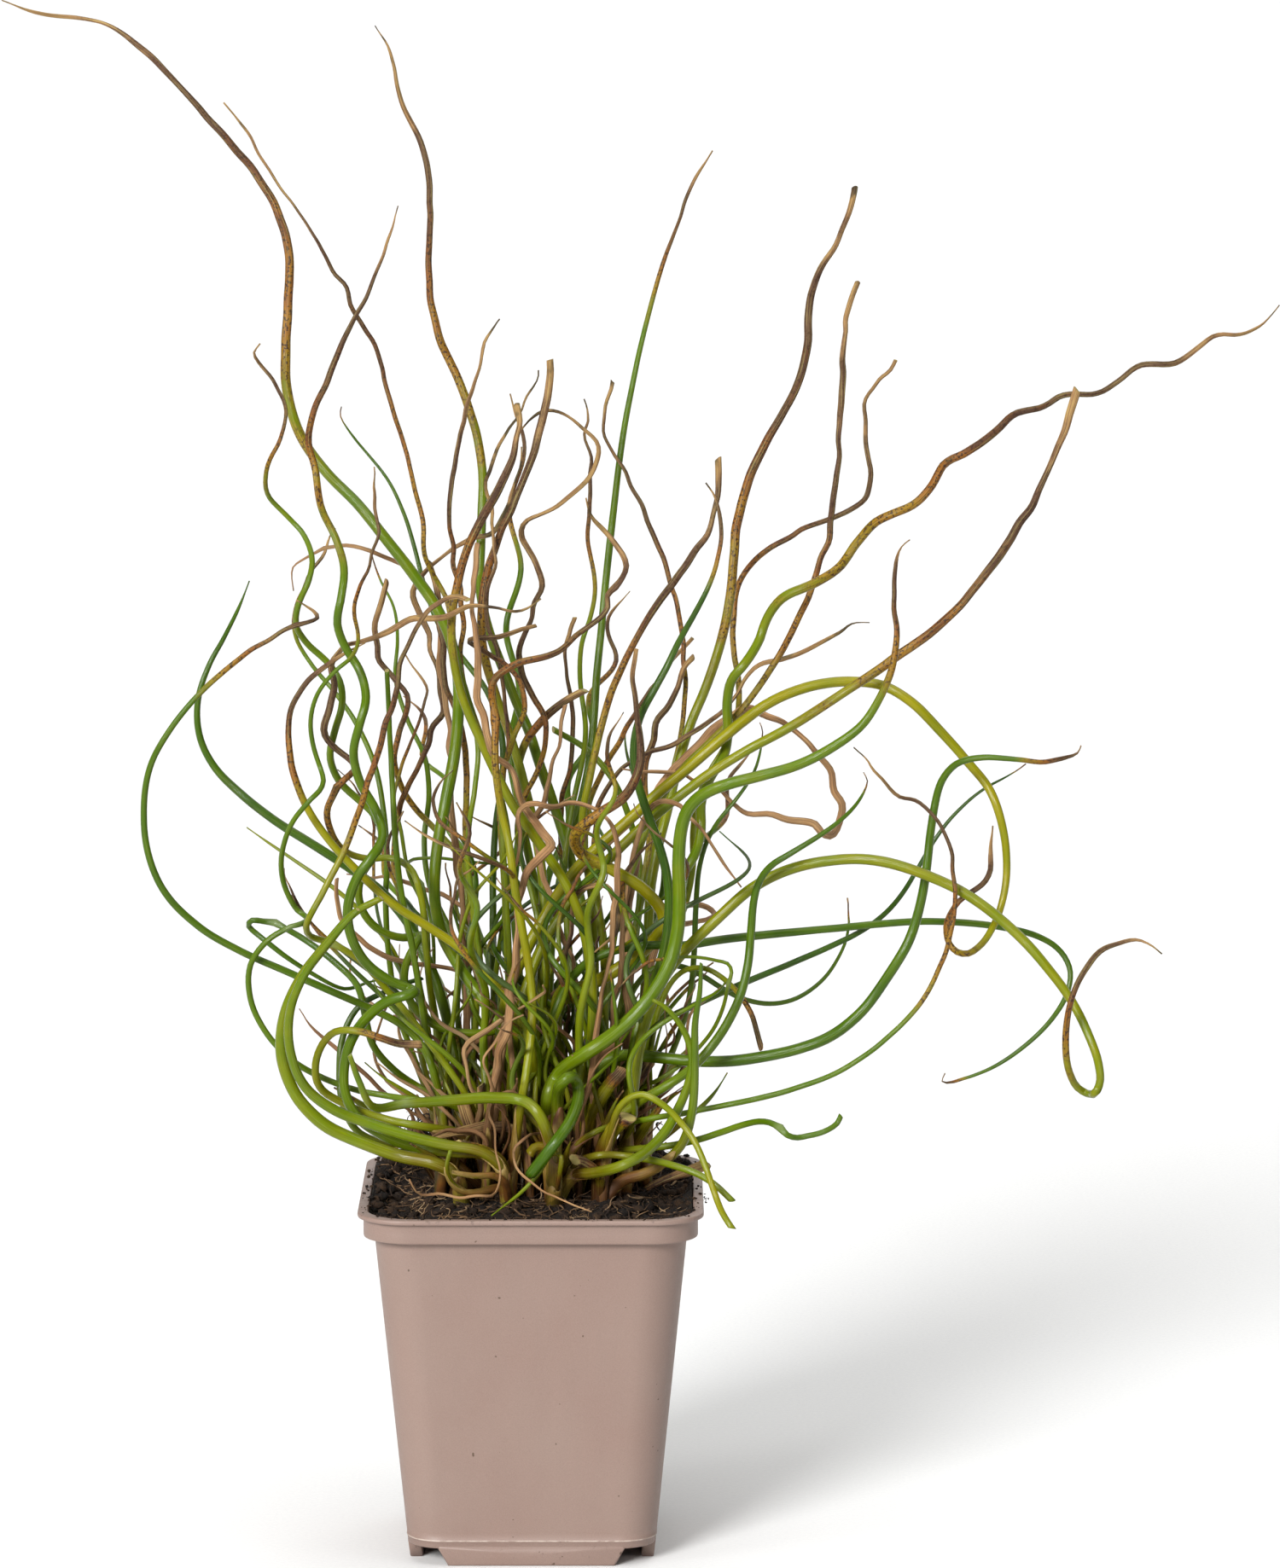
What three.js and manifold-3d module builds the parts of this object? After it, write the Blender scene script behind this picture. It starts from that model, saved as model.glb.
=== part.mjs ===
// Corkscrew rush in a square plastic nursery pot. Millimetres, +Z up, front faces -Y.
// The origin is on the pot's axis, on the surface it stands on.
import * as THREE from "three";
import { mergeVertices } from "three/addons/utils/BufferGeometryUtils.js";
import Module from "manifold-3d";

const wasm = await Module();
wasm.setup();

// ---------- Driving dimensions ----------

const CLEAR = 0.3; // gap between pieces that touch

const POT = {
  height: 94.8,
  lipHalf: 45, // half the outside width of the proud lip
  lipHeight: 1.3,
  bandHalf: 43.5,
  bandHeight: 6.6, // lip included
  bodyTopHalf: 40.7,
  bodyFootHalf: 32.5, // half width where the body ends above the feet
  cornerShare: 0.29, // corner radius over half width
  wall: 1.2,
  floorThickness: 1.5,
};

const FOOT = {
  height: 4.7,
  topHalf: 24.4, // half length of a foot tab where it leaves the body
  soleHalf: 21.8,
  depth: 3.4,
  centreRadius: 8,
};

const DRAIN = { radius: 3.5, reach: 19 };

const SOIL = {
  level: 91.4,
  slope: 0.028, // rise towards the back, mm per mm
  heap: 3.2, // height of the heaps against the back corners
  heapReach: 33,
  heapSpread: 11,
  waves: 0.45,
  grid: 10,
};

// Short root plug under each tuft.
const PLUG = {
  radius: 3.2,
  dryRadius: 2.3,
  footShare: 0.7, // foot radius over top radius
  bottom: 80,
  top: 94.2,
  sides: 6,
  cornerRoom: 0.15, // added to its hole in the soil, for the stems at its rim
};

const STEM = {
  step: 3, // spacing of the points that a stem's line is worked out on
  sink: 8, // how far a stem reaches down into its plug
  swing: 7, // depth of the corkscrew turns
  swingWindow: 10, // points on either side that give the stem's general direction
  swingStart: 40, // the turns grow to full depth over this length
  air: 1.5, // free space kept between two stems
  cell: 7, // size of the board cells in which neighbours are looked for
  ownGap: 8, // points between two places of one stem before they count as crossing
  sharedFoot: 16, // stems of one tuft may touch along this length from the root
  pinned: 12, // a stem may be moved in full beyond this length above its plug
  pushReach: 5, // points on either side that a push carries along
  rounds: 200,
  lift: 1.2, // free space kept above the soil and the rim
  thinnest: 0.36, // least radius that is modelled
  facetError: 0.55, // how far a straight facet may stray from the curve
  thickRadius: 1.8, // stems from this radius up have four sides, the others three
  sideScale: { 3: 1.2, 4: 1.1 }, // corner radius of a section with the area of the round one
};

// The stems are drawn on an upright board through the middle of the crown, leaning back a little,
// and seen from one standpoint. Depth carries a point off the board along its line to that point.
const BOARD = {
  middle: new THREE.Vector3(0, 0, 92),
  lean: THREE.MathUtils.degToRad(8.39),
  eye: new THREE.Vector3(28.4, -1879.7, 479.4),
};

// ---------- Tufts: where each piece of rootstock stands, [x, y] ----------

const TUFTS = {
  a1: [-18, -20], a2: [-6, -20], a3: [6, -20], a4: [18, -20],
  b1: [-24, -10], b2: [-12, -10], b3: [0, -10], b4: [12, -10], b5: [24, -10],
  c1: [-18, 0], c2: [-6, 0], c3: [6, 0], c4: [18, 0], c5: [30, 0],
  d1: [-24, 10], d2: [-12, 10], d3: [0, 10], d4: [12, 10], d5: [24, 10],
  e1: [-16, 20], e2: [-4, 20], e3: [8, 20], e4: [20, 20],
};

const DRY_TUFTS = {
  s1: [-12, -16.7], s2: [0, -16.7], s3: [12, -16.7], s4: [-12, 3.3],
  s5: [18, -6.7], s6: [24, 3.3], s7: [-18, 6.7],
};

// ---------- Stems: name, tuft, width at base and tip, depth of the tip before its root, route ----------
// A route runs from the tip down: mm to the right of the pot's axis and mm up the board.
// A stroke stands where the stem is kinked.

const STEMS = [
  ["high_arch_left", "b3", 3.2, 0.5, -34, `
    -140 316, -130 312.5, -120 311.3, -112 309.3, -104 304, -96 296.2, -88 287.8, -80 279, -72 268.6,
    -66.5 258.5, -64.5 249, -64.4 238, -65.1 226, -65 214, -61.5 201.5, -54.6 191.6, -46 182.8, -38.5
    173.5, -31.5 164.5, -25.5 155.8, -21.8 147.5, -19.8 138.5, -19.6 129, -20.6 117, -23 104, -25.2 92,
    -25.9 80, -24 69.5, -18.5 59.5, -11.5 49.5, -6.5 39.5, -3 28, -1 14`],
  ["wavy_straw_left", "b2", 1.5, 0.5, 22, `
    -81 288.6, -75.1 280.3, -70 271.8, -63.8 262.6, -57 253, -51 242.5, -46 232, -40.7 221.5, -37.3
    209.5, -34 199.5, -31.3 187, -28.8 178, -28.5 170, -26.3 164.5, -22.8 158, -21.3 150, -20.3 142.5,
    -18 135.5, -15.8 127.5, -14.4 118, -15.2 108, -16.8 98, -17 88, -15.5 76, -13.5 60, -12.5 40, -12 18`],
  ["great_loop_left", "a2", 2.7, 0.7, 16, `
    -35.7 261.8, -37 255.5, -40.5 247, -44.5 237, -50 226, -53.5 217, -57.3 209, -59.2 200, -57.4 192,
    -55.8 182, -52 174, -49.8 166, -50.6 158, -51.6 151.5, -49.5 145.3, -45.5 138.6, -44 131.5, -45.6
    125, -47.3 117.5, -45.6 109.5, -41.3 101.8, -39.6 95, -42.3 90, -46.5 84, -48.8 76.5, -48 69, -44.2
    62, -38 57.2, -32.3 54.9, -30.6 54, -33.2 53.3, -38.8 51.3, -44 47, -48 41, -49.8 34, -49.4 27,
    -46.2 21, -41 17, -34.5 14, -27.5 12.2, -20 11.6, -13.5 11.2, -8.6 8.5`],
  ["tall_left_of_middle", "d4", 2.8, 0.8, -44, `
    -41.3 309.3, -37.1 300.8, -34.3 289, -29.5 278.5, -27 268, -27.3 255, -27.3 241, -24.5 227, -19.5
    215.5, -15.3 203.5, -13.2 191, -13.4 180, -13.7 171, -14 162, -12.6 153.5, -10 145, -7.2 138, -4.2
    130.5, -1 123, 1.8 114.5, 4.8 106, 7.6 97.5, 10.2 88.5, 12.6 78.5, 14.4 67, 15.2 54, 14.6 38, 13.2
    20`],
  ["curled_tip_left", "c3", 2.3, 0.6, 29, `
    -72.2 225.6, -73.6 223.6, -71.8 219.5, -68 214.5, -65.2 208, -66.5 200.5, -69.9 193.5, -70.2 186,
    -65 180, -60.5 175, -58.2 168.5, -59.2 162.5, -61.8 156.5, -62.4 150.8, -59.4 146, -54.2 141.2,
    -50.9 136, -50.3 130, -52.2 123.2, -53.5 116.5, -51.2 110, -46.6 105.4, -42 101, -39.8 95.8, -41.2
    90.5, -44.4 86.4, -46 80.5, -44.6 75, -41.2 71, -36.2 68.7, -31.5 68.6, -29.2 69.6, -31 66.4, -33.4
    61.5, -33.8 56, -31.6 50.5, -27 46, -20.5 43.6, -13.5 43.2, -6.5 44.2, -.5 41, 3.6 33, 5.5 19`],
  ["slim_green_upper_left", "d2", 2, 0.5, -32, `
    -50.7 209, -50.6 206, -47.5 201, -41.9 194.2, -37.5 188.3, -33.8 180, -31.2 171.5, -28.7 162, -25.6
    152.8, -21.4 146, -17 140.5, -12.8 134.8, -9.6 128, -7.9 119.5, -8 109.5, -9.6 99, -10.4 86, -10.4
    70, -10.2 50, -11 30`],
  ["double_loop_left", "b2", 1.7, 0.6, 36, `
    -42.2 192.9, -42.3 187, -40.9 180, -40.3 174.5, -42.6 168, -46 161, -47 154, -46 147.5, -47.7 142.8,
    -52.5 138.5, -56.8 132.8, -58.6 126, -57.8 118.5, -55.6 111.5, -55.4 108.6, -59 104.5, -63.6 98.6,
    -66.2 91, -65.9 83.5, -62.6 76.2, -59.2 73 / -63.8 71.4, -70 67.6, -74.6 61, -74.4 52, -70.5 43.5,
    -63.5 36, -55.5 31.4, -47 28.3, -38.5 26.6, -29.5 25.4, -21 24, -14.5 19, -12 11`],
  ["tall_straight_middle", "e3", 2.4, 0.6, -48, `
    47.8 276.6, 43.4 269.4, 39.5 260.2, 34.5 246.5, 30.3 231.8, 26.5 215, 23.6 199, 21.4 181, 19.6 165,
    18.2 150, 17 138, 16.2 126, 15.2 116, 13.3 106, 10.6 97, 8.2 88, 6.2 77, 4.8 64, 4.6 48, 5.6 30`],
  ["brown_over_middle", "e4", 1.5, 0.9, -31, `
    21.1 215.6, 18.7 208, 19.6 201.6, 24 192, 29.6 181, 34.2 170, 37.3 158.5, 39.5 147, 40.4 135.5, 39.4
    123.5, 37 112.5, 34 103, 31.6 93, 29.6 82, 27.2 68, 24.4 52, 21.8 34`],
  ["brown_left_of_middle", "d2", 1.5, 0.8, 12, `
    -9.2 231.9, -11 229, -13.6 221, -16.4 210.5, -19.8 200, -21 189, -21.8 177.5, -20.7 168, -18.8
    158.5, -18.4 149.5, -19 141.5, -17.4 133.5, -14.8 125.5, -11.6 117, -8.8 107.5, -6.6 97.5, -5.8 87,
    -7.2 76, -9.2 63, -10.8 47, -11.6 28`],
  ["broad_spotted_middle", "d3", 2.6, 1.4, -6, `
    4.8 221.7, 3.7 210.4, 1 199, -2.9 188.5, -6.6 179.8, -9.8 171.5, -12.2 163, -13.3 155, -13.4 147.5,
    -11.8 139.5, -9.2 131, -6.2 122.5, -3.4 113.5, -1 104, 1.2 94, 2.7 83, 2.9 70, 2.2 54, 1 34`],
  ["bright_diagonal", "b4", 2.7, 1.5, 20, `
    -4.3 209.7, -3.6 204.2, -4.9 196.5, -8.8 187.8, -13.2 179.8, -16.8 172.5, -19.2 164.5, -20.9 156.5,
    -21.4 148.5, -20.5 140, -18.2 131, -14.6 122.5, -10.4 113.5, -5.8 104.5, -.8 97, 4.2 89.8, 8.6 83,
    12 75.5, 14.4 66.5, 15.8 55, 15.6 42, 13.8 26`],
  ["hooked_arch_middle", "c3", 1.6, 0.7, -21, `
    -2.9 202.9, -.6 205.9, 4.5 207.3, 9.8 205.8, 14.8 201.6, 17.2 195.6, 14.6 189.8, 8.8 184.3, 1.6
    180.3, -2.2 178.4, -2.7 175.2, -.6 171, 1.4 166, 2 160.8, .6 155, -2 149.8, -3.7 144.6, -3.1 139.4,
    -.6 134.2, 2.2 128.8, 3.7 122.8, 2.8 116.5, .2 110.5, -2.6 104.5, -4 97.5, -3 89.5, -.4 80.5, 2.2
    69, 4 53, 5.2 34`],
  ["olive_wave_middle", "d4", 1.7, 0.7, -27, `
    13 211.2, 14.5 207, 14.2 200.5, 15.7 192.5, 15.8 185.5, 14.9 179.3, 14.8 173, 16 166, 16.5 159.5,
    15.2 152.8, 13.1 146.5, 12.5 139.5, 13 132, 14 125.5, 13.7 118.5, 12.2 110.5, 10.4 102.5, 9 93, 8.4
    82.5, 9.2 71, 10.6 57, 11.4 38`],
  ["brown_hanging_arch", "d1", 1.6, 0.7, -24, `
    -2.9 198.5, -3.2 193, -5.4 187, -7.2 180.5, -10.5 176, -16 173.2, -22 170, -28 165.4, -31.5 160.2,
    -30.6 154.6, -28 149, -25.8 142.8, -24.1 136.5, -23.8 130, -25.6 124, -28.8 117.2, -31.8 110.4,
    -34.6 103.4, -36.4 96, -36.6 88, -35.2 79.5, -32.6 69, -29.8 56, -27 40, -24.6 22`],
  ["orange_diagonal", "c4", 2.2, 1.3, 10, `
    49.1 195.7, 48.8 186.5, 46.9 177, 43 170, 38.6 164.3, 34.2 158.3, 30 151.8, 26.4 145.4, 23.1 138.8,
    20.4 132, 18.3 124.8, 16.5 117.2, 14.9 109.5, 13.4 102, 13.2 94.5, 14.8 86, 17 76.5, 18.7 65, 19.2
    50, 18.8 32`],
  ["dark_green_bend", "b5", 2.6, 0.6, 24, `
    45.9 188.5, 47.9 185, 49.4 180, 49.8 174, 48.7 167.5, 46.2 160.5, 42.8 154, 39 147.2, 35.6 140.2, 32
    133.6, 28.9 127.8, 27.1 121.8, 26.8 115, 28.2 108, 30.4 101.2, 32.8 94.6, 34.9 87.8, 36 80.5, 35.8
    72, 34.2 63, 31.2 54.5, 28.2 46, 26 35, 24.6 20`],
  ["tall_olive_right", "d5", 2.7, 1.4, -36, `
    85.1 267.2, 83.8 260.5, 80.6 252.5, 76 245, 73.4 237, 72.8 227, 70.6 216, 66.4 207.4, 61.4 198.4,
    57.2 189.5, 54.5 180, 53.2 170, 52.5 160.5, 50.9 151, 48.4 142, 45.4 133.5, 42 125.5, 39.4 117.5,
    37.4 109.5, 35.4 101, 33 91.5, 31.2 81, 30.6 69, 29.8 55, 28 38, 26 20`],
  ["spotted_right", "c4", 1.9, 1.2, 10, `
    86.7 242.3, 84.8 237.5, 82.4 229, 81.4 218, 81.1 204, 80.2 189.5, 79 179, 76.8 169, 73.3 159.5, 69.2
    150.4, 64.2 141.3, 58.6 133, 52.6 125.8, 46.2 119.6, 40 113.4, 34.9 106.6, 30.9 98.6, 27.4 89.4, 24
    79, 21.2 66.5, 19.6 52, 18.8 34`],
  ["long_wave_right", "c5", 2.7, 0.5, 26, `
    197.4 235.8, 193.4 231, 187.8 227.7, 180.5 227.5, 175.4 224, 169.5 220.2, 160 219.4, 155 215.6,
    149.6 212.4, 140.5 212, 134.6 208.8, 127.4 206.9, 121.8 201.4, 114.8 196.8, 109.2 194, 105.4 187.6,
    100.2 182.6, 90.6 178.2, 85.6 172.6, 81 166.2, 74 161.8, 66.2 158.3, 62 152.8, 59.8 146.8, 56.4
    141.2, 52.6 136.4, 51.4 130.4, 51.6 123, 50.6 116.6, 46.9 110.6, 44.6 104.4, 44.5 97, 43 90.6, 39.6
    85, 37 79, 36.4 71.5, 35.4 62.5, 33 53, 30.8 42, 29.6 28`],
  ["smooth_arch_right", "c2", 2.5, 1.4, 31, `
    144.2 213.7, 141.6 205.4, 136.8 193.2, 131.2 181.6, 123.6 169.8, 115 158.6, 106.2 150, 97 143.2, 88
    137, 78 130.4, 67.9 124, 56.5 117.8, 46.5 111.6, 38 105.2, 30.2 98.8, 22.8 91.8, 16 84.8, 10 77.8, 5
    70.4, .8 61.8, -2.6 52, -4.8 40, -5.8 24`],
  ["folded_brown_right", "e4", 1.8, 0.9, -37, `
    96.2 221, 91.8 216.8, 88.6 210.8, 87.8 203, 88.8 195, 89.7 188.8, 87.2 184, 80 180, 71 176.4, 62.6
    171.4, 56.6 165.4, 53.8 159.6, 53 151.6, 53.4 143, 54.4 135, 54.1 127.2, 51.2 119.6, 47 112.4, 43.8
    105, 42.4 96.5, 42.4 87.5, 40.6 78, 37.4 69.5, 33.4 61, 28.8 51, 24.6 39`],
  ["bright_sweep_right", "a3", 3.8, 0.5, 30, `
    99.9 173.4, 97 171.2, 95.5 165.5, 95.6 156.5, 96.3 149.5, 95.4 141.5, 92.6 133.5, 87.4 125, 79.4
    118.8, 70 114, 60 111.1, 51 108.8, 44.6 106, 40.9 102, 39.2 96.4, 38.6 88, 38.8 79, 38.4 71, 36.8
    63.4, 33 55.6, 27.2 48.2, 20.4 42.2, 13.4 37.4, 7.6 33.2, 4.4 27.5, 4.2 18`],
  ["yellow_green_swan", "c2", 2.7, 0.5, 21, `
    121.3 98.3, 121 91.5, 120.8 85.5, 116.8 81.1, 112 77.2, 109.6 72.4, 110.4 66.6, 114.1 64, 118.4
    66.4, 122.2 72.4, 124.6 80, 125.3 88, 124.2 97.5, 120.8 107.4, 114.8 115, 107.4 123.4, 100.4 130.4,
    93.2 134.8, 85.2 136.1, 77 135.6, 69.4 133.6, 61.8 130, 54.8 125, 48 119.3, 41 113.2, 34 107.3, 27.4
    101.3, 21.2 95.8, 15.4 90.6, 10.4 85, 6 78.6, 2 71.8, -2 64.4, -5.8 56, -8.2 46, -8.6 34, -7.6 20`],
  ["thick_green_right", "b4", 3.7, 0.8, 17, `
    145.1 119.3, 145.4 118, 142.4 116.2, 136 114.9, 127 115.6, 118.5 116, 112 114.3, 108.2 110, 106.4
    104, 105.2 96.5, 104.2 87.5, 102.4 77, 99.4 67.5, 94 58.4, 87 48.9, 79 42.5, 70 39, 60 36.8, 50
    35.7, 40 36, 30.5 37, 23 37.2, 17.6 34.4, 14.2 28, 12.8 18`],
  ["dark_wave_right", "b5", 1.9, 0.5, -22, `
    129.8 113.9, 125.8 111.3, 119 107.5, 112.4 102, 106.6 94.8, 102 87, 97.4 79.6, 92 73.8, 86 69.6, 79
    66.2, 70 62.3, 60 58.2, 51 54.3, 42.4 50.4, 34.6 46.4, 28.8 40.6, 25.6 31, 24.4 18`],
  ["low_arch_right", "b3", 2, 0.6, -22, `
    109.1 32.6, 107.6 31, 110.6 30.3, 116 31.8, 123 34.9, 130.4 40.1, 137 46.6, 141.2 53.6, 142 60, 139
    65.3, 133.4 68.8, 125 71, 115 72.3, 103 72.7, 90.5 71.9, 80 70.9, 70 70, 60 69, 50 67.9, 40 66.4,
    30.6 66.4, 22.4 65.2, 15.4 62.4, 10.2 57.6, 6.4 50, 4 40, 2.6 26`],
  ["olive_loop_far_right", "b5", 2.4, 0.6, 45, `
    166.1 64.3, 162.4 67.1, 157.4 67.7, 151.6 66, 147 62, 143.6 55.8, 141.4 48.5, 140.8 40, 141.8 33,
    144.6 28.2, 148.2 27.1, 149.9 30, 149.4 35.6, 146.6 43.4, 142.2 52, 136.4 60, 129.6 67.8, 122 74.6,
    113.4 80.6, 104.4 84.8, 95.4 87.9, 87 89.2, 79 88.8, 71 87.4, 64 84.9, 57 80.8, 50.4 74.9, 44.2 69,
    38.6 63.2, 33.8 56.2, 30.4 48, 28 38, 26.2 24`],
  ["thin_bow_right", "a3", 1.6, 0.5, 20, `
    84.8 118.9, 88.6 115.6, 91.5 110.6, 95 107, 101 104.2, 105.8 100.6, 109.4 94.6, 111.4 87, 111.6 78,
    110.2 68.6, 107.4 60.2, 104.2 53.6, 98.4 46.4, 90.4 39.2, 80.6 32.9, 70.4 28.9, 60 26, 50 23.9, 41.6
    22.3, 33 20.9, 24.6 19.4, 16.8 17.2, 11.2 13, 8.2 7`],
  ["dark_s_right", "a4", 2.6, 0.5, 10, `
    87.3 112.1, 88.5 110.6, 87.8 107.4, 85 103, 80.6 98.8, 74.8 94.7, 68 90.6, 62.8 87.2, 59.9 83.2,
    58.4 77.6, 57.7 70, 57 62, 55.2 54, 51.6 46, 46.8 39, 41.4 33.4, 35 29, 28.4 25.2, 22.8 20.4, 19.8
    13`],
  ["small_hook_right", "c4", 1.8, 0.6, -38, `
    83.1 78.5, 83.7 74, 83.1 69, 81.2 63.8, 78 58.8, 73.4 54.5, 68 51.8, 62 51, 56 52.1, 50.2 55, 44.6
    58.5, 39 60.9, 33.4 60.8, 28.4 57.2, 24.6 50, 22 40, 20.4 26`],
  ["low_kink_right", "b4", 1.9, 1.4, 40, `
    81.7 21.8, 80.6 19.4, 77.4 17.3, 72.6 16, 68.3 15.6 / 65.4 18.2, 61.6 19.9, 56.6 19.2, 50 17.1, 43
    14.8, 36 13.4, 28.4 12.7, 21.4 11.9, 16 9.4, 13.4 5`],
  ["slim_riser_right", "c5", 1.8, 0.5, -2, `
    60.2 125.5, 60.6 120.4, 59.4 114.5, 56.8 109.2, 53 104, 49 99, 46 93.6, 44.2 87.4, 43.4 80, 43 72,
    42.7 64, 42 56, 40.4 48, 37.6 40, 34 31.5, 31 20`],
  ["square_kink_right", "c3", 1.2, 0.7, 24, `
    22 55.5, 25 58.7, 30 61.4, 36 63, 42 63.3, 48 62.5, 52.5 60.8 / 51.8 56.4, 50.4 50, 47.4 43.6, 43.2
    38.5, 39 34.6, 33.4 31, 27 28, 20.2 26.2, 14 24.6, 9.6 20, 7.4 11`],
  ["drooping_olive_right", "c5", 1.6, 1.3, 6, `
    61.4 38.8, 60 42, 58.6 46.4, 56.6 50.6, 53.6 54.6, 49.6 58.2, 45 60.4, 40.2 59.8, 36 55.6, 33 48, 31
    37, 29.8 22`],
  ["double_low_right", "a3", 3, 1, 20, `
    31.5 52, 34.8 50.2, 38.2 46.6, 41 41.6, 42.2 36, 41.2 30, 38.8 23.8, 34.8 16.8, 29.2 11.2, 22.6 7.8,
    16 6.2, 11 5.6`],
  ["double_low_outer_right", "a4", 2.6, 0.9, 28, `
    44.6 62, 44.2 54, 43 46, 42.9 38, 42.8 30, 42 21.6, 39.8 14.4, 35.2 9.4, 29.2 5.8, 23.6 4.2`],
  ["cut_end_right", "a3", 2, 1.7, 12, `
    53.2 -1.6, 48.6 2.8, 44 5.8, 38 8, 31.4 9.6, 25 10.7, 18.6 11, 13 9.6, 9.4 5.4`],
  ["cut_end_hanging_right", "a4", 1.9, 1.7, 24, `
    53.2 -9.1, 50 -4, 47.6 2.4, 45.3 9, 42.6 14.8, 39 19.8, 34.2 24.4, 28.6 27, 23.6 24.4, 20.6 17`],
  ["straw_s_curve", "a2", 2.3, 0.7, 14, `
    13.8 184.5, 15.2 180, 20.6 174, 24.8 166.5 / 21.8 161, 19.9 158.8, 19.8 155, 13 149.3, 6.9 143.8, -2
    141.4, -10.4 136.3 / -9.9 126, -9.8 114, -8.4 103, -6.2 93, -4.6 81, -2.6 70, -.6 58, -.1 48, -1.2
    36, -3.4 22, -4.6 12`],
  ["big_outer_loop_left", "b1", 2.1, 0.8, 30, `
    -62.7 157.7, -58.5 155, -56 153.2 / -62.5 150.9, -70 147, -79.5 140.4, -88.4 132.4, -96 123, -101
    113.6, -102.7 102, -101.4 90, -97 80.2, -88 71.2, -77 64.8, -64.4 59.2, -52.4 53.9, -42 49.4, -34
    44.9, -28.8 39.2, -25.6 31, -23.4 19`],
  ["dark_arm_left", "c1", 2.9, 0.7, -14, `
    -74.8 162.7, -77.4 156, -81.4 147.9, -85.6 140, -88.4 131, -87.9 121.5, -84 113.5, -77 106.4, -68
    99.3, -58 93, -48.6 87, -40 80.6, -33.6 73.4, -28.4 64, -24 52, -20.4 36, -18.8 20`],
  ["yellow_green_bow_left", "b3", 2.6, 0.7, 20, `
    -44.3 146.6, -52.8 141.4, -60.6 135, -64.3 126.5, -64 116, -60.6 104.8, -54.2 94.7, -46 85.7, -37
    77.4, -27.4 71.2, -18.4 65, -10.8 57, -5 49.4, -.8 40, 1.4 27`],
  ["tan_wave_left", "c1", 1.9, 0.7, 33, `
    2 157.4, -4.4 154.6, -11 156, -17 155.8, -24 153, -31 152.6, -38 149, -45 146.7, -50.4 145.2, -53
    141.6, -52.2 137, -52 133.4, -54 128.4, -54 121.6, -47.2 113.4 / -51.4 108.6, -54 102, -53 96, -49.4
    91.2, -43.6 89.3, -37 89.4, -32.2 86.6, -29.4 79, -28.2 66, -26.4 50, -22.6 32, -19.4 18`],
  ["kinked_straw_left", "b2", 1.9, 1, 40, `
    -17 157.4, -21 158.6, -27.4 154, -33 145.3, -36.2 135, -39.6 122, -44 107, -49.4 92.2, -55 81, -59.8
    69.8 / -53 67, -45.5 62.3, -38.4 54.6, -30 44.3, -22.4 34, -16.8 25.4, -13.6 14`],
  ["outer_bow_left", "a1", 3.5, 1.6, 24, `
    -39.6 79, -47 75, -54.7 66.3, -61.4 57.4, -65.6 47.5, -66.2 36.6, -62.2 26.4, -55 19, -45.4 14.4,
    -35.4 10.8, -26 8.8, -20.4 5.6`],
  ["inner_bow_left", "a2", 3, 1.2, 34, `
    -46 76, -53 68.2, -60 59, -63.9 49.6, -64.2 39.4, -60.4 29.4, -52.6 23, -43 19.3, -32.6 16, -22
    13.4, -13.4 11.8, -8.4 7.6`],
  ["folded_pair_left", "b1", 2, 0.8, -24, `
    -38 57.7, -43 56.7, -49.6 54.9, -58 58.8, -67 64.8, -75.6 72.6 / -68 72.4, -59.4 67.4, -51.6 61.4,
    -46.2 55.6, -44.2 47.6, -42 39.6, -35.4 32.4, -27.4 26.6, -22.8 17`],
  ["olive_bow_left", "b2", 2.2, 1.8, 18, `
    -29 40.4, -37 40.8, -46 43.7, -52.8 43.2, -57 36.8, -56.4 29.2, -49 24.2, -38.6 20.4, -27.6 18.3,
    -18.6 16.6, -13.6 11`],
  ["grey_green_bow_left", "b1", 2, 1.2, -18, `
    -29 57.8, -37 55, -46 50, -50.2 42, -51 33, -50 24.4, -46.4 17.4, -38.6 14, -30.4 13.6, -24.8 8`],
  ["bright_kink_left", "a3", 3.2, 1.3, 41, `
    -48.5 37.8, -45.6 30, -42.2 23.7 / -34 24.5, -22 25.4, -10 26.1, -1 24.6, 4.2 16`],
  ["stub_branch_left", "d1", 1.7, 0.7, -16, `
    -52 176.5, -54.8 170.4, -59.6 162, -63 155, -62.4 147.4, -57.6 139.6, -51.6 132.4, -46.2 124.4,
    -41.8 114.4, -39.4 102, -38.4 90, -38.8 78, -38 64, -35.6 48.6, -31.4 37, -26.4 22`],
  ["cut_top_left", "b1", 1.8, 1.3, 6, `
    -38.5 139.5, -37.9 126, -37.1 110, -36.4 96, -34.6 80, -31.4 64, -28.6 46, -25.2 24`],
  ["brown_wave_left", "e1", 1.8, 1.1, -20, `
    -38.1 163, -40.4 155.2, -41.8 149, -40.3 142.2, -35.6 137, -33.5 131.4, -35.4 122, -36 112, -31.6
    103.4, -24.4 95.6, -18.6 88.6, -17.4 78, -18.2 62, -17 42, -15.8 24`],
  ["green_wave_left", "e1", 1.8, 0.5, -44, `
    -43 171, -40.4 163.4, -36.6 155.4, -35.6 147, -36.2 137, -33.2 126.4, -28.6 116.6, -27.3 106.4,
    -28.6 94, -27 81.6, -21 68.6, -16.2 54, -15.4 32`],
  ["spotted_left_of_middle", "c1", 1.8, 1.2, -14, `
    -27.2 168, -25.2 160.6, -24.3 150.6, -22.9 137.6, -19.6 125.4, -17.3 113, -17.7 99, -17 85.6, -15.2
    70, -14.8 50, -16.6 28`],
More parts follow.
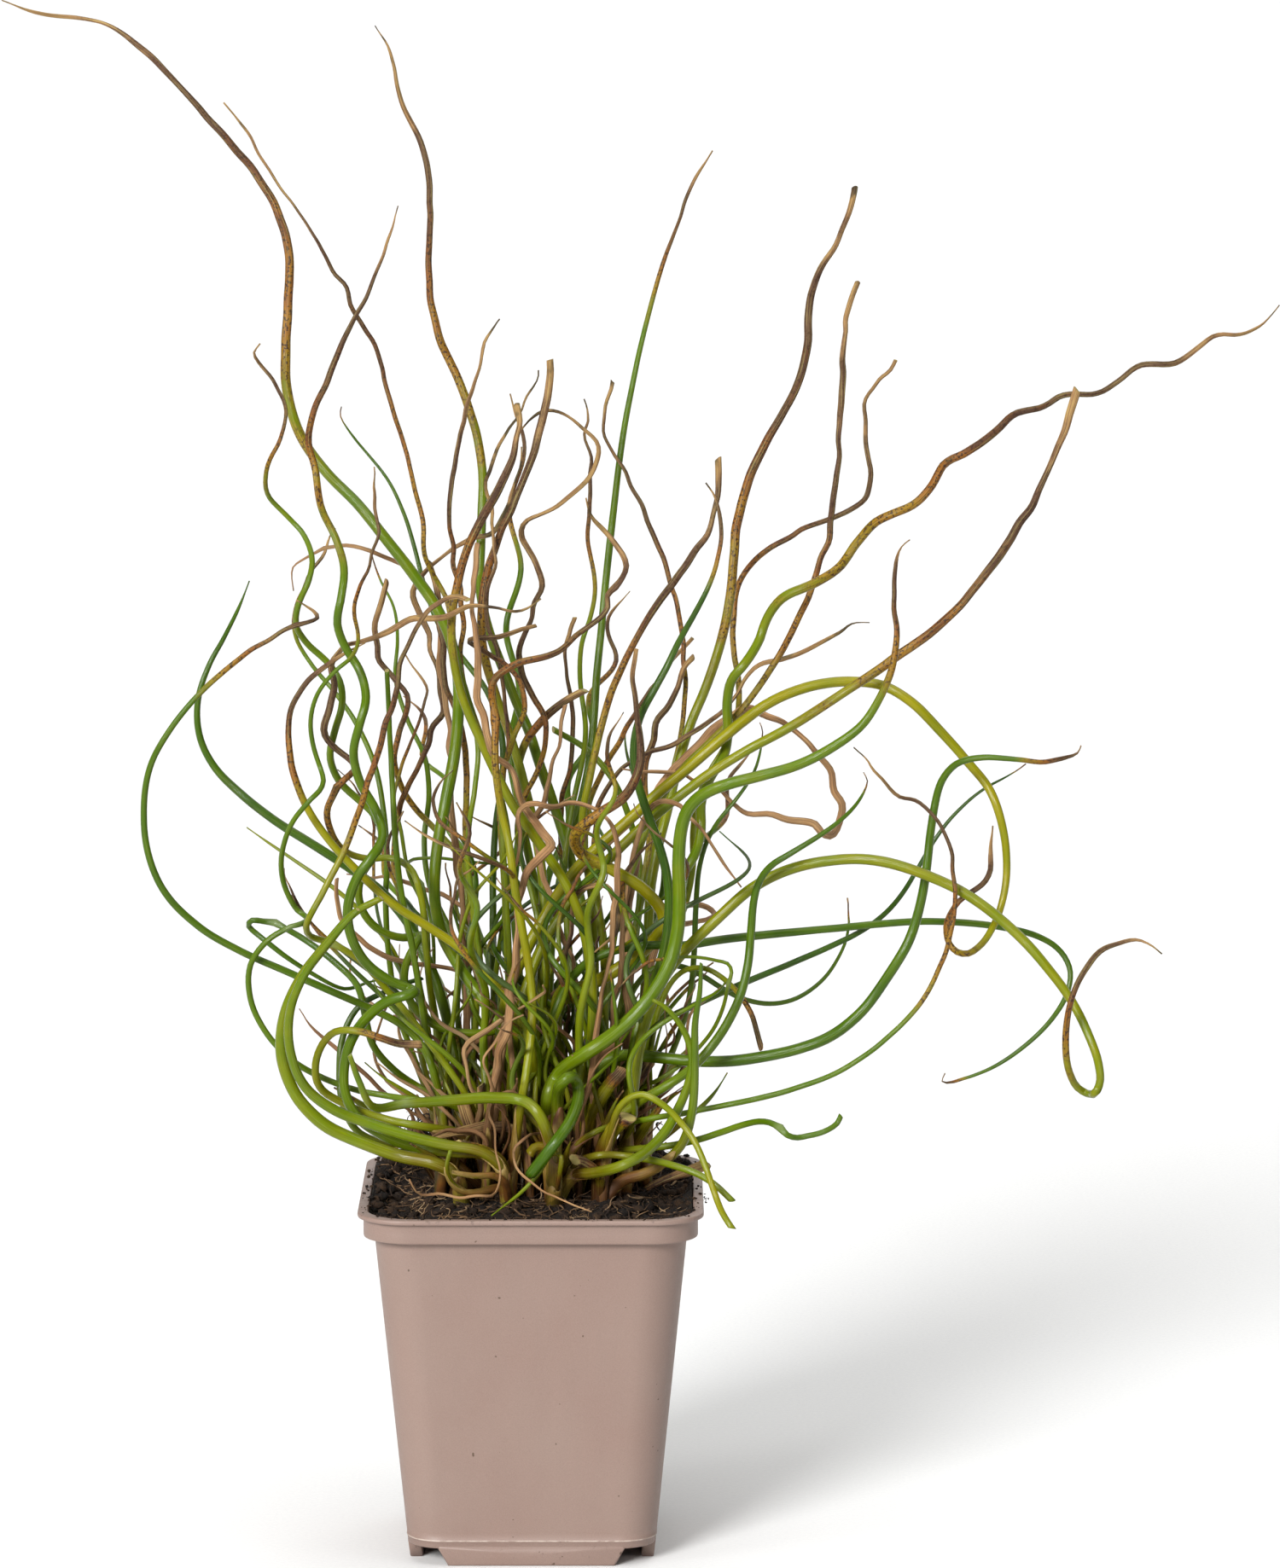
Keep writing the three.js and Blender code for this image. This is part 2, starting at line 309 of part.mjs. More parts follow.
  ["side_loop_right_of_middle", "c3", 3.6, 1, 37, `
    27.3 145, 26.7 138, 28 124, 28.2 113, 24 105.3, 16.6 100.3, 11.2 95.6, 12.2 91.3, 21 86.4, 30.2
    80.4, 34.8 73, 31 66.6, 19 58, 10.2 53.8, 6.6 50, 6.2 40, 6.4 22`],
  ["blunt_brown_tip", "d3", 2.5, 1.8, -8, `
    14.5 134.5, 7.6 130.6, 1 124.4, -3 117, -4.2 109, -2.4 97, .6 82, 2.5 66, 1.8 46, .4 24`],
  ["cut_stem_middle", "e4", 2, 1.7, -6, `
    5 123.7, 14.5 118, 21.4 109.8, 26 98.6, 28.4 85, 27 67, 23.2 49, 21 30`],
  ["orange_stub_right", "d5", 1.9, 1.5, -26, `
    42.3 143.3, 37.2 133, 31.6 121, 29.9 109, 31.2 96.6, 28.6 80, 26.2 62, 25.2 40, 24.6 24`],
  ["pale_cut_right", "d4", 1.9, 0.9, -39, `
    42.5 147.8, 34.5 138.8, 26.6 126, 19.4 114, 14.6 102.6, 14 90, 16.2 73, 16.6 52, 14.4 30`],
  ["slim_brown_middle", "e3", 1.5, 0.9, -20, `
    10.7 154, 9.2 144, 9.2 136, 11 125.5, 10.2 114, 7.5 103, 7.4 92, 8.8 76, 9 54, 8.4 32`],
  ["kinked_branch_middle", "c2", 1.6, 1.1, -4, `
    .5 151.5, -8 148, -16.8 146.3 / -8.6 141.4, -3.4 135, -2.6 128, -5.8 119.6, -8.4 107, -7.6 91, -6.4
    70, -5.6 44, -5.4 24`],
  ["curl_right_of_middle", "c3", 1.5, 0.8, 16, `
    17 65, 21.6 70, 22 76.6, 19.6 82, 14.4 81.6, 10.6 77.6, 9.8 68, 7.4 57.2, 4.8 46, 4.2 34, 5 20`],
  ["thread_tip_left", "c1", 1.3, 0.5, -30, `
    -34.8 143.5, -28 133 / -31.2 122, -36.6 106, -34.6 96, -32.8 85.6, -28.6 76, -27 58, -24 40, -20.4
    24`],
  ["cross_twig_left", "d1", 1.1, 0.7, -6, `
    -1 87.3, -16 88.4, -27 89.5, -33.2 88.3 / -29 82.6, -26.4 70, -26 50, -25 28`],
  ["riser_left_of_middle", "b1", 1.4, 0.7, -2, `
    -3.6 97, -8 88.6, -15 80.4, -18.8 70, -20.2 54, -22.4 36, -23.8 20`],
  ["soil_hook", "a2", 1.6, 1.1, 7, `
    -21.6 12.4, -22.7 7, -20.4 2.4, -16 .9, -11.6 1.8, -8 2.6`],
  ["cut_face_front", "a3", 3.2, 3, 12, `
    -.9 5.3, 4.6 12.4, 10.4 20.8, 12.2 27.6, 10.6 31.8, 7.6 30, 6.4 20`],
  ["green_tongue_front", "a3", 1.4, 0.6, 20, `
    -10.8 -5, -4 .2, 1.6 6, 5 11.2, 7.2 11.6`],
  ["twin_low_left", "a2", 1.8, 1.2, 11, `
    -21.4 6.4, -15 5.4, -10 5.6, -7.2 3.4`],
  ["back_lean_a", "e2", 2.4, 0.6, -82, `
    -6 212, -2 197, -6.4 182, -3 166, -7 150, -3.4 134, -6 118, -3.4 100, -5 80, -3.6 58, -4.4 34`],
  ["back_lean_b", "e2", 2.4, 0.6, -104, `
    26 160, 20 152, 22 141, 15 132, 16 121, 9.4 110, 9.6 98, 4 84, 2 66, -1.4 46, -3.2 26`],
  ["back_lean_c", "e2", 2.2, 0.6, -96, `
    -34 132, -28 126, -29 116, -22 109, -22.6 98, -16 88, -15.6 74, -10.6 60, -8.2 42, -5.4 24`],
  ["back_lean_d", "e3", 2.4, 0.6, -120, `
    58 118, 52 110, 51 100, 43 92, 41 82, 32.6 74, 28.6 63, 20.6 52, 15.6 38, 11 22`],
  ["back_lean_e", "e1", 2.4, 0.6, -108, `
    -46 98, -40 93, -38.6 83.6, -32 76, -30.4 66, -24.4 56, -21.6 43, -18 26`],
  ["front_lean_a", "b4", 2.2, 0.6, 50, `
    24 128, 19.4 118, 22 107, 17 97, 18.8 86, 14.6 75, 15.4 62, 12.6 48, 12.4 30`],
  ["front_lean_b", "b2", 2.2, 0.6, 84, `
    -20 104, -16.4 96, -19.4 86.6, -14.6 77, -16.4 66, -12.4 54, -13 40, -12 24`],
  ["hooked_ribbon", "s6", 2, 0.8, 2, `
    24 113.3, 32 112.2, 40 111.5, 48 107.8, 56 102.2, 66 99.8, 75.6 97.6, 77.6 94.8, 80.6 96, 81.2 104,
    77.6 113.6, 70.8 122, 62.6 127.4, 56 128.4, 49.6 125, 42 118, 35.4 110, 30.4 100, 27 88, 25.6 70,
    25.2 48, 24.4 28`],
  ["brown_ribbon_middle", "s1", 2, 1.1, 12, `
    -14.6 172.5, -14.6 166, -16.6 157.5, -15.4 150.6, -14.7 140, -13.2 126.5, -10.2 117, -5.4 112.4,
    -3.2 105, 1.4 98, 4.7 93, 1 88.6, -2.8 82.6, -4 70, -6 52, -9.4 34, -11.4 18`],
  ["looped_brown_middle", "s3", 1.5, 0.9, 8, `
    -4.2 87.5, -2.9 95, -4.2 101, -1.4 104.2, 5.4 102.6, 12.4 104.4, 18.6 101.2, 22 92, 22 76, 19.6 58,
    16.4 38, 13.2 20`],
  ["slim_brown_pair", "s5", 1.3, 0.9, -12, `
    9.3 131, 6.8 117.5, 3 106, .4 98, 2.2 86, 7 72, 12.6 54, 16.4 34, 17.8 16`],
  ["brown_tip_right", "s5", 1.2, 0.7, 16, `
    55 82.4, 49.4 90.6, 43 99.6, 37 104.4, 31 103, 27 93, 25 78, 22.6 58, 19.6 36, 18.2 18`],
  ["brown_ring_right", "s6", 1.6, 1.2, -24, `
    37 75.6, 44 77.2, 47.8 75.6, 45.4 72.8, 39.6 72.4, 34.4 70.4, 31 62, 29 44, 25.6 24`],
  ["brown_sweep_left", "s4", 1.6, 0.9, 4, `
    -51.8 84, -52 79, -48.6 71.4, -40 65, -29 61.6, -19.4 59.6, -13.4 54, -11.8 40, -12 24`],
  ["brown_cross_left", "s4", 1.4, 0.8, -20, `
    -49.5 85.5, -41 84.6, -31 82, -21.6 78.4, -15.6 71, -13.4 56, -12.6 38, -12.2 22`],
  ["beige_sheath", "s1", 3.2, 2.6, -5, `
    -7.8 46, -8.9 36, -9.9 26, -11 16`],
  ["brown_papery", "s1", 2.4, 0.8, 10, `
    -27.5 15, -22 17.2, -16 17.8, -12.6 15, -11.8 10`],
  ["soil_straw_left", "s2", 0.9, 0.7, 20, `
    -32.4 4.4, -30.6 1.4, -24 .6, -17.4 -.2, -9.6 .6, -9 8, -9.8 16, -10.8 25, -6.6 28.6, -2.6 24, -.8
    12`],
  ["soil_straw_right", "s3", 0.9, 0.8, 24, `
    15.4 -4.6, 5.6 -.2, -.6 4, -3.8 7, -4.6 13, .6 16.4, 7.6 15, 11.4 8`],
  ["brown_stub_middle", "s2", 1.5, 1.1, 2, `
    -5.6 49, -6.2 40, -5 28, -2 14`],
  ["brown_short_right", "s5", 1.3, 0.9, 18, `
    26.5 45, 22 40, 17 36.4, 16.4 26, 17.6 14`],
  ["straw_over_left", "s7", 1.4, 0.6, 10, `
    -63 160, -63.4 165.6 / -55 171, -48.6 172.3, -40 169.2, -31 164.4, -25.4 154, -24.2 140, -22 120,
    -20.4 96, -18.6 70, -16.8 44, -17.2 22`],
  ["slim_wavy_middle", "c2", 1.2, 0.6, -12, `
    1.2 218, .6 213.5, -3 208.3, -7 201, -10.8 193, -12 186, -10.9 180, -9.8 174.5, -9.5 169, -11 162.5,
    -12.5 156, -11.2 148.5, -9 141, -7.2 133.5, -6.4 126, -6.8 118, -8 110, -8.8 101, -8.2 90, -7.4 75,
    -6.6 55, -6 32`],
  ["thin_brown_right", "d5", 1.4, 0.7, -20, `
    89 151.5, 83.4 150.3, 77 147, 71 143.8, 64.2 141.4, 59 139, 55.4 135, 51.4 130, 46.6 125.3, 41
    121.5, 35 118.7, 29.5 116.7, 24.6 113.8, 20.8 109.4, 18 104.2, 16.4 98, 16 90, 17.2 80, 19.2 68,
    21.2 54, 22.8 36`],
];

// ---------- Board and space ----------

const boardUp = new THREE.Vector3(0, Math.sin(BOARD.lean), Math.cos(BOARD.lean));
const boardNormal = new THREE.Vector3(0, -Math.cos(BOARD.lean), Math.sin(BOARD.lean));
const eyeDistance = BOARD.eye.clone().sub(BOARD.middle).dot(boardNormal);

function boardToSpace(u, v, depth) {
  const onBoard = BOARD.middle.clone().addScaledVector(boardUp, v);
  onBoard.x += u;
  return onBoard.lerp(BOARD.eye, depth / eyeDistance);
}

function spaceToBoard(point) {
  const depth = point.clone().sub(BOARD.middle).dot(boardNormal);
  const share = depth / eyeDistance;
  const onBoard = point.clone().addScaledVector(BOARD.eye, -share).divideScalar(1 - share);
  const offset = onBoard.sub(BOARD.middle);
  return [offset.x, offset.dot(boardUp), depth];
}

// ---------- Solids ----------

function toSolid(geometry) {
  geometry.deleteAttribute("normal");
  geometry.deleteAttribute("uv");
  const merged = mergeVertices(geometry, 1e-5);
  return new wasm.Manifold(new wasm.Mesh({
    numProp: 3,
    vertProperties: new Float32Array(merged.attributes.position.array),
    triVerts: new Uint32Array(merged.index.array),
  }));
}

function toMesh(name, solid, finish) {
  const mesh = solid.getMesh();
  const geometry = new THREE.BufferGeometry();
  geometry.setAttribute("position", new THREE.BufferAttribute(mesh.vertProperties, 3));
  geometry.setIndex(new THREE.BufferAttribute(mesh.triVerts, 1));
  geometry.computeVertexNormals();
  const piece = new THREE.Mesh(geometry, new THREE.MeshStandardMaterial(finish));
  piece.name = name;
  return piece;
}

function roundedSquare(half, radius) {
  const flat = half - radius;
  const shape = new THREE.Shape();
  shape.absarc(flat, flat, radius, 0, Math.PI / 2);
  shape.absarc(-flat, flat, radius, Math.PI / 2, Math.PI);
  shape.absarc(-flat, -flat, radius, Math.PI, Math.PI * 1.5);
  shape.absarc(flat, -flat, radius, Math.PI * 1.5, Math.PI * 2);
  return shape;
}

// A rounded-square block from z0 to z1 whose half width grows evenly from half0 to half1.
function taperedBlock(half0, half1, z0, z1) {
  const shape = roundedSquare(half0, half0 * POT.cornerShare);
  const geometry = new THREE.ExtrudeGeometry(shape, { depth: 1, bevelEnabled: false, curveSegments: 4 });
  const position = geometry.attributes.position;
  for (let i = 0; i < position.count; i += 1) {
    const share = position.getZ(i);
    const scale = 1 + (half1 / half0 - 1) * share;
    position.setXYZ(i, position.getX(i) * scale, position.getY(i) * scale, z0 + (z1 - z0) * share);
  }
  return toSolid(geometry);
}

function uprightCylinder(x, y, bottomRadius, topRadius, z0, z1, sides) {
  const geometry = new THREE.CylinderGeometry(topRadius, bottomRadius, z1 - z0, sides);
  geometry.rotateX(Math.PI / 2).translate(x, y, (z0 + z1) / 2);
  return toSolid(geometry);
}

// ---------- Pot ----------

const bandFoot = POT.height - POT.bandHeight;
const bodySlope = (POT.bodyTopHalf - POT.bodyFootHalf) / (bandFoot - FOOT.height);
const bodyHalf = (z) => POT.bodyFootHalf + bodySlope * (z - FOOT.height);
const ledge = bandFoot + POT.wall; // step inside the pot where the rim band begins
const floorTop = FOOT.height + POT.floorThickness;
const bandInside = POT.bandHalf - POT.wall;

function footTab(turn) {
  const outline = new THREE.Shape();
  outline.moveTo(-FOOT.topHalf, FOOT.height + 0.5);
  outline.lineTo(-FOOT.topHalf, FOOT.height);
  outline.lineTo(-FOOT.soleHalf, 0);
  outline.lineTo(FOOT.soleHalf, 0);
  outline.lineTo(FOOT.topHalf, FOOT.height);
  outline.lineTo(FOOT.topHalf, FOOT.height + 0.5);
  outline.closePath();
  const geometry = new THREE.ExtrudeGeometry(outline, { depth: FOOT.depth, bevelEnabled: false });
  geometry.rotateX(Math.PI / 2).translate(0, -(bodyHalf(0) - FOOT.depth), 0).rotateZ(turn);
  return toSolid(geometry);
}

function potSolid() {
  let shell = taperedBlock(bodyHalf(FOOT.height), POT.bodyTopHalf, FOOT.height, bandFoot)
    .add(taperedBlock(POT.bandHalf, POT.bandHalf, bandFoot, POT.height))
    .add(taperedBlock(POT.lipHalf, POT.lipHalf, POT.height - POT.lipHeight, POT.height));
  shell = shell
    .subtract(taperedBlock(bodyHalf(floorTop) - POT.wall, bodyHalf(ledge) - POT.wall, floorTop, ledge))
    .subtract(taperedBlock(bandInside, bandInside, ledge, POT.height + 1));
  for (let side = 0; side < 4; side += 1) {
    shell = shell.add(footTab((side * Math.PI) / 2));
    const angle = ((side + 0.5) * Math.PI) / 2;
    const x = Math.SQRT2 * DRAIN.reach * Math.cos(angle);
    const y = Math.SQRT2 * DRAIN.reach * Math.sin(angle);
    shell = shell.subtract(uprightCylinder(x, y, DRAIN.radius, DRAIN.radius, 0, floorTop + 1, 12));
  }
  return shell.add(uprightCylinder(0, 0, FOOT.centreRadius, FOOT.centreRadius, 0, floorTop, 20));
}

// ---------- Soil ----------

// Height of the soil: a slope up to the back, a heap in each back corner and low waves.
function soilHeight(x, y) {
  const heapAt = (hx, hy) => {
    const distance2 = (x - hx) ** 2 + (y - hy) ** 2;
    return SOIL.heap * Math.exp(-distance2 / (2 * SOIL.heapSpread ** 2));
  };
  const waves = SOIL.waves * (Math.sin(x * 0.31 + 1) * Math.cos(y * 0.27) + Math.sin(y * 0.53 - x * 0.17));
  const heaps = heapAt(-SOIL.heapReach, SOIL.heapReach - 6) + heapAt(SOIL.heapReach, SOIL.heapReach - 6);
  return SOIL.level + SOIL.slope * y + waves + heaps;
}

function soilSolid() {
  const bottom = floorTop + CLEAR;
  const lower = taperedBlock(
    bodyHalf(bottom) - POT.wall - CLEAR, bodyHalf(POT.height) - POT.wall - CLEAR, bottom, POT.height + 6,
  );
  const upperHalf = bandInside - CLEAR;
  const upper = taperedBlock(upperHalf, upperHalf, ledge + CLEAR, POT.height + 6);
  const size = 2 * POT.bandHalf;
  const relief = new THREE.BoxGeometry(size, size, 1, SOIL.grid, SOIL.grid, 1);
  const position = relief.attributes.position;
  for (let i = 0; i < position.count; i += 1) {
    const top = position.getZ(i) > 0;
    position.setZ(i, top ? soilHeight(position.getX(i), position.getY(i)) : 0);
  }
  let soil = lower.add(upper).intersect(toSolid(relief));
  for (const [[x, y], radius] of plugPlaces) {
    const hole = radius + CLEAR + PLUG.cornerRoom;
    soil = soil.subtract(
      uprightCylinder(x, y, hole, hole, PLUG.bottom - CLEAR, POT.height + 6, PLUG.sides),
    );
  }
  return soil;
}

const plugPlaces = [
  ...Object.values(TUFTS).map((place) => [place, PLUG.radius]),
  ...Object.values(DRY_TUFTS).map((place) => [place, PLUG.dryRadius]),
];

// ---------- Stem lines ----------

const places = { ...TUFTS, ...DRY_TUFTS };

function readRoute(text) {
  const readPair = (pair) => pair.trim().split(/\s+/).map(Number);
  const runs = text.split("/").map((run) => run.split(",").map(readPair));
  return runs.map((run) => run.reverse()).reverse();
}

// Points at even spacing along a smooth curve through the given points.
function evenPoints(points, spacing) {
  const curve = new THREE.CatmullRomCurve3(points.map(([x, y]) => new THREE.Vector3(x, y, 0)));
  const fine = curve.getPoints((points.length - 1) * 8);
  const along = [0];
  for (let i = 1; i < fine.length; i += 1) along.push(along[i - 1] + fine[i].distanceTo(fine[i - 1]));
  const length = along.at(-1);
  const count = Math.max(1, Math.round(length / spacing));
  const even = [];
  let at = 0;
  for (let k = 0; k <= count; k += 1) {
    const target = (length * k) / count;
    while (at < fine.length - 2 && along[at + 1] < target) at += 1;
    const share = (target - along[at]) / (along[at + 1] - along[at]);
    even.push(fine[at].clone().lerp(fine[at + 1], Math.min(1, share)));
  }
  return even;
}

// A stem's line on the board, from its root up, with its first depth at each point.
function stemLine([name, tuft, base, tip, lean, text], order) {
  const [x, y] = places[tuft];
  const runs = readRoute(text);
  const first = runs[0][0];
  const room = Math.max(0, (tuft in TUFTS ? PLUG.radius : PLUG.dryRadius) - base * 0.65) * 0.2;
  const aside = THREE.MathUtils.clamp((first[0] - x) * 0.15, -room, room);
  const forward = ((order % 3) - 1) * room;
  const root = [PLUG.top - STEM.sink, PLUG.top - 1].map(
    (z) => spaceToBoard(new THREE.Vector3(x + aside, y - forward, z)),
  );
  runs[0].unshift([root[0][0], root[0][1]], [root[1][0], root[1][1]]);
  const u = [];
  const v = [];
  const kinks = new Set();
  for (const run of runs) {
    const points = evenPoints(run, STEM.step);
    if (u.length > 0) {
      kinks.add(u.length - 1);
      const last = [u.at(-1), v.at(-1)];
      points.splice(0, points.length, ...evenPoints([last, ...run], STEM.step).slice(1));
    }
    for (const point of points) {
      u.push(point.x);
      v.push(point.y);
    }
  }
  const count = u.length;
  const along = [0];
  for (let i = 1; i < count; i += 1) along.push(along[i - 1] + Math.hypot(u[i] - u[i - 1], v[i] - v[i - 1]));
  const length = along.at(-1);
  const free = along.map((a) => Math.max(0, a - STEM.sink));
  const rank = free.map((a) => root[0][2] + lean * (a / (length - STEM.sink)) ** 1.2);
  const depth = [];
  for (let i = 0; i < count; i += 1) {
    const swing = STEM.swing * Math.min(1, free[i] / STEM.swingStart) * headingTurn(u, v, i);
    depth.push(rank[i] + swing);
  }
  const radius = along.map((a) => {
    const share = a / length;
    return Math.max(STEM.thinnest, (base + (tip - base) * share ** 1.8) / 2);
  });
  return { name, tuft, u, v, rank, depth, radius, along, kinks };
}

// Sine of the angle between a stem's direction at a point and its direction over a longer stretch.
function headingTurn(u, v, i) {
  const unit = (a, b) => {
    const size = Math.hypot(u[b] - u[a], v[b] - v[a]) || 1;
    return [(u[b] - u[a]) / size, (v[b] - v[a]) / size];
  };
  const last = u.length - 1;
  const here = unit(Math.max(0, i - 1), Math.min(last, i + 1));
  const general = unit(Math.max(0, i - STEM.swingWindow), Math.min(last, i + STEM.swingWindow));
  return here[0] * general[1] - here[1] * general[0];
}

// ---------- Clearing: stems that would touch are moved apart in depth ----------

// A plug takes part in the clearing as a short upright line that nothing moves.
function plugLine(tuft, radius) {
  const [x, y] = places[tuft];
  const line = { tuft, u: [], v: [], rank: [], depth: [], radius: [], along: [], kinks: new Set() };
  for (let z = PLUG.top - 6; z <= PLUG.top; z += 2) {
    const [u, v, depth] = spaceToBoard(new THREE.Vector3(x, y, z));
    line.u.push(u);
    line.v.push(v);
    line.rank.push(depth);
    line.depth.push(depth);
    line.radius.push(radius);
    line.along.push(0);
  }
  return line;
}

// Lowest free height at a place: over the soil inside the pot, over the rim above its wall.
function groundHeight({ x, y }) {
  const out = Math.max(Math.abs(x), Math.abs(y));
  if (out > POT.lipHalf + 2) return 0;
  return out > bandInside - 1.5 ? Math.max(POT.height, soilHeight(x, y)) : soilHeight(x, y);
}

// Raises what lies too low on the soil or the rim, together with the points around it.
function liftStems(lines) {
  for (const line of lines) {
    const lack = line.u.map((u, i) => {
      if (line.along[i] < STEM.sink) return 0;
      const point = boardToSpace(u, line.v[i], line.depth[i]);
      return Math.max(0, groundHeight(point) + line.radius[i] * 1.2 + STEM.lift - point.z);
    });
    const lift = spread(lack);
    line.v = line.v.map((v, i) => v + (line.along[i] < STEM.sink ? 0 : lift[i]));
  }
}

// Every two points that lie near each other on the board, in groups that belong to one crossing.
function findCrossings(lines) {
  const cells = new Map();
  lines.forEach((line, owner) => {
    line.u.forEach((u, i) => {
      const key = `${Math.floor(u / STEM.cell)},${Math.floor(line.v[i] / STEM.cell)}`;
      if (!cells.has(key)) cells.set(key, []);
      cells.get(key).push([owner, i]);
    });
  });
  const byPair = new Map();
  for (const [key, here] of cells) {
    const [cu, cv] = key.split(",").map(Number);
    for (let du = -1; du <= 1; du += 1) {
      for (let dv = -1; dv <= 1; dv += 1) {
        const there = cells.get(`${cu + du},${cv + dv}`) ?? [];
        for (const [a, i] of here) for (const [b, j] of there) notePair(byPair, lines, a, i, b, j);
      }
    }
  }
  return [...byPair.values()].flatMap(groupPairs);
}

function notePair(byPair, lines, a, i, b, j) {
  if (a > b || (a === b && j - i < STEM.ownGap)) return;
  const first = lines[a];
  const second = lines[b];
  const low = Math.max(first.along[i], second.along[j]);
  if (first.tuft === second.tuft && a !== b && low < STEM.sharedFoot) return;
  const reach = first.radius[i] + second.radius[j] + STEM.air;
  const distance = Math.hypot(first.u[i] - second.u[j], first.v[i] - second.v[j]);
  const nearest = Math.max(0, distance - STEM.step / 2);
  if (nearest >= reach) return;
  const need = Math.sqrt(reach ** 2 - nearest ** 2);
  const key = a * 1000 + b;
  if (!byPair.has(key)) byPair.set(key, []);
  byPair.get(key).push({ first, second, i, j, need });
}

// Splits the point pairs of two stems into separate crossings, each with one side kept in front.
function groupPairs(pairs) {
  const groups = [];
  const left = new Set(pairs);
  for (const seed of pairs) {
    if (!left.has(seed)) continue;
    left.delete(seed);
    const group = [seed];
    for (const member of group) {
      for (const other of left) {
        if (Math.abs(other.i - member.i) > 2 || Math.abs(other.j - member.j) > 2) continue;
        left.delete(other);
        group.push(other);
      }
    }
    const ahead = group.reduce((sum, p) => {
      const height = Math.min(p.first.along[p.i], p.second.along[p.j]);
      return sum + (p.first.rank[p.i] - p.second.rank[p.j]) / (4 + height) ** 2;
    }, 0);
    groups.push({ group, side: ahead < 0 ? -1 : 1 });
  }
  return groups;
}

function clearStems(lines) {
  const crossings = findCrossings(lines);
  for (const line of lines) {
    const length = line.along.at(-1);
    line.firstDepth = [...line.depth];
    line.give = line.along.map((a) => Math.min(1, Math.max(0, a - STEM.sink) / STEM.pinned));
  }
  for (let round = 0; round < STEM.rounds; round += 1) {
    for (const line of lines) {
      line.ahead = line.u.map(() => 0);
      line.back = line.u.map(() => 0);
    }
    for (const { group, side } of crossings) {
      const front = side > 0 ? "ahead" : "back";
      const rear = side > 0 ? "back" : "ahead";
      for (const { first, second, i, j, need } of group) {
        const lack = need - side * (first.depth[i] - second.depth[j]);
        if (lack <= 0) continue;
        const total = first.give[i] + second.give[j] || 1;
        first[front][i] = Math.max(first[front][i], (lack * first.give[i]) / total);
        second[rear][j] = Math.max(second[rear][j], (lack * second.give[j]) / total);
      }
    }
    for (const line of lines) {
      const ahead = spread(line.ahead);
      const back = spread(line.back);
      line.depth = line.depth.map((d, i) => d + 0.8 * line.give[i] * (ahead[i] - back[i]));
      if (round < STEM.rounds * 0.8) smoothShift(line);
    }
  }
}

// Evens out what the pushes have added to a stem's first depth.
function smoothShift(line) {
  const shift = line.depth.map((d, i) => d - line.firstDepth[i]);
  line.depth = line.depth.map((d, i) => {
    const before = shift[Math.max(0, i - 1)];
    const after = shift[Math.min(shift.length - 1, i + 1)];
    return d + 0.3 * line.give[i] * ((before + after) / 2 - shift[i]);
  });
}

// Each push also carries the points around it along, less and less with distance.
function spread(push) {
  const reach = STEM.pushReach;
  return push.map((own, i) => {
    let most = own;
    for (let k = -reach; k <= reach; k += 1) {
      const near = push[i + k];
      if (near > most) most = Math.max(most, near * (0.5 + 0.5 * Math.cos((Math.PI * k) / (reach + 1))));
    }
    return most;
  });
}

// ---------- Stem solids ----------

// Picks the points of a line that must stay for it to stray no further than the facet error.
function keepPoints(points, kinks) {
  const keep = new Set([0, points.length - 1, ...kinks]);
  const split = (from, to) => {
    const segment = new THREE.Line3(points[from], points[to]);
    const nearest = new THREE.Vector3();
    let worst = STEM.facetError;
    let at = -1;
    for (let i = from + 1; i < to; i += 1) {
      const stray = segment.closestPointToPoint(points[i], true, nearest).distanceTo(points[i]);
      if (stray > worst) [worst, at] = [stray, i];
    }
    if (at < 0) return;
    keep.add(at);
    split(from, at);
    split(at, to);
  };
  const fixed = [...keep].sort((a, b) => a - b);
  for (let k = 1; k < fixed.length; k += 1) split(fixed[k - 1], fixed[k]);
  return [...keep].sort((a, b) => a - b);
}

// A closed cylinder bent along the kept points, each of its rings square to the stem.
function stemSolid(line) {
  const points = line.u.map((u, i) => boardToSpace(u, line.v[i], line.depth[i]));
  const rings = keepPoints(points, line.kinks);
  const sides = line.radius[0] >= STEM.thickRadius ? 4 : 3;
  const last = rings.length - 1;
  const geometry = new THREE.CylinderGeometry(1, 1, last, sides, last);
  const position = geometry.attributes.position;
  const frames = ringFrames(rings.map((i) => points[i]));
  for (let i = 0; i < position.count; i += 1) {
    const k = Math.round(position.getY(i) + last / 2);
    const { centre, across, aside } = frames[k];
    const radius = line.radius[rings[k]] * STEM.sideScale[sides];
    const point = centre.clone()
      .addScaledVector(across, position.getX(i) * radius)
      .addScaledVector(aside, -position.getZ(i) * radius);
    position.setXYZ(i, point.x, point.y, point.z);
  }
  return toSolid(geometry);
}

function ringFrames(centres) {
  let across = new THREE.Vector3(1, 0, 0);
  return centres.map((centre, k) => {
    const before = centre.clone().sub(centres[Math.max(0, k - 1)]).normalize();
    const after = centres[Math.min(centres.length - 1, k + 1)].clone().sub(centre).normalize();
    const along = before.clone().add(after).normalize();
    across = across.clone().addScaledVector(along, -across.dot(along)).normalize();
    return { centre, across, aside: along.clone().cross(across) };
  });
}

// ---------- Assembly ----------

const lines = STEMS.map(stemLine);
const plugLines = [
  ...Object.keys(TUFTS).map((tuft) => plugLine(tuft, PLUG.radius)),
  ...Object.keys(DRY_TUFTS).map((tuft) => plugLine(tuft, PLUG.dryRadius)),
];
liftStems(lines);
clearStems([...lines, ...plugLines]);
liftStems(lines);

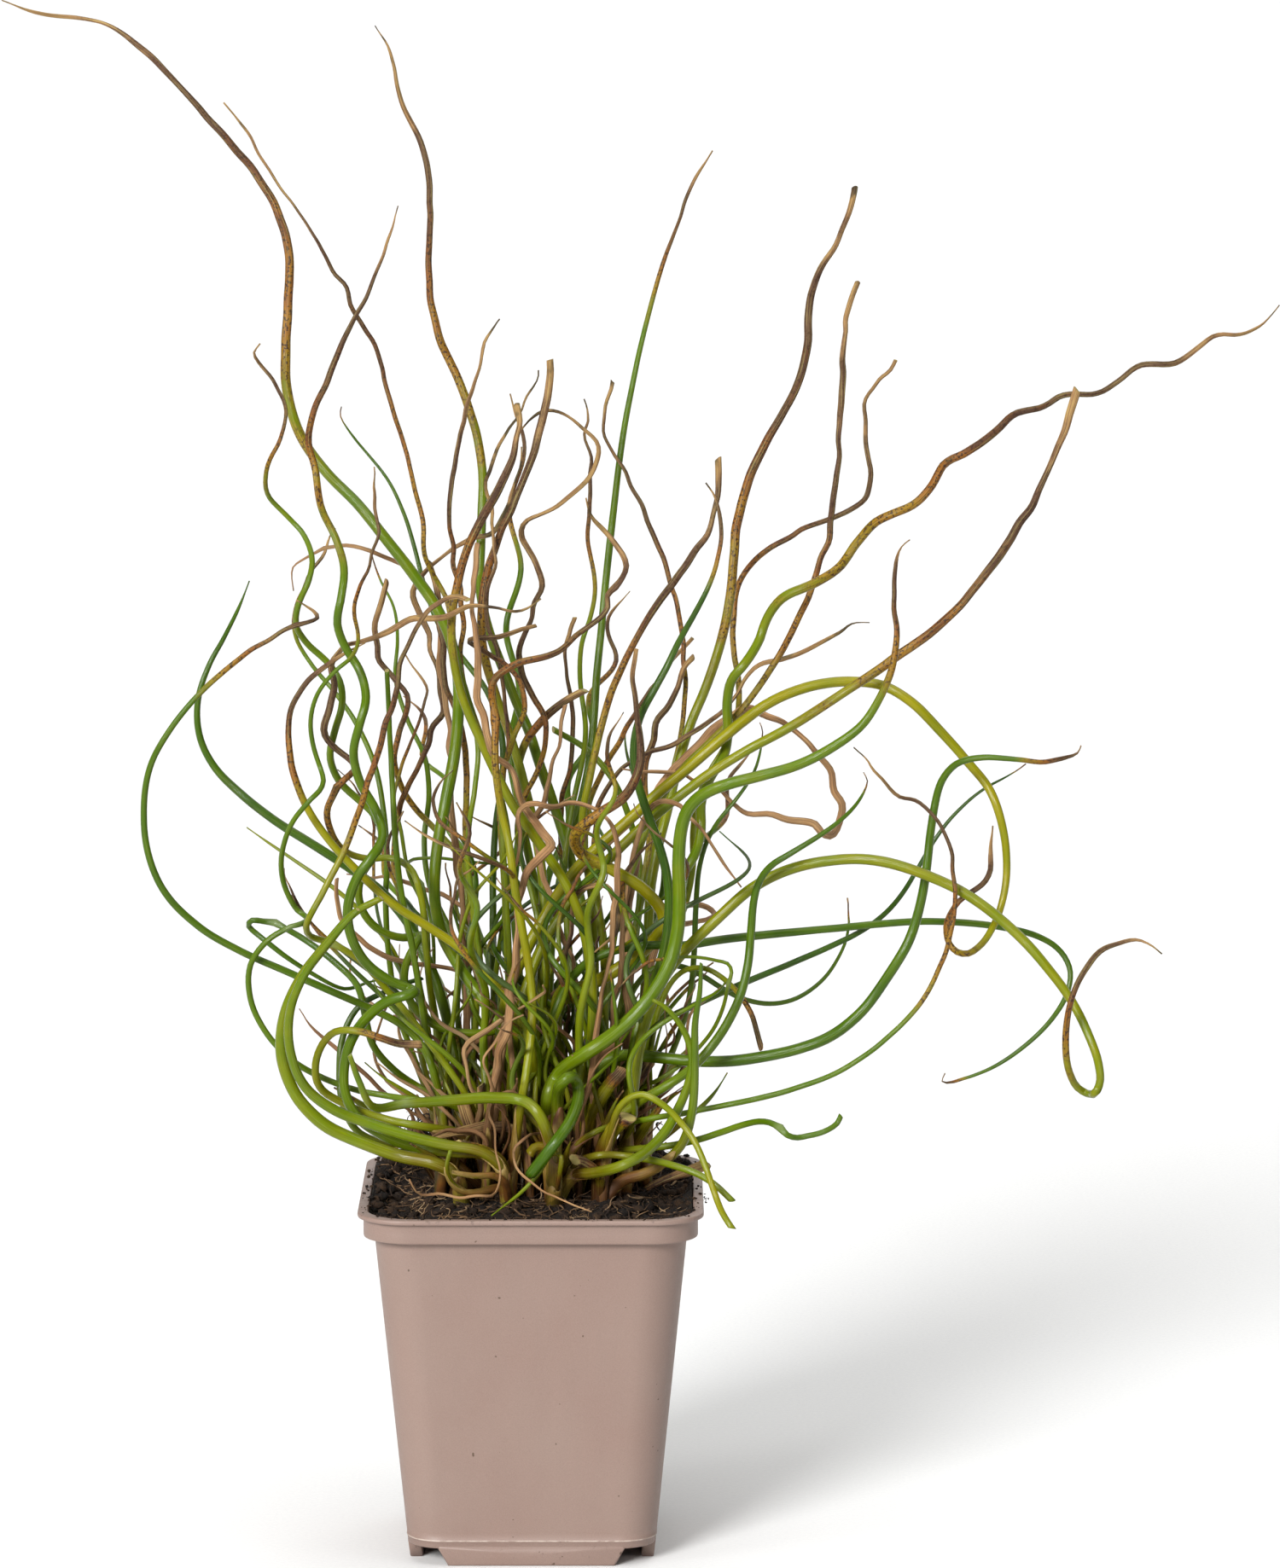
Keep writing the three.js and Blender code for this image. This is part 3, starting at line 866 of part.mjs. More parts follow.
function tuftSolid(tuft, [x, y], radius) {
  let solid = uprightCylinder(x, y, radius * PLUG.footShare, radius, PLUG.bottom, PLUG.top, PLUG.sides);
  for (const line of lines.filter((each) => each.tuft === tuft)) solid = solid.add(stemSolid(line));
  return solid;
}

const FINISH = {
  pot: { color: "#a8978b", roughness: 0.55, metalness: 0 },
  soil: { color: "#2b211b", roughness: 0.98, metalness: 0 },
  green: { color: "#5f9a1c", roughness: 0.42, metalness: 0 },
  deep: { color: "#3f7a2c", roughness: 0.42, metalness: 0 },
  olive: { color: "#8a8a24", roughness: 0.5, metalness: 0 },
  straw: { color: "#a97c55", roughness: 0.75, metalness: 0 },
};

const DEEP_TUFTS = ["b1", "b5", "c5", "d2", "d5"];
const OLIVE_TUFTS = ["c1", "c3", "d1", "e1", "e4"];

const part = new THREE.Group();
part.name = "corkscrew_rush_in_pot";
part.add(toMesh("pot", potSolid(), FINISH.pot));
part.add(toMesh("soil", soilSolid(), FINISH.soil));
for (const [tuft, place] of Object.entries(TUFTS)) {
  const finish = (DEEP_TUFTS.includes(tuft) && FINISH.deep) || (OLIVE_TUFTS.includes(tuft) && FINISH.olive);
  part.add(toMesh(`tuft_${tuft}`, tuftSolid(tuft, place, PLUG.radius), finish || FINISH.green));
}
for (const [tuft, place] of Object.entries(DRY_TUFTS)) {
  part.add(toMesh(`dry_tuft_${tuft}`, tuftSolid(tuft, place, PLUG.dryRadius), FINISH.straw));
}

export default part;
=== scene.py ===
"""Corkscrew rush in a square nursery pot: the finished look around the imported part.

The add-on makes each piece of the plant with one operator. Lengths in the tables are millimetres
and are turned to metres where a mesh is made. +Z is up and the front faces -Y.
"""

import math
from functools import cache

import bpy
import numpy as np
from bpy.props import FloatProperty, FloatVectorProperty, IntProperty, PointerProperty
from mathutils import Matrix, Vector


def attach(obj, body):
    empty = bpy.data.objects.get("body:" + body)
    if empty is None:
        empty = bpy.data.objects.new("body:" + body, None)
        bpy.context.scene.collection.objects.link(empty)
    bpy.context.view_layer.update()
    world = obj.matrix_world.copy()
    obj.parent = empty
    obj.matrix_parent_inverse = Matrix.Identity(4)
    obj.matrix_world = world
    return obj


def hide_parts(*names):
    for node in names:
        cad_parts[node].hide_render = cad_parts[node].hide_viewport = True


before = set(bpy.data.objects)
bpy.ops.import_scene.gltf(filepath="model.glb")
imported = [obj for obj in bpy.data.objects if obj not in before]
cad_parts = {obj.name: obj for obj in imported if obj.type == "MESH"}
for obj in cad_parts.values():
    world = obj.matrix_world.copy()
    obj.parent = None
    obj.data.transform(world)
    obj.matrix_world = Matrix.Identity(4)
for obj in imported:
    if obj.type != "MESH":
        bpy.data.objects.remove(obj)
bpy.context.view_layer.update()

bl_info = {
    "name": "Corkscrew Rush",
    "version": (1, 0, 0),
    "blender": (4, 5, 0),
    "location": "View3D > Sidebar > Rush",
    "description": "Makes a potted corkscrew rush with its stems, sheaths, soil, pot and studio",
    "category": "Add Mesh",
}

MM = 0.001


# -------- driving dimensions

# Air between the soil and the pot below it.
CLEAR = 0.3

POT = {
    "height": 94.8,
    "lip_half": 45.0,
    "lip_height": 1.3,
    "band_half": 43.5,
    "band_height": 6.6,
    "body_top_half": 40.7,
    "body_foot_half": 32.5,
    "corner_share": 0.29,
    "wall": 1.2,
    "floor_thickness": 1.5,
}

FOOT = {
    "height": 4.7,
    "sunk_top": 5.4,
    "top_half": 24.4,
    "sole_half": 21.8,
    "depth": 3.4,
    "centre_radius": 8.0,
}

DRAIN = {"radius": 3.5, "reach": 19.0}

SOIL = {
    "level": 91.4,
    "slope": 0.028,
    "heap": 3.2,
    "heap_reach": 33.0,
    "heap_spread": 11.0,
    "waves": 0.45,
}

PLUG = {"radius": 3.2, "dry_radius": 2.3, "top": 94.2}

# How a stem's line is worked out and kept clear of the others, as in the part itself.
STEM = {
    "step": 3.0,
    "sink": 8.0,
    "swing": 7.0,
    "swing_window": 10,
    "swing_start": 40.0,
    "air": 1.5,
    "own_gap": 8,
    "shared_foot": 16.0,
    "pinned": 12.0,
    "push_reach": 5,
    "rounds": 200,
    "lift": 1.2,
    "thinnest": 0.36,
}

# The stems are drawn on an upright board through the middle of the crown, leaning back a little,
# and seen from one standpoint. Depth carries a point off the board along its line to that point.
BOARD_MIDDLE = np.array([0.0, 0.0, 92.0])
BOARD_LEAN = math.radians(8.39)
EYE = np.array([28.4, -1879.7, 479.4])
BOARD_UP = np.array([0.0, math.sin(BOARD_LEAN), math.cos(BOARD_LEAN)])
BOARD_NORMAL = np.array([0.0, -math.cos(BOARD_LEAN), math.sin(BOARD_LEAN)])
EYE_DISTANCE = float((EYE - BOARD_MIDDLE) @ BOARD_NORMAL)

# Where each tuft's rootstock stands, x and y.
TUFTS = {
    "a1": (-18, -20), "a2": (-6, -20), "a3": (6, -20), "a4": (18, -20),
    "b1": (-24, -10), "b2": (-12, -10), "b3": (0, -10), "b4": (12, -10), "b5": (24, -10),
    "c1": (-18, 0), "c2": (-6, 0), "c3": (6, 0), "c4": (18, 0), "c5": (30, 0),
    "d1": (-24, 10), "d2": (-12, 10), "d3": (0, 10), "d4": (12, 10), "d5": (24, 10),
    "e1": (-16, 20), "e2": (-4, 20), "e3": (8, 20), "e4": (20, 20),
}

DRY_TUFTS = {
    "s1": (-12, -16.7), "s2": (0, -16.7), "s3": (12, -16.7), "s4": (-12, 3.3),
    "s5": (18, -6.7), "s6": (24, 3.3), "s7": (-18, 6.7),
}


# -------- stems

# Name, tuft, width at base and tip, share of the length at which it starts to dry, hue from yellow-green
# 0 to blue-green 1, depth of the tip before its root, and route. A route runs from the tip down: mm to
# the right of the pot's axis and mm up the board. A stroke stands where the stem is kinked.
STEMS = [
    ("high_arch_left", "b3", 3.2, 0.5, 0.58, 0.4, -34, """
-140 316,-130 312.5,-120 311.3,-112 309.3,-104 304,-96 296.2,-88 287.8,-80 279,-72 268.6,-66.5 258.5,
-64.5 249,-64.4 238,-65.1 226,-65 214,-61.5 201.5,-54.6 191.6,-46 182.8,-38.5 173.5,-31.5 164.5,
-25.5 155.8,-21.8 147.5,-19.8 138.5,-19.6 129,-20.6 117,-23 104,-25.2 92,-25.9 80,-24 69.5,-18.5 59.5,
-11.5 49.5,-6.5 39.5,-3 28,-1 14"""),
    ("wavy_straw_left", "b2", 1.5, 0.5, 0.5, 0.35, 22, """
-81 288.6,-75.1 280.3,-70 271.8,-63.8 262.6,-57 253,-51 242.5,-46 232,-40.7 221.5,-37.3 209.5,-34 199.5,
-31.3 187,-28.8 178,-28.5 170,-26.3 164.5,-22.8 158,-21.3 150,-20.3 142.5,-18 135.5,-15.8 127.5,
-14.4 118,-15.2 108,-16.8 98,-17 88,-15.5 76,-13.5 60,-12.5 40,-12 18"""),
    ("great_loop_left", "a2", 2.7, 0.7, 0.74, 0.5, 16, """
-35.7 261.8,-37 255.5,-40.5 247,-44.5 237,-50 226,-53.5 217,-57.3 209,-59.2 200,-57.4 192,-55.8 182,
-52 174,-49.8 166,-50.6 158,-51.6 151.5,-49.5 145.3,-45.5 138.6,-44 131.5,-45.6 125,-47.3 117.5,
-45.6 109.5,-41.3 101.8,-39.6 95,-42.3 90,-46.5 84,-48.8 76.5,-48 69,-44.2 62,-38 57.2,-32.3 54.9,
-30.6 54,-33.2 53.3,-38.8 51.3,-44 47,-48 41,-49.8 34,-49.4 27,-46.2 21,-41 17,-34.5 14,-27.5 12.2,
-20 11.6,-13.5 11.2,-8.6 8.5"""),
    ("tall_left_of_middle", "d4", 2.8, 0.8, 0.62, 0.4, -44, """
-41.3 309.3,-37.1 300.8,-34.3 289,-29.5 278.5,-27 268,-27.3 255,-27.3 241,-24.5 227,-19.5 215.5,
-15.3 203.5,-13.2 191,-13.4 180,-13.7 171,-14 162,-12.6 153.5,-10 145,-7.2 138,-4.2 130.5,-1 123,
1.8 114.5,4.8 106,7.6 97.5,10.2 88.5,12.6 78.5,14.4 67,15.2 54,14.6 38,13.2 20"""),
    ("curled_tip_left", "c3", 2.3, 0.6, 0.88, 0.45, 29, """
-72.2 225.6,-73.6 223.6,-71.8 219.5,-68 214.5,-65.2 208,-66.5 200.5,-69.9 193.5,-70.2 186,-65 180,
-60.5 175,-58.2 168.5,-59.2 162.5,-61.8 156.5,-62.4 150.8,-59.4 146,-54.2 141.2,-50.9 136,-50.3 130,
-52.2 123.2,-53.5 116.5,-51.2 110,-46.6 105.4,-42 101,-39.8 95.8,-41.2 90.5,-44.4 86.4,-46 80.5,-44.6 75,
-41.2 71,-36.2 68.7,-31.5 68.6,-29.2 69.6,-31 66.4,-33.4 61.5,-33.8 56,-31.6 50.5,-27 46,-20.5 43.6,
-13.5 43.2,-6.5 44.2,-.5 41,3.6 33,5.5 19"""),
    ("slim_green_upper_left", "d2", 2, 0.5, 1.02, 0.6, -32, """
-50.7 209,-50.6 206,-47.5 201,-41.9 194.2,-37.5 188.3,-33.8 180,-31.2 171.5,-28.7 162,-25.6 152.8,
-21.4 146,-17 140.5,-12.8 134.8,-9.6 128,-7.9 119.5,-8 109.5,-9.6 99,-10.4 86,-10.4 70,-10.2 50,-11 30"""),
    ("double_loop_left", "b2", 1.7, 0.6, 0.84, 0.5, 36, """
-42.2 192.9,-42.3 187,-40.9 180,-40.3 174.5,-42.6 168,-46 161,-47 154,-46 147.5,-47.7 142.8,-52.5 138.5,
-56.8 132.8,-58.6 126,-57.8 118.5,-55.6 111.5,-55.4 108.6,-59 104.5,-63.6 98.6,-66.2 91,-65.9 83.5,
-62.6 76.2,-59.2 73 / -63.8 71.4,-70 67.6,-74.6 61,-74.4 52,-70.5 43.5,-63.5 36,-55.5 31.4,-47 28.3,
-38.5 26.6,-29.5 25.4,-21 24,-14.5 19,-12 11"""),
    ("tall_straight_middle", "e3", 2.4, 0.6, 0.86, 0.5, -48, """
47.8 276.6,43.4 269.4,39.5 260.2,34.5 246.5,30.3 231.8,26.5 215,23.6 199,21.4 181,19.6 165,18.2 150,
17 138,16.2 126,15.2 116,13.3 106,10.6 97,8.2 88,6.2 77,4.8 64,4.6 48,5.6 30"""),
    ("brown_over_middle", "e4", 1.5, 0.9, 0.5, 0.3, -31, """
21.1 215.6,18.7 208,19.6 201.6,24 192,29.6 181,34.2 170,37.3 158.5,39.5 147,40.4 135.5,39.4 123.5,
37 112.5,34 103,31.6 93,29.6 82,27.2 68,24.4 52,21.8 34"""),
    ("brown_left_of_middle", "d2", 1.5, 0.8, 0.5, 0.3, 12, """
-9.2 231.9,-11 229,-13.6 221,-16.4 210.5,-19.8 200,-21 189,-21.8 177.5,-20.7 168,-18.8 158.5,-18.4 149.5,
-19 141.5,-17.4 133.5,-14.8 125.5,-11.6 117,-8.8 107.5,-6.6 97.5,-5.8 87,-7.2 76,-9.2 63,-10.8 47,
-11.6 28"""),
    ("broad_spotted_middle", "d3", 2.6, 1.4, 0.55, 0.25, -6, """
4.8 221.7,3.7 210.4,1 199,-2.9 188.5,-6.6 179.8,-9.8 171.5,-12.2 163,-13.3 155,-13.4 147.5,-11.8 139.5,
-9.2 131,-6.2 122.5,-3.4 113.5,-1 104,1.2 94,2.7 83,2.9 70,2.2 54,1 34"""),
    ("bright_diagonal", "b4", 2.7, 1.5, 0.7, 0.2, 20, """
-4.3 209.7,-3.6 204.2,-4.9 196.5,-8.8 187.8,-13.2 179.8,-16.8 172.5,-19.2 164.5,-20.9 156.5,-21.4 148.5,
-20.5 140,-18.2 131,-14.6 122.5,-10.4 113.5,-5.8 104.5,-.8 97,4.2 89.8,8.6 83,12 75.5,14.4 66.5,15.8 55,
15.6 42,13.8 26"""),
    ("hooked_arch_middle", "c3", 1.6, 0.7, 0.42, 0.35, -21, """
-2.9 202.9,-.6 205.9,4.5 207.3,9.8 205.8,14.8 201.6,17.2 195.6,14.6 189.8,8.8 184.3,1.6 180.3,-2.2 178.4,
-2.7 175.2,-.6 171,1.4 166,2 160.8,.6 155,-2 149.8,-3.7 144.6,-3.1 139.4,-.6 134.2,2.2 128.8,3.7 122.8,
2.8 116.5,.2 110.5,-2.6 104.5,-4 97.5,-3 89.5,-.4 80.5,2.2 69,4 53,5.2 34"""),
    ("olive_wave_middle", "d4", 1.7, 0.7, 0.75, 0.35, -27, """
13 211.2,14.5 207,14.2 200.5,15.7 192.5,15.8 185.5,14.9 179.3,14.8 173,16 166,16.5 159.5,15.2 152.8,
13.1 146.5,12.5 139.5,13 132,14 125.5,13.7 118.5,12.2 110.5,10.4 102.5,9 93,8.4 82.5,9.2 71,10.6 57,
11.4 38"""),
    ("brown_hanging_arch", "d1", 1.6, 0.7, 0.38, 0.35, -24, """
-2.9 198.5,-3.2 193,-5.4 187,-7.2 180.5,-10.5 176,-16 173.2,-22 170,-28 165.4,-31.5 160.2,-30.6 154.6,
-28 149,-25.8 142.8,-24.1 136.5,-23.8 130,-25.6 124,-28.8 117.2,-31.8 110.4,-34.6 103.4,-36.4 96,
-36.6 88,-35.2 79.5,-32.6 69,-29.8 56,-27 40,-24.6 22"""),
    ("orange_diagonal", "c4", 2.2, 1.3, 0.55, 0.2, 10, """
49.1 195.7,48.8 186.5,46.9 177,43 170,38.6 164.3,34.2 158.3,30 151.8,26.4 145.4,23.1 138.8,20.4 132,
18.3 124.8,16.5 117.2,14.9 109.5,13.4 102,13.2 94.5,14.8 86,17 76.5,18.7 65,19.2 50,18.8 32"""),
    ("dark_green_bend", "b5", 2.6, 0.6, 0.9, 0.75, 24, """
45.9 188.5,47.9 185,49.4 180,49.8 174,48.7 167.5,46.2 160.5,42.8 154,39 147.2,35.6 140.2,32 133.6,
28.9 127.8,27.1 121.8,26.8 115,28.2 108,30.4 101.2,32.8 94.6,34.9 87.8,36 80.5,35.8 72,34.2 63,31.2 54.5,
28.2 46,26 35,24.6 20"""),
    ("tall_olive_right", "d5", 2.7, 1.4, 0.5, 0.2, -36, """
85.1 267.2,83.8 260.5,80.6 252.5,76 245,73.4 237,72.8 227,70.6 216,66.4 207.4,61.4 198.4,57.2 189.5,
54.5 180,53.2 170,52.5 160.5,50.9 151,48.4 142,45.4 133.5,42 125.5,39.4 117.5,37.4 109.5,35.4 101,
33 91.5,31.2 81,30.6 69,29.8 55,28 38,26 20"""),
    ("spotted_right", "c4", 1.9, 1.2, 0.5, 0.25, 10, """
86.7 242.3,84.8 237.5,82.4 229,81.4 218,81.1 204,80.2 189.5,79 179,76.8 169,73.3 159.5,69.2 150.4,
64.2 141.3,58.6 133,52.6 125.8,46.2 119.6,40 113.4,34.9 106.6,30.9 98.6,27.4 89.4,24 79,21.2 66.5,
19.6 52,18.8 34"""),
    ("long_wave_right", "c5", 2.7, 0.5, 0.5, 0.3, 26, """
197.4 235.8,193.4 231,187.8 227.7,180.5 227.5,175.4 224,169.5 220.2,160 219.4,155 215.6,149.6 212.4,
140.5 212,134.6 208.8,127.4 206.9,121.8 201.4,114.8 196.8,109.2 194,105.4 187.6,100.2 182.6,90.6 178.2,
85.6 172.6,81 166.2,74 161.8,66.2 158.3,62 152.8,59.8 146.8,56.4 141.2,52.6 136.4,51.4 130.4,51.6 123,
50.6 116.6,46.9 110.6,44.6 104.4,44.5 97,43 90.6,39.6 85,37 79,36.4 71.5,35.4 62.5,33 53,30.8 42,29.6 28"""),
    ("smooth_arch_right", "c2", 2.7, 1.5, 0.6, 0.2, 31, """
144.2 213.7,141.6 205.4,136.8 193.2,131.2 181.6,123.6 169.8,115 158.6,106.2 150,97 143.2,88 137,78 130.4,
67.9 124,56.5 117.8,46.5 111.6,38 105.2,30.2 98.8,22.8 91.8,16 84.8,10 77.8,5 70.4,.8 61.8,-2.6 52,
-4.8 40,-5.8 24"""),
    ("folded_brown_right", "e4", 1.8, 0.9, 0.5, 0.3, -37, """
96.2 221,91.8 216.8,88.6 210.8,87.8 203,88.8 195,89.7 188.8,87.2 184,80 180,71 176.4,62.6 171.4,
56.6 165.4,53.8 159.6,53 151.6,53.4 143,54.4 135,54.1 127.2,51.2 119.6,47 112.4,43.8 105,42.4 96.5,
42.4 87.5,40.6 78,37.4 69.5,33.4 61,28.8 51,24.6 39"""),
    ("bright_sweep_right", "a3", 3.8, 0.5, 0.84, 0.42, 30, """
99.9 173.4,97 171.2,95.5 165.5,95.6 156.5,96.3 149.5,95.4 141.5,92.6 133.5,87.4 125,79.4 118.8,70 114,
60 111.1,51 108.8,44.6 106,40.9 102,39.2 96.4,38.6 88,38.8 79,38.4 71,36.8 63.4,33 55.6,27.2 48.2,
20.4 42.2,13.4 37.4,7.6 33.2,4.4 27.5,4.2 18"""),
    ("yellow_green_swan", "c2", 3.1, 0.88, 0.88, 0.08, 21, """
121.3 98.3,121 91.5,120.8 85.5,116.8 81.1,112 77.2,109.6 72.4,110.4 66.6,114.1 64,118.4 66.4,122.2 72.4,
124.6 80,125.3 88,124.2 97.5,120.8 107.4,114.8 115,107.4 123.4,100.4 130.4,93.2 134.8,85.2 136.1,
77 135.6,69.4 133.6,61.8 130,54.8 125,48 119.3,41 113.2,34 107.3,27.4 101.3,21.2 95.8,15.4 90.6,10.4 85,
6 78.6,2 71.8,-2 64.4,-5.8 56,-8.2 46,-8.6 34,-7.6 20"""),
    ("thick_green_right", "b4", 3.1, 0.8, 0.95, 0.62, 17, """
145.1 119.3,145.4 118,142.4 116.2,136 114.9,127 115.6,118.5 116,112 114.3,108.2 110,106.4 104,105.2 96.5,
104.2 87.5,102.4 77,99.4 67.5,94 58.4,87 48.9,79 42.5,70 39,60 36.8,50 35.7,40 36,30.5 37,23 37.2,
17.6 34.4,14.2 28,12.8 18"""),
    ("dark_wave_right", "b5", 1.9, 0.5, 1.02, 0.8, -22, """
129.8 113.9,125.8 111.3,119 107.5,112.4 102,106.6 94.8,102 87,97.4 79.6,92 73.8,86 69.6,79 66.2,70 62.3,
60 58.2,51 54.3,42.4 50.4,34.6 46.4,28.8 40.6,25.6 31,24.4 18"""),
    ("low_arch_right", "b3", 2.4, 0.7, 1, 0.66, -22, """
109.1 32.6,107.6 31,110.6 30.3,116 31.8,123 34.9,130.4 40.1,137 46.6,141.2 53.6,142 60,139 65.3,
133.4 68.8,125 71,115 72.3,103 72.7,90.5 71.9,80 70.9,70 70,60 69,50 67.9,40 66.4,30.6 66.4,22.4 65.2,
15.4 62.4,10.2 57.6,6.4 50,4 40,2.6 26"""),
    ("olive_loop_far_right", "b5", 3, 0.88, 0.84, 0.18, 45, """
166.1 64.3,162.4 67.1,157.4 67.7,151.6 66,147 62,143.6 55.8,141.4 48.5,140.8 40,141.8 33,144.6 28.2,
148.2 27.1,149.9 30,149.4 35.6,146.6 43.4,142.2 52,136.4 60,129.6 67.8,122 74.6,113.4 80.6,104.4 84.8,
95.4 87.9,87 89.2,79 88.8,71 87.4,64 84.9,57 80.8,50.4 74.9,44.2 69,38.6 63.2,33.8 56.2,30.4 48,28 38,
26.2 24"""),
    ("thin_bow_right", "a3", 1.6, 0.5, 0.6, 0.5, 20, """
84.8 118.9,88.6 115.6,91.5 110.6,95 107,101 104.2,105.8 100.6,109.4 94.6,111.4 87,111.6 78,110.2 68.6,
107.4 60.2,104.2 53.6,98.4 46.4,90.4 39.2,80.6 32.9,70.4 28.9,60 26,50 23.9,41.6 22.3,33 20.9,24.6 19.4,
16.8 17.2,11.2 13,8.2 7"""),
    ("dark_s_right", "a4", 2.6, 0.5, 1, 0.66, 10, """
87.3 112.1,88.5 110.6,87.8 107.4,85 103,80.6 98.8,74.8 94.7,68 90.6,62.8 87.2,59.9 83.2,58.4 77.6,
57.7 70,57 62,55.2 54,51.6 46,46.8 39,41.4 33.4,35 29,28.4 25.2,22.8 20.4,19.8 13"""),
    ("small_hook_right", "c4", 1.8, 0.6, 1, 0.6, -38, """
83.1 78.5,83.7 74,83.1 69,81.2 63.8,78 58.8,73.4 54.5,68 51.8,62 51,56 52.1,50.2 55,44.6 58.5,39 60.9,
33.4 60.8,28.4 57.2,24.6 50,22 40,20.4 26"""),
    ("low_kink_right", "b4", 1.9, 1.4, 2, 0.6, 40, """
81.7 21.8,80.6 19.4,77.4 17.3,72.6 16,68.3 15.6 / 65.4 18.2,61.6 19.9,56.6 19.2,50 17.1,43 14.8,36 13.4,
28.4 12.7,21.4 11.9,16 9.4,13.4 5"""),
    ("slim_riser_right", "c5", 1.8, 0.5, 1, 0.6, -2, """
60.2 125.5,60.6 120.4,59.4 114.5,56.8 109.2,53 104,49 99,46 93.6,44.2 87.4,43.4 80,43 72,42.7 64,42 56,
40.4 48,37.6 40,34 31.5,31 20"""),
    ("square_kink_right", "c3", 1.2, 0.7, 0.9, 0.4, 24, """
22 55.5,25 58.7,30 61.4,36 63,42 63.3,48 62.5,52.5 60.8 / 51.8 56.4,50.4 50,47.4 43.6,43.2 38.5,39 34.6,
33.4 31,27 28,20.2 26.2,14 24.6,9.6 20,7.4 11"""),
    ("drooping_olive_right", "c5", 1.6, 1.3, 0.85, 0.2, 6, """
61.4 38.8,60 42,58.6 46.4,56.6 50.6,53.6 54.6,49.6 58.2,45 60.4,40.2 59.8,36 55.6,33 48,31 37,29.8 22"""),
    ("double_low_right", "a3", 3, 1, 2, 0.36, 20, """
31.5 52,34.8 50.2,38.2 46.6,41 41.6,42.2 36,41.2 30,38.8 23.8,34.8 16.8,29.2 11.2,22.6 7.8,16 6.2,11 5.6"""),
    ("double_low_outer_right", "a4", 2.6, 0.9, 2, 0.6, 28, """
44.6 62,44.2 54,43 46,42.9 38,42.8 30,42 21.6,39.8 14.4,35.2 9.4,29.2 5.8,23.6 4.2"""),
    ("cut_end_right", "a3", 2, 1.7, 2, 0.3, 12, """
53.2 -1.6,48.6 2.8,44 5.8,38 8,31.4 9.6,25 10.7,18.6 11,13 9.6,9.4 5.4"""),
    ("cut_end_hanging_right", "a4", 1.9, 1.7, 2, 0.15, 24, """
53.2 -9.1,50 -4,47.6 2.4,45.3 9,42.6 14.8,39 19.8,34.2 24.4,28.6 27,23.6 24.4,20.6 17"""),
    ("straw_s_curve", "a2", 2.3, 0.7, 0.5, 0.1, 14, """
13.8 184.5,15.2 180,20.6 174,24.8 166.5 / 21.8 161,19.9 158.8,19.8 155,13 149.3,6.9 143.8,-2 141.4,
-10.4 136.3 / -9.9 126,-9.8 114,-8.4 103,-6.2 93,-4.6 81,-2.6 70,-.6 58,-.1 48,-1.2 36,-3.4 22,-4.6 12"""),
    ("big_outer_loop_left", "b1", 2.1, 0.8, 0.82, 0.55, 30, """
-62.7 157.7,-58.5 155,-56 153.2 / -62.5 150.9,-70 147,-79.5 140.4,-88.4 132.4,-96 123,-101 113.6,
-102.7 102,-101.4 90,-97 80.2,-88 71.2,-77 64.8,-64.4 59.2,-52.4 53.9,-42 49.4,-34 44.9,-28.8 39.2,
-25.6 31,-23.4 19"""),
    ("dark_arm_left", "c1", 2.9, 0.7, 2, 0.78, -14, """
-74.8 162.7,-77.4 156,-81.4 147.9,-85.6 140,-88.4 131,-87.9 121.5,-84 113.5,-77 106.4,-68 99.3,-58 93,
-48.6 87,-40 80.6,-33.6 73.4,-28.4 64,-24 52,-20.4 36,-18.8 20"""),
    ("yellow_green_bow_left", "b3", 2.6, 0.7, 0.72, 0.1, 20, """
-44.3 146.6,-52.8 141.4,-60.6 135,-64.3 126.5,-64 116,-60.6 104.8,-54.2 94.7,-46 85.7,-37 77.4,
-27.4 71.2,-18.4 65,-10.8 57,-5 49.4,-.8 40,1.4 27"""),
    ("tan_wave_left", "c1", 1.9, 0.7, 0.48, 0.3, 33, """
2 157.4,-4.4 154.6,-11 156,-17 155.8,-24 153,-31 152.6,-38 149,-45 146.7,-50.4 145.2,-53 141.6,-52.2 137,
-52 133.4,-54 128.4,-54 121.6,-47.2 113.4 / -51.4 108.6,-54 102,-53 96,-49.4 91.2,-43.6 89.3,-37 89.4,
-32.2 86.6,-29.4 79,-28.2 66,-26.4 50,-22.6 32,-19.4 18"""),
    ("kinked_straw_left", "b2", 1.9, 1, 0.56, 0.2, 40, """
-17 157.4,-21 158.6,-27.4 154,-33 145.3,-36.2 135,-39.6 122,-44 107,-49.4 92.2,-55 81,-59.8 69.8
/ -53 67,-45.5 62.3,-38.4 54.6,-30 44.3,-22.4 34,-16.8 25.4,-13.6 14"""),
    ("outer_bow_left", "a1", 3.5, 1.6, 2, 0.3, 24, """
-39.6 79,-47 75,-54.7 66.3,-61.4 57.4,-65.6 47.5,-66.2 36.6,-62.2 26.4,-55 19,-45.4 14.4,-35.4 10.8,
-26 8.8,-20.4 5.6"""),
    ("inner_bow_left", "a2", 3, 1.2, 2, 0.38, 34, """
-46 76,-53 68.2,-60 59,-63.9 49.6,-64.2 39.4,-60.4 29.4,-52.6 23,-43 19.3,-32.6 16,-22 13.4,-13.4 11.8,
-8.4 7.6"""),
    ("folded_pair_left", "b1", 2, 0.8, 2, 0.6, -24, """
-38 57.7,-43 56.7,-49.6 54.9,-58 58.8,-67 64.8,-75.6 72.6 / -68 72.4,-59.4 67.4,-51.6 61.4,-46.2 55.6,
-44.2 47.6,-42 39.6,-35.4 32.4,-27.4 26.6,-22.8 17"""),
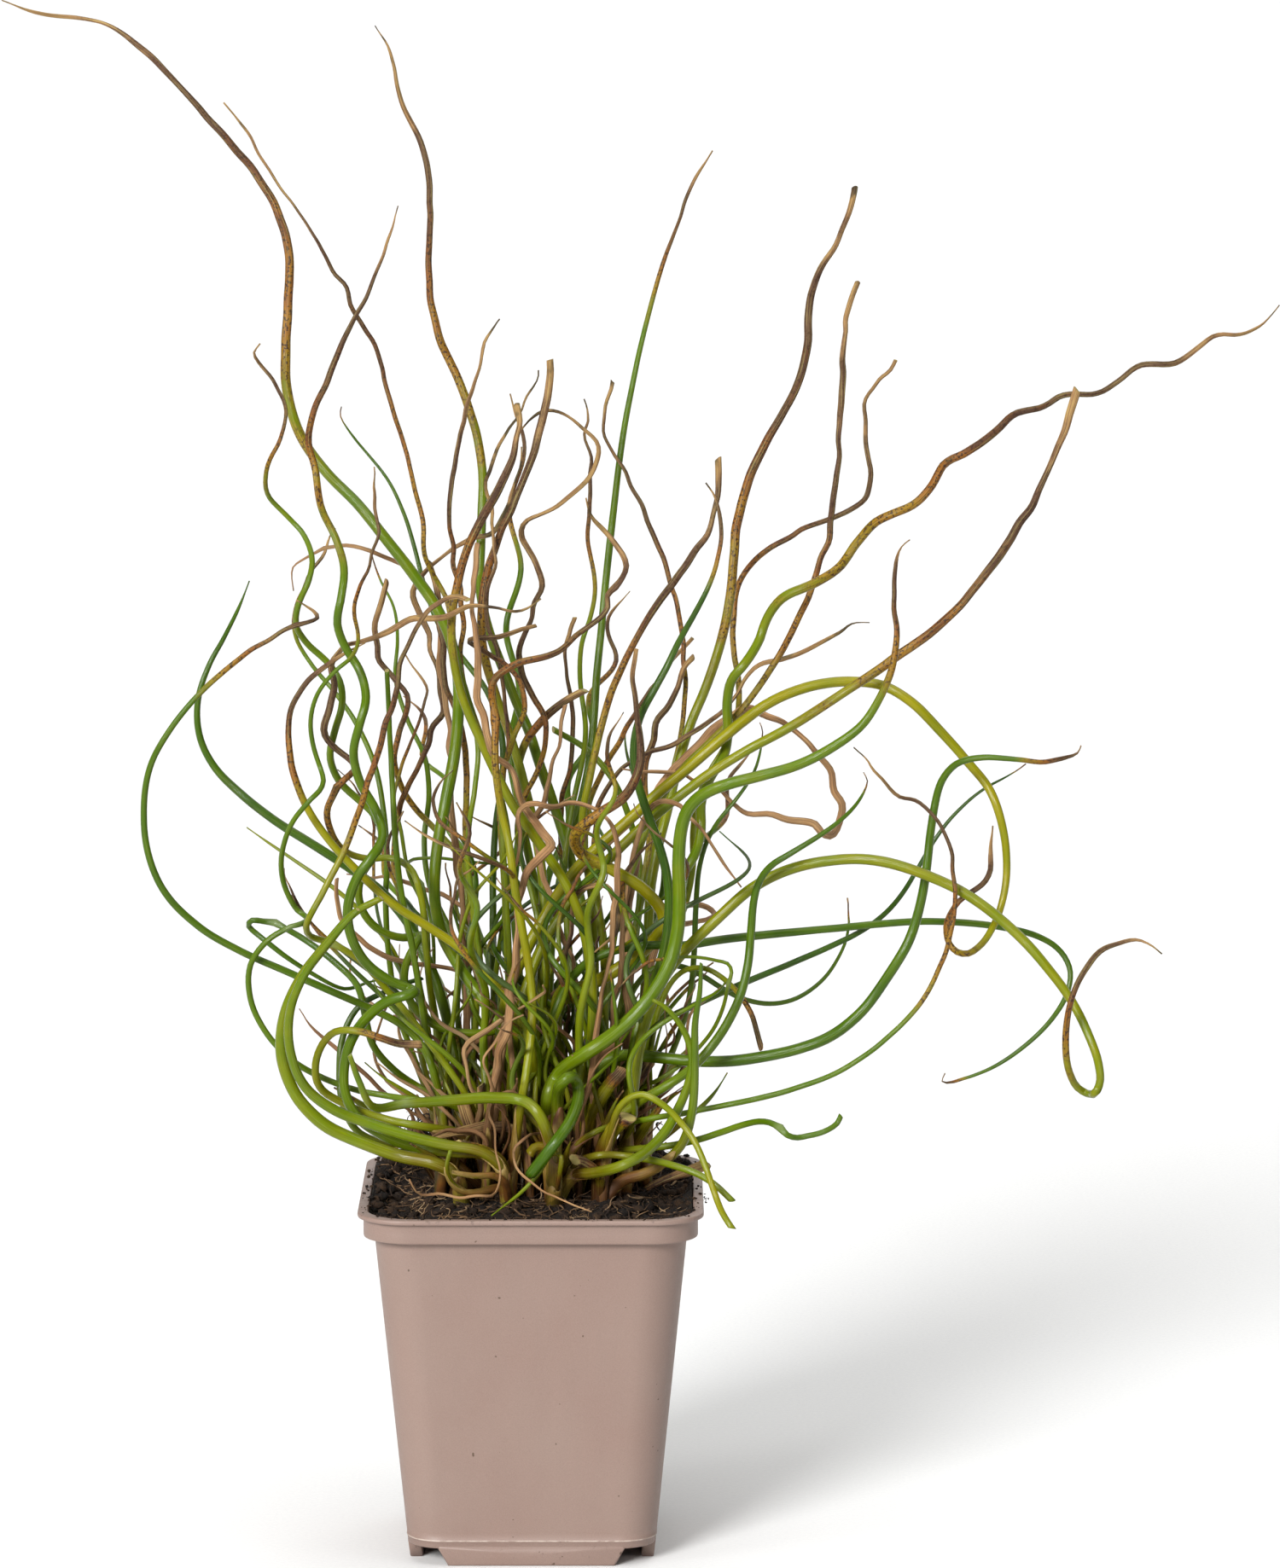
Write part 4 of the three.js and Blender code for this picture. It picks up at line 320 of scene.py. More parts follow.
    ("olive_bow_left", "b2", 2.2, 1.8, 0.88, 0.15, 18, """
-29 40.4,-37 40.8,-46 43.7,-52.8 43.2,-57 36.8,-56.4 29.2,-49 24.2,-38.6 20.4,-27.6 18.3,-18.6 16.6,
-13.6 11"""),
    ("grey_green_bow_left", "b1", 2, 1.2, 2, 0.85, -18, """
-29 57.8,-37 55,-46 50,-50.2 42,-51 33,-50 24.4,-46.4 17.4,-38.6 14,-30.4 13.6,-24.8 8"""),
    ("bright_kink_left", "a3", 3.2, 1.3, 2, 0.32, 41, """
-48.5 37.8,-45.6 30,-42.2 23.7 / -34 24.5,-22 25.4,-10 26.1,-1 24.6,4.2 16"""),
    ("stub_branch_left", "d1", 1.7, 0.7, 0.85, 0.5, -16, """
-52 176.5,-54.8 170.4,-59.6 162,-63 155,-62.4 147.4,-57.6 139.6,-51.6 132.4,-46.2 124.4,-41.8 114.4,
-39.4 102,-38.4 90,-38.8 78,-38 64,-35.6 48.6,-31.4 37,-26.4 22"""),
    ("cut_top_left", "b1", 1.8, 1.3, 2, 0.42, 6, """
-38.5 139.5,-37.9 126,-37.1 110,-36.4 96,-34.6 80,-31.4 64,-28.6 46,-25.2 24"""),
    ("brown_wave_left", "e1", 1.8, 1.1, 0.55, 0.3, -20, """
-38.1 163,-40.4 155.2,-41.8 149,-40.3 142.2,-35.6 137,-33.5 131.4,-35.4 122,-36 112,-31.6 103.4,
-24.4 95.6,-18.6 88.6,-17.4 78,-18.2 62,-17 42,-15.8 24"""),
    ("green_wave_left", "e1", 1.8, 0.5, 1, 0.5, -44, """
-43 171,-40.4 163.4,-36.6 155.4,-35.6 147,-36.2 137,-33.2 126.4,-28.6 116.6,-27.3 106.4,-28.6 94,
-27 81.6,-21 68.6,-16.2 54,-15.4 32"""),
    ("spotted_left_of_middle", "c1", 1.8, 1.2, 0.55, 0.3, -14, """
-27.2 168,-25.2 160.6,-24.3 150.6,-22.9 137.6,-19.6 125.4,-17.3 113,-17.7 99,-17 85.6,-15.2 70,-14.8 50,
-16.6 28"""),
    ("side_loop_right_of_middle", "c3", 3.6, 1, 0.62, 0.12, 37, """
27.3 145,26.7 138,28 124,28.2 113,24 105.3,16.6 100.3,11.2 95.6,12.2 91.3,21 86.4,30.2 80.4,34.8 73,
31 66.6,19 58,10.2 53.8,6.6 50,6.2 40,6.4 22"""),
    ("blunt_brown_tip", "d3", 2.5, 1.8, 0.85, 0.35, -8, """
14.5 134.5,7.6 130.6,1 124.4,-3 117,-4.2 109,-2.4 97,.6 82,2.5 66,1.8 46,.4 24"""),
    ("cut_stem_middle", "e4", 2, 1.7, 2, 0.45, -6, """
5 123.7,14.5 118,21.4 109.8,26 98.6,28.4 85,27 67,23.2 49,21 30"""),
    ("orange_stub_right", "d5", 1.9, 1.5, 0.6, 0.25, -26, """
42.3 143.3,37.2 133,31.6 121,29.9 109,31.2 96.6,28.6 80,26.2 62,25.2 40,24.6 24"""),
    ("pale_cut_right", "d4", 1.9, 0.9, 0.68, 0.2, -39, """
42.5 147.8,34.5 138.8,26.6 126,19.4 114,14.6 102.6,14 90,16.2 73,16.6 52,14.4 30"""),
    ("slim_brown_middle", "e3", 1.5, 0.9, 0.5, 0.3, -20, """
10.7 154,9.2 144,9.2 136,11 125.5,10.2 114,7.5 103,7.4 92,8.8 76,9 54,8.4 32"""),
    ("kinked_branch_middle", "c2", 1.6, 1.1, 0.6, 0.3, -4, """
.5 151.5,-8 148,-16.8 146.3 / -8.6 141.4,-3.4 135,-2.6 128,-5.8 119.6,-8.4 107,-7.6 91,-6.4 70,-5.6 44,
-5.4 24"""),
    ("curl_right_of_middle", "c3", 1.5, 0.8, 0.4, 0.3, 16, """
17 65,21.6 70,22 76.6,19.6 82,14.4 81.6,10.6 77.6,9.8 68,7.4 57.2,4.8 46,4.2 34,5 20"""),
    ("thread_tip_left", "c1", 1.3, 0.5, 0.7, 0.4, -30, """
-34.8 143.5,-28 133 / -31.2 122,-36.6 106,-34.6 96,-32.8 85.6,-28.6 76,-27 58,-24 40,-20.4 24"""),
    ("cross_twig_left", "d1", 1.1, 0.7, 2, 0.5, -6, """
-1 87.3,-16 88.4,-27 89.5,-33.2 88.3 / -29 82.6,-26.4 70,-26 50,-25 28"""),
    ("riser_left_of_middle", "b1", 1.4, 0.7, 2, 0.2, -2, """
-3.6 97,-8 88.6,-15 80.4,-18.8 70,-20.2 54,-22.4 36,-23.8 20"""),
    ("soil_hook", "a2", 1.6, 1.1, 2, 0.45, 7, """
-21.6 12.4,-22.7 7,-20.4 2.4,-16 .9,-11.6 1.8,-8 2.6"""),
    ("cut_face_front", "a3", 3.2, 3, 2, 0.7, 12, """
-.9 5.3,4.6 12.4,10.4 20.8,12.2 27.6,10.6 31.8,7.6 30,6.4 20"""),
    ("green_tongue_front", "a3", 1.4, 0.6, 2, 0.35, 20, """
-10.8 -5,-4 .2,1.6 6,5 11.2,7.2 11.6"""),
    ("twin_low_left", "a2", 1.8, 1.2, 2, 0.35, 11, """
-21.4 6.4,-15 5.4,-10 5.6,-7.2 3.4"""),
    ("back_lean_a", "e2", 2.4, 0.6, 0.8, 0.55, -82, """
-6 212,-2 197,-6.4 182,-3 166,-7 150,-3.4 134,-6 118,-3.4 100,-5 80,-3.6 58,-4.4 34"""),
    ("back_lean_b", "e2", 2.4, 0.6, 0.8, 0.6, -104, """
26 160,20 152,22 141,15 132,16 121,9.4 110,9.6 98,4 84,2 66,-1.4 46,-3.2 26"""),
    ("back_lean_c", "e2", 2.2, 0.6, 0.85, 0.5, -96, """
-34 132,-28 126,-29 116,-22 109,-22.6 98,-16 88,-15.6 74,-10.6 60,-8.2 42,-5.4 24"""),
    ("back_lean_d", "e3", 2.4, 0.6, 0.8, 0.65, -120, """
58 118,52 110,51 100,43 92,41 82,32.6 74,28.6 63,20.6 52,15.6 38,11 22"""),
    ("back_lean_e", "e1", 2.4, 0.6, 0.85, 0.55, -108, """
-46 98,-40 93,-38.6 83.6,-32 76,-30.4 66,-24.4 56,-21.6 43,-18 26"""),
    ("front_lean_a", "b4", 2.2, 0.6, 0.85, 0.3, 50, """
24 128,19.4 118,22 107,17 97,18.8 86,14.6 75,15.4 62,12.6 48,12.4 30"""),
    ("front_lean_b", "b2", 2.2, 0.6, 0.85, 0.35, 84, """
-20 104,-16.4 96,-19.4 86.6,-14.6 77,-16.4 66,-12.4 54,-13 40,-12 24"""),
    ("hooked_ribbon", "s6", 2, 0.8, 0, 0.5, 2, """
24 113.3,32 112.2,40 111.5,48 107.8,56 102.2,66 99.8,75.6 97.6,77.6 94.8,80.6 96,81.2 104,77.6 113.6,
70.8 122,62.6 127.4,56 128.4,49.6 125,42 118,35.4 110,30.4 100,27 88,25.6 70,25.2 48,24.4 28"""),
    ("brown_ribbon_middle", "s1", 2, 1.1, 0, 0.5, 12, """
-14.6 172.5,-14.6 166,-16.6 157.5,-15.4 150.6,-14.7 140,-13.2 126.5,-10.2 117,-5.4 112.4,-3.2 105,1.4 98,
4.7 93,1 88.6,-2.8 82.6,-4 70,-6 52,-9.4 34,-11.4 18"""),
    ("looped_brown_middle", "s3", 1.2, 0.9, 0, 0.5, 8, """
-4.2 87.5,-2.9 95,-4.2 101,-1.4 104.2,5.4 102.6,12.4 104.4,18.6 101.2,22 92,22 76,19.6 58,16.4 38,13.2 20"""),
    ("slim_brown_pair", "s5", 1.3, 0.9, 0, 0.5, -12, """
9.3 131,6.8 117.5,3 106,.4 98,2.2 86,7 72,12.6 54,16.4 34,17.8 16"""),
    ("brown_tip_right", "s5", 1.2, 0.7, 0, 0.5, 16, """
55 82.4,49.4 90.6,43 99.6,37 104.4,31 103,27 93,25 78,22.6 58,19.6 36,18.2 18"""),
    ("brown_ring_right", "s6", 1.6, 1.2, 0, 0.5, -24, """
37 75.6,44 77.2,47.8 75.6,45.4 72.8,39.6 72.4,34.4 70.4,31 62,29 44,25.6 24"""),
    ("brown_sweep_left", "s4", 1.6, 0.9, 0, 0.5, 4, """
-51.8 84,-52 79,-48.6 71.4,-40 65,-29 61.6,-19.4 59.6,-13.4 54,-11.8 40,-12 24"""),
    ("brown_cross_left", "s4", 1.4, 0.8, 0, 0.5, -20, """
-49.5 85.5,-41 84.6,-31 82,-21.6 78.4,-15.6 71,-13.4 56,-12.6 38,-12.2 22"""),
    ("beige_sheath", "s1", 2.5, 2, 0, 0.5, -5, """
-7.8 46,-8.9 36,-9.9 26,-11 16"""),
    ("brown_papery", "s1", 1.6, 0.8, 0, 0.5, 10, """
-27.5 15,-22 17.2,-16 17.8,-12.6 15,-11.8 10"""),
    ("soil_straw_left", "s2", 0.6, 0.5, 0, 0.5, 20, """
-32.4 4.4,-30.6 1.4,-24 .6,-17.4 -.2,-9.6 .6,-9 8,-9.8 16,-10.8 25,-6.6 28.6,-2.6 24,-.8 12"""),
    ("soil_straw_right", "s3", 0.6, 0.5, 0, 0.5, 24, """
15.4 -4.6,5.6 -.2,-.6 4,-3.8 7,-4.6 13,.6 16.4,7.6 15,11.4 8"""),
    ("brown_stub_middle", "s2", 1.5, 1.1, 0, 0.5, 2, """
-5.6 49,-6.2 40,-5 28,-2 14"""),
    ("brown_short_right", "s5", 1.3, 0.9, 0, 0.5, 18, """
26.5 45,22 40,17 36.4,16.4 26,17.6 14"""),
    ("straw_over_left", "s7", 1.4, 0.6, 0, 0.5, 10, """
-63 160,-63.4 165.6 / -55 171,-48.6 172.3,-40 169.2,-31 164.4,-25.4 154,-24.2 140,-22 120,-20.4 96,
-18.6 70,-16.8 44,-17.2 22"""),
    ("slim_wavy_middle", "c2", 1.2, 0.6, 0.45, 0.3, -12, """
1.2 218,.6 213.5,-3 208.3,-7 201,-10.8 193,-12 186,-10.9 180,-9.8 174.5,-9.5 169,-11 162.5,-12.5 156,
-11.2 148.5,-9 141,-7.2 133.5,-6.4 126,-6.8 118,-8 110,-8.8 101,-8.2 90,-7.4 75,-6.6 55,-6 32"""),
    ("thin_brown_right", "d5", 1.4, 0.7, 0.42, 0.3, -20, """
89 151.5,83.4 150.3,77 147,71 143.8,64.2 141.4,59 139,55.4 135,51.4 130,46.6 125.3,41 121.5,35 118.7,
29.5 116.7,24.6 113.8,20.8 109.4,18 104.2,16.4 98,16 90,17.2 80,19.2 68,21.2 54,22.8 36"""),
]


# -------- board and space


def board_to_space(u, v, depth):
    """Point on the board at u to the right and v up it, moved by depth towards the standpoint."""
    on_board = BOARD_MIDDLE + np.outer(v, BOARD_UP)
    on_board[:, 0] += u
    share = (np.asarray(depth) / EYE_DISTANCE)[:, None]
    return on_board + (EYE - on_board) * share


def space_to_board(points):
    """Right, up and depth of points in space, the reverse of board_to_space."""
    points = np.atleast_2d(points).astype(float)
    depth = (points - BOARD_MIDDLE) @ BOARD_NORMAL
    share = (depth / EYE_DISTANCE)[:, None]
    offset = (points - EYE * share) / (1 - share) - BOARD_MIDDLE
    return offset[:, 0], offset @ BOARD_UP, depth


# -------- stem lines


def smooth_through(points, fine=8):
    """Points on a centripetal spline through the given ones, with fine steps in each stretch: between
    two points a cubic curve of t, with its leads at both ends from the points before and after."""
    points = np.asarray(points, float)
    before = np.vstack([2 * points[0] - points[1], points[:-2]])
    after = np.vstack([points[2:], 2 * points[-1] - points[-2]])
    start, end = points[:-1], points[1:]
    gap = [((q - p) ** 2).sum(1) ** 0.25 for p, q in ((before, start), (start, end), (end, after))]
    gap[1] = np.where(gap[1] < 1e-4, 1.0, gap[1])
    gap[0] = np.where(gap[0] < 1e-4, gap[1], gap[0])
    gap[2] = np.where(gap[2] < 1e-4, gap[1], gap[2])
    g0, g1, g2 = (g[:, None] for g in gap)
    lead = ((start - before) / g0 - (end - before) / (g0 + g1) + (end - start) / g1) * g1
    trail = ((end - start) / g1 - (after - start) / (g1 + g2) + (after - end) / g2) * g1
    t = (np.arange(fine) / fine)[None, :, None]
    start, end, lead, trail = (each[:, None] for each in (start, end, lead, trail))
    squared = (3 * end - 3 * start - 2 * lead - trail) * t**2
    curve = start + lead * t + squared + (2 * start - 2 * end + lead + trail) * t**3
    return np.vstack([curve.reshape(-1, points.shape[1]), points[-1]])


def even_points(points, spacing):
    """Points at even spacing along the smooth curve through the given ones."""
    fine = smooth_through(points)
    along = np.concatenate([[0], np.cumsum(np.linalg.norm(np.diff(fine, axis=0), axis=1))])
    count = max(1, math.floor(along[-1] / spacing + 0.5))
    targets = along[-1] * np.arange(count + 1) / count
    return np.column_stack([np.interp(targets, along, fine[:, k]) for k in range(fine.shape[1])])


def read_route(text):
    """The runs of a route from the root up; a stroke in the text is a kink between two runs."""
    runs = [[tuple(map(float, pair.split())) for pair in run.split(",")] for run in text.split("/")]
    return [run[::-1] for run in runs][::-1]


def heading_turn(u, v):
    """Sine of the angle between a stem's direction at each point and over a longer stretch."""
    last = len(u) - 1
    index = np.arange(last + 1)

    def heading(reach):
        ahead, behind = np.minimum(index + reach, last), np.maximum(index - reach, 0)
        du, dv = u[ahead] - u[behind], v[ahead] - v[behind]
        size = np.hypot(du, dv)
        size[size == 0] = 1
        return du / size, dv / size

    (hu, hv), (gu, gv) = heading(1), heading(STEM["swing_window"])
    return hu * gv - hv * gu


def stem_line(stem, order):
    """One stem's line on the board from its root up, with depth and radius at each point."""
    tuft, base, tip = stem[1:4]
    lean, text = stem[6:]
    x, y = {**TUFTS, **DRY_TUFTS}[tuft]
    runs = read_route(text)
    plug_radius = PLUG["radius"] if tuft in TUFTS else PLUG["dry_radius"]
    room = max(0.0, plug_radius - base * 0.65) * 0.2
    aside = min(room, max(-room, (runs[0][0][0] - x) * 0.15))
    forward = ((order % 3) - 1) * room
    heights = np.array([PLUG["top"] - STEM["sink"], PLUG["top"] - 1])
    place = np.column_stack([np.full(2, x + aside), np.full(2, y - forward), heights])
    root_u, root_v, root_depth = space_to_board(place)
    runs[0] = list(zip(root_u, root_v)) + runs[0]
    line, kinks = even_points(runs[0], STEM["step"]), []
    for run in runs[1:]:
        kinks.append(len(line) - 1)
        line = np.vstack([line, even_points(np.vstack([line[-1:], run]), STEM["step"])[1:]])
    u, v = line[:, 0], line[:, 1]
    along = np.concatenate([[0], np.cumsum(np.hypot(np.diff(u), np.diff(v)))])
    free = np.maximum(0, along - STEM["sink"])
    rank = root_depth[0] + lean * (free / (along[-1] - STEM["sink"])) ** 1.2
    swing = STEM["swing"] * np.minimum(1, free / STEM["swing_start"]) * heading_turn(u, v)
    share = along / along[-1]
    radius = np.maximum(STEM["thinnest"], (base + (tip - base) * share**1.8) / 2)
    return {
        "tuft": tuft, "u": u, "v": v, "rank": rank, "depth": rank + swing, "radius": radius,
        "along": along, "kinks": kinks, "fixed": False,
    }


# -------- clearing


def plug_line(tuft, radius):
    """A plug takes part in the clearing as a short upright line that nothing moves."""
    x, y = {**TUFTS, **DRY_TUFTS}[tuft]
    heights = PLUG["top"] - 6 + 2 * np.arange(4.0)
    u, v, depth = space_to_board(np.column_stack([np.full(4, x), np.full(4, y), heights]))
    return {
        "tuft": tuft, "u": u, "v": v, "rank": depth, "depth": depth.copy(), "radius": np.full(4, radius),
        "along": np.zeros(4), "fixed": True,
    }


def soil_height(x, y):
    """A slope up to the back, a heap in each back corner and low waves."""
    spread = 2 * SOIL["heap_spread"] ** 2
    reach = SOIL["heap_reach"]
    heaps = sum(
        SOIL["heap"] * np.exp(-((x - side * reach) ** 2 + (y - reach + 6) ** 2) / spread)
        for side in (-1, 1)
    )
    waves = np.sin(x * 0.31 + 1) * np.cos(y * 0.27) + np.sin(y * 0.53 - x * 0.17)
    return SOIL["level"] + SOIL["slope"] * y + SOIL["waves"] * waves + heaps


def ground_height(x, y):
    """Lowest free height at a place: over the soil inside the pot, over the rim above its wall."""
    out = np.maximum(np.abs(x), np.abs(y))
    inside = POT["band_half"] - POT["wall"] - 1.5
    soil = soil_height(x, y)
    height = np.where(out > inside, np.maximum(POT["height"], soil), soil)
    return np.where(out > POT["lip_half"] + 2, 0.0, height)


# How many points away from a push a point is carried along, and its share: half a cosine wave.
PUSH_SHARES = {
    k: 0.5 + 0.5 * math.cos(math.pi * k / (STEM["push_reach"] + 1))
    for k in range(-STEM["push_reach"], STEM["push_reach"] + 1)
}


def spread_push(push):
    """Each push also carries the points around it along, less and less with distance."""
    reach, size = STEM["push_reach"], len(push)
    padded = np.pad(push, reach)
    return np.max([padded[k + reach :][:size] * share for k, share in PUSH_SHARES.items()], axis=0)


def lift_lines(lines):
    """Raises what lies too low on the soil or the rim, together with the points around it."""
    for line in lines:
        point = board_to_space(line["u"], line["v"], line["depth"])
        ground = ground_height(point[:, 0], point[:, 1])
        lack = np.maximum(0, ground + line["radius"] * 1.2 + STEM["lift"] - point[:, 2])
        free = line["along"] >= STEM["sink"]
        line["v"] = line["v"] + np.where(free, spread_push(np.where(free, lack, 0)), 0)


def gathered(lines, *keys):
    """One long array for each key, with the values of every line in turn."""
    return [np.concatenate([line[key] for line in lines]) for key in keys]


def near_pairs(lines):
    """Every two points of the lines that lie near each other on the board, with the depth they need,
    and for all points the line that each is on and its number there."""
    owner = np.concatenate([np.full(len(line["u"]), k) for k, line in enumerate(lines)])
    index = np.concatenate([np.arange(len(line["u"])) for line in lines])
    u, v, radius, along = gathered(lines, "u", "v", "radius", "along")
    tuft = np.array([line["tuft"] for line in lines])[owner]
    found = []
    for start in range(0, len(u), 400):
        some = np.arange(start, min(start + 400, len(u)))
        distance = np.hypot(u[some, None] - u, v[some, None] - v)
        reach = radius[some, None] + radius + STEM["air"]
        nearest = np.maximum(0, distance - STEM["step"] / 2)
        own = owner[some, None] == owner
        later = (owner[some, None] < owner) | (own & (index - index[some, None] >= STEM["own_gap"]))
        low = np.maximum(along[some, None], along) < STEM["shared_foot"]
        shared = (tuft[some, None] == tuft) & ~own & low
        row, other = np.nonzero((nearest < reach) & later & ~shared)
        need = np.sqrt(reach[row, other] ** 2 - nearest[row, other] ** 2)
        found.append(np.column_stack([some[row], other, need]))
    found = np.vstack(found)
    first, second = found[:, 0].astype(int), found[:, 1].astype(int)
    return first, second, found[:, 2], owner, index


def group_crossings(first, second, owner, index):
    """Numbers the pairs so that those of one crossing, within two points of each other, agree."""
    i, j = index[first], index[second]
    key = owner[first] * 1000 + owner[second]
    place = {pair: k for k, pair in enumerate(zip(key, i, j))}
    label = np.full(len(first), -1)
    count = 0
    for seed in range(len(first)):
        if label[seed] >= 0:
            continue
        label[seed] = count
        stack = [seed]
        while stack:
            member = stack.pop()
            for di in range(-2, 3):
                for dj in range(-2, 3):
                    other = place.get((key[member], i[member] + di, j[member] + dj))
                    if other is not None and label[other] < 0:
                        label[other] = count
                        stack.append(other)
        count += 1
    return label, count


def crossing_sides(first, second, owner, index, rank, along):
    """1 where a pair's first point stays in front, -1 where its second does, the same all over one
    crossing: the sign of the sum of rank difference / (4 + height) squared."""
    label, count = group_crossings(first, second, owner, index)
    height = np.minimum(along[first], along[second])
    ahead = np.bincount(label, (rank[first] - rank[second]) / (4 + height) ** 2, count)
    return np.where(ahead < 0, -1, 1)[label]


def clear_lines(lines):
    """Moves stems that would touch apart in depth, each crossing keeping one side in front. In most
    rounds a point is also drawn a little towards the shift of the points next to it."""
    first, second, need, owner, index = near_pairs(lines)
    depth, rank, along = gathered(lines, "depth", "rank", "along")
    side = crossing_sides(first, second, owner, index, rank, along)
    front, behind = np.where(side > 0, (first, second), (second, first))
    fixed = np.concatenate([np.full(len(line["u"]), line["fixed"]) for line in lines])
    give = np.clip((along - STEM["sink"]) / STEM["pinned"], 0, 1) * ~fixed
    total = give[front] + give[behind]
    total[total == 0] = 1
    starts = np.concatenate([[0], np.cumsum([len(line["u"]) for line in lines])])
    here = np.arange(len(depth))
    before, after = np.maximum(here - 1, starts[owner]), np.minimum(here + 1, starts[owner + 1] - 1)
    neighbours = [np.clip(here + k, 0, len(here) - 1) for k in PUSH_SHARES]
    shares = [
        share * (owner[near] == owner) * (near == here + k)
        for near, (k, share) in zip(neighbours, PUSH_SHARES.items())
    ]

    def carried_along(point, push):
        most = np.zeros_like(depth)
        np.maximum.at(most, point, push)
        return np.max([most[near] * share for near, share in zip(neighbours, shares)], axis=0)

    start_depth = depth.copy()
    for turn in range(STEM["rounds"]):
        lack = np.maximum(0, need - (depth[front] - depth[behind]))
        forward = carried_along(front, lack * give[front] / total)
        back = carried_along(behind, lack * give[behind] / total)
        depth = depth + 0.8 * give * (forward - back)
        if turn < STEM["rounds"] * 0.8:
            shift = depth - start_depth
            depth = depth + 0.3 * give * ((shift[before] + shift[after]) / 2 - shift)
    for line, low, high in zip(lines, starts[:-1], starts[1:]):
        line["depth"] = depth[low:high]


# -------- surfaces


def grid_faces(rows, columns):
    """Quads of a grid of points, row after row, whose last column meets the first."""
    row = np.arange(rows - 1)[:, None] * columns
    column = np.arange(columns)[None]
    beside = (column + 1) % columns
    quads = np.stack([row + column, row + beside, row + columns + beside, row + columns + column], -1)
    return quads.reshape(-1, 4)


def fan_faces(ring, pole, outward):
    """Triangles from a closed ring of point numbers to one pole."""
    beside = np.roll(ring, -1)
    first, second = (ring, beside) if outward else (beside, ring)
    return np.stack([first, second, np.full(len(ring), pole)], -1)


def turns(sides):
    """Angles of a ring's points, as one row."""
    return (np.arange(sides) / sides * 2 * math.pi)[None]


def unit(vectors):
    """The vectors at a length of 1; one of no length stays as it is."""
    size = np.linalg.norm(vectors, axis=-1, keepdims=True)
    return vectors / np.where(size < 1e-9, 1, size)


def smooth_noise(values, seed):
    """Smooth random numbers from -1 to 1 along the whole array of places, one apart in step."""
    table = np.random.default_rng(seed).uniform(-1, 1, 4096)
    whole = np.floor(values).astype(int)
    part = values - whole
    part = part * part * (3 - 2 * part)
    return table[whole % 4096] * (1 - part) + table[(whole + 1) % 4096] * part


def smooth_noise_2d(x, y, seed):
    """Smooth random height over a plane: four corner values of each unit square blended."""
    table = np.random.default_rng(seed).uniform(-1, 1, (256, 256))
    ix, iy = np.floor(x).astype(int), np.floor(y).astype(int)
    px, py = x - ix, y - iy
    px, py = px * px * (3 - 2 * px), py * py * (3 - 2 * py)
    low = table[ix % 256, iy % 256] * (1 - px) + table[(ix + 1) % 256, iy % 256] * px
    high = table[ix % 256, (iy + 1) % 256] * (1 - px) + table[(ix + 1) % 256, (iy + 1) % 256] * px
    return low * (1 - py) + high * py


class Surface:
    """Gathers grids of points in millimetres, with a value of each attribute at every point."""

    def __init__(self, *names):
        self.names, self.points, self.quads, self.tris = names, [], [], []
        self.values = {name: [] for name in names}
        self.count = 0

    def add(self, points, quads, tris=None, **values):
        """Adds points with their faces and the attributes' values, each one number or one per point."""
        self.points.append(points)
        self.quads.append(quads + self.count)
        if tris is not None:
            self.tris.append(tris + self.count)
        for name in self.names:
            shape = (len(points), 3) if name == "skin" else (len(points),)
            self.values[name].append(np.broadcast_to(np.asarray(values[name], float), shape))
        self.count += len(points)

    def add_tubes(self, rings, ends, outward=True, **values):
        """Adds tubes, each of rings of points with a pole at either end. Seen from beyond the last ring,
        the rings go round anticlockwise, or clockwise if outward is off."""
        count, rows, sides = rings.shape[:3]
        points = np.concatenate([rings.reshape(count, -1, 3), ends.reshape(count, 2, 3)], 1)
        shift = (np.arange(count) * points.shape[1])[:, None, None]
        ring = np.arange(sides)
        tris = np.vstack([
            fan_faces(ring, rows * sides, not outward),
            fan_faces(ring + (rows - 1) * sides, rows * sides + 1, outward),
        ])
        quads = grid_faces(rows, sides)[:, :: 1 if outward else -1]
        quads, tris = (quads + shift).reshape(-1, 4), (tris + shift).reshape(-1, 3)
        self.add(points.reshape(-1, 3), quads, tris, **values)

    def make(self, name, slot, material, replaces=()):
        """Makes the mesh object from the whole arrays and hands it to the frame."""
        points = np.vstack(self.points) * MM
        quads = np.vstack(self.quads)
        tris = np.vstack(self.tris)
        corners = np.concatenate([quads.ravel(), tris.ravel()])
        starts = np.concatenate([np.arange(len(quads)) * 4, quads.size + np.arange(len(tris)) * 3])
        mesh = bpy.data.meshes.new(name)
        mesh.vertices.add(len(points))
        mesh.vertices.foreach_set("co", points.astype(np.float32).ravel())
        mesh.loops.add(len(corners))
        mesh.loops.foreach_set("vertex_index", corners.astype(np.int32))
        mesh.polygons.add(len(starts))
        mesh.polygons.foreach_set("loop_start", starts.astype(np.int32))
        mesh.polygons.foreach_set("use_smooth", np.full(len(starts), True))
        mesh.update(calc_edges=True)
        if mesh.validate():
            raise RuntimeError(f"{name} has faces that make no surface")
        for attribute in self.names:
            whole = np.concatenate(self.values[attribute]).astype(np.float32)
            kind, key = ("FLOAT_VECTOR", "vector") if whole.ndim == 2 else ("FLOAT", "value")
            mesh.attributes.new(attribute, kind, "POINT").data.foreach_set(key, whole.ravel())
        mesh.materials.append(material)
        piece = bpy.data.objects.new(name, mesh)
        bpy.context.scene.collection.objects.link(piece)
        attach(piece, "root")
        if replaces:
            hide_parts(*replaces)


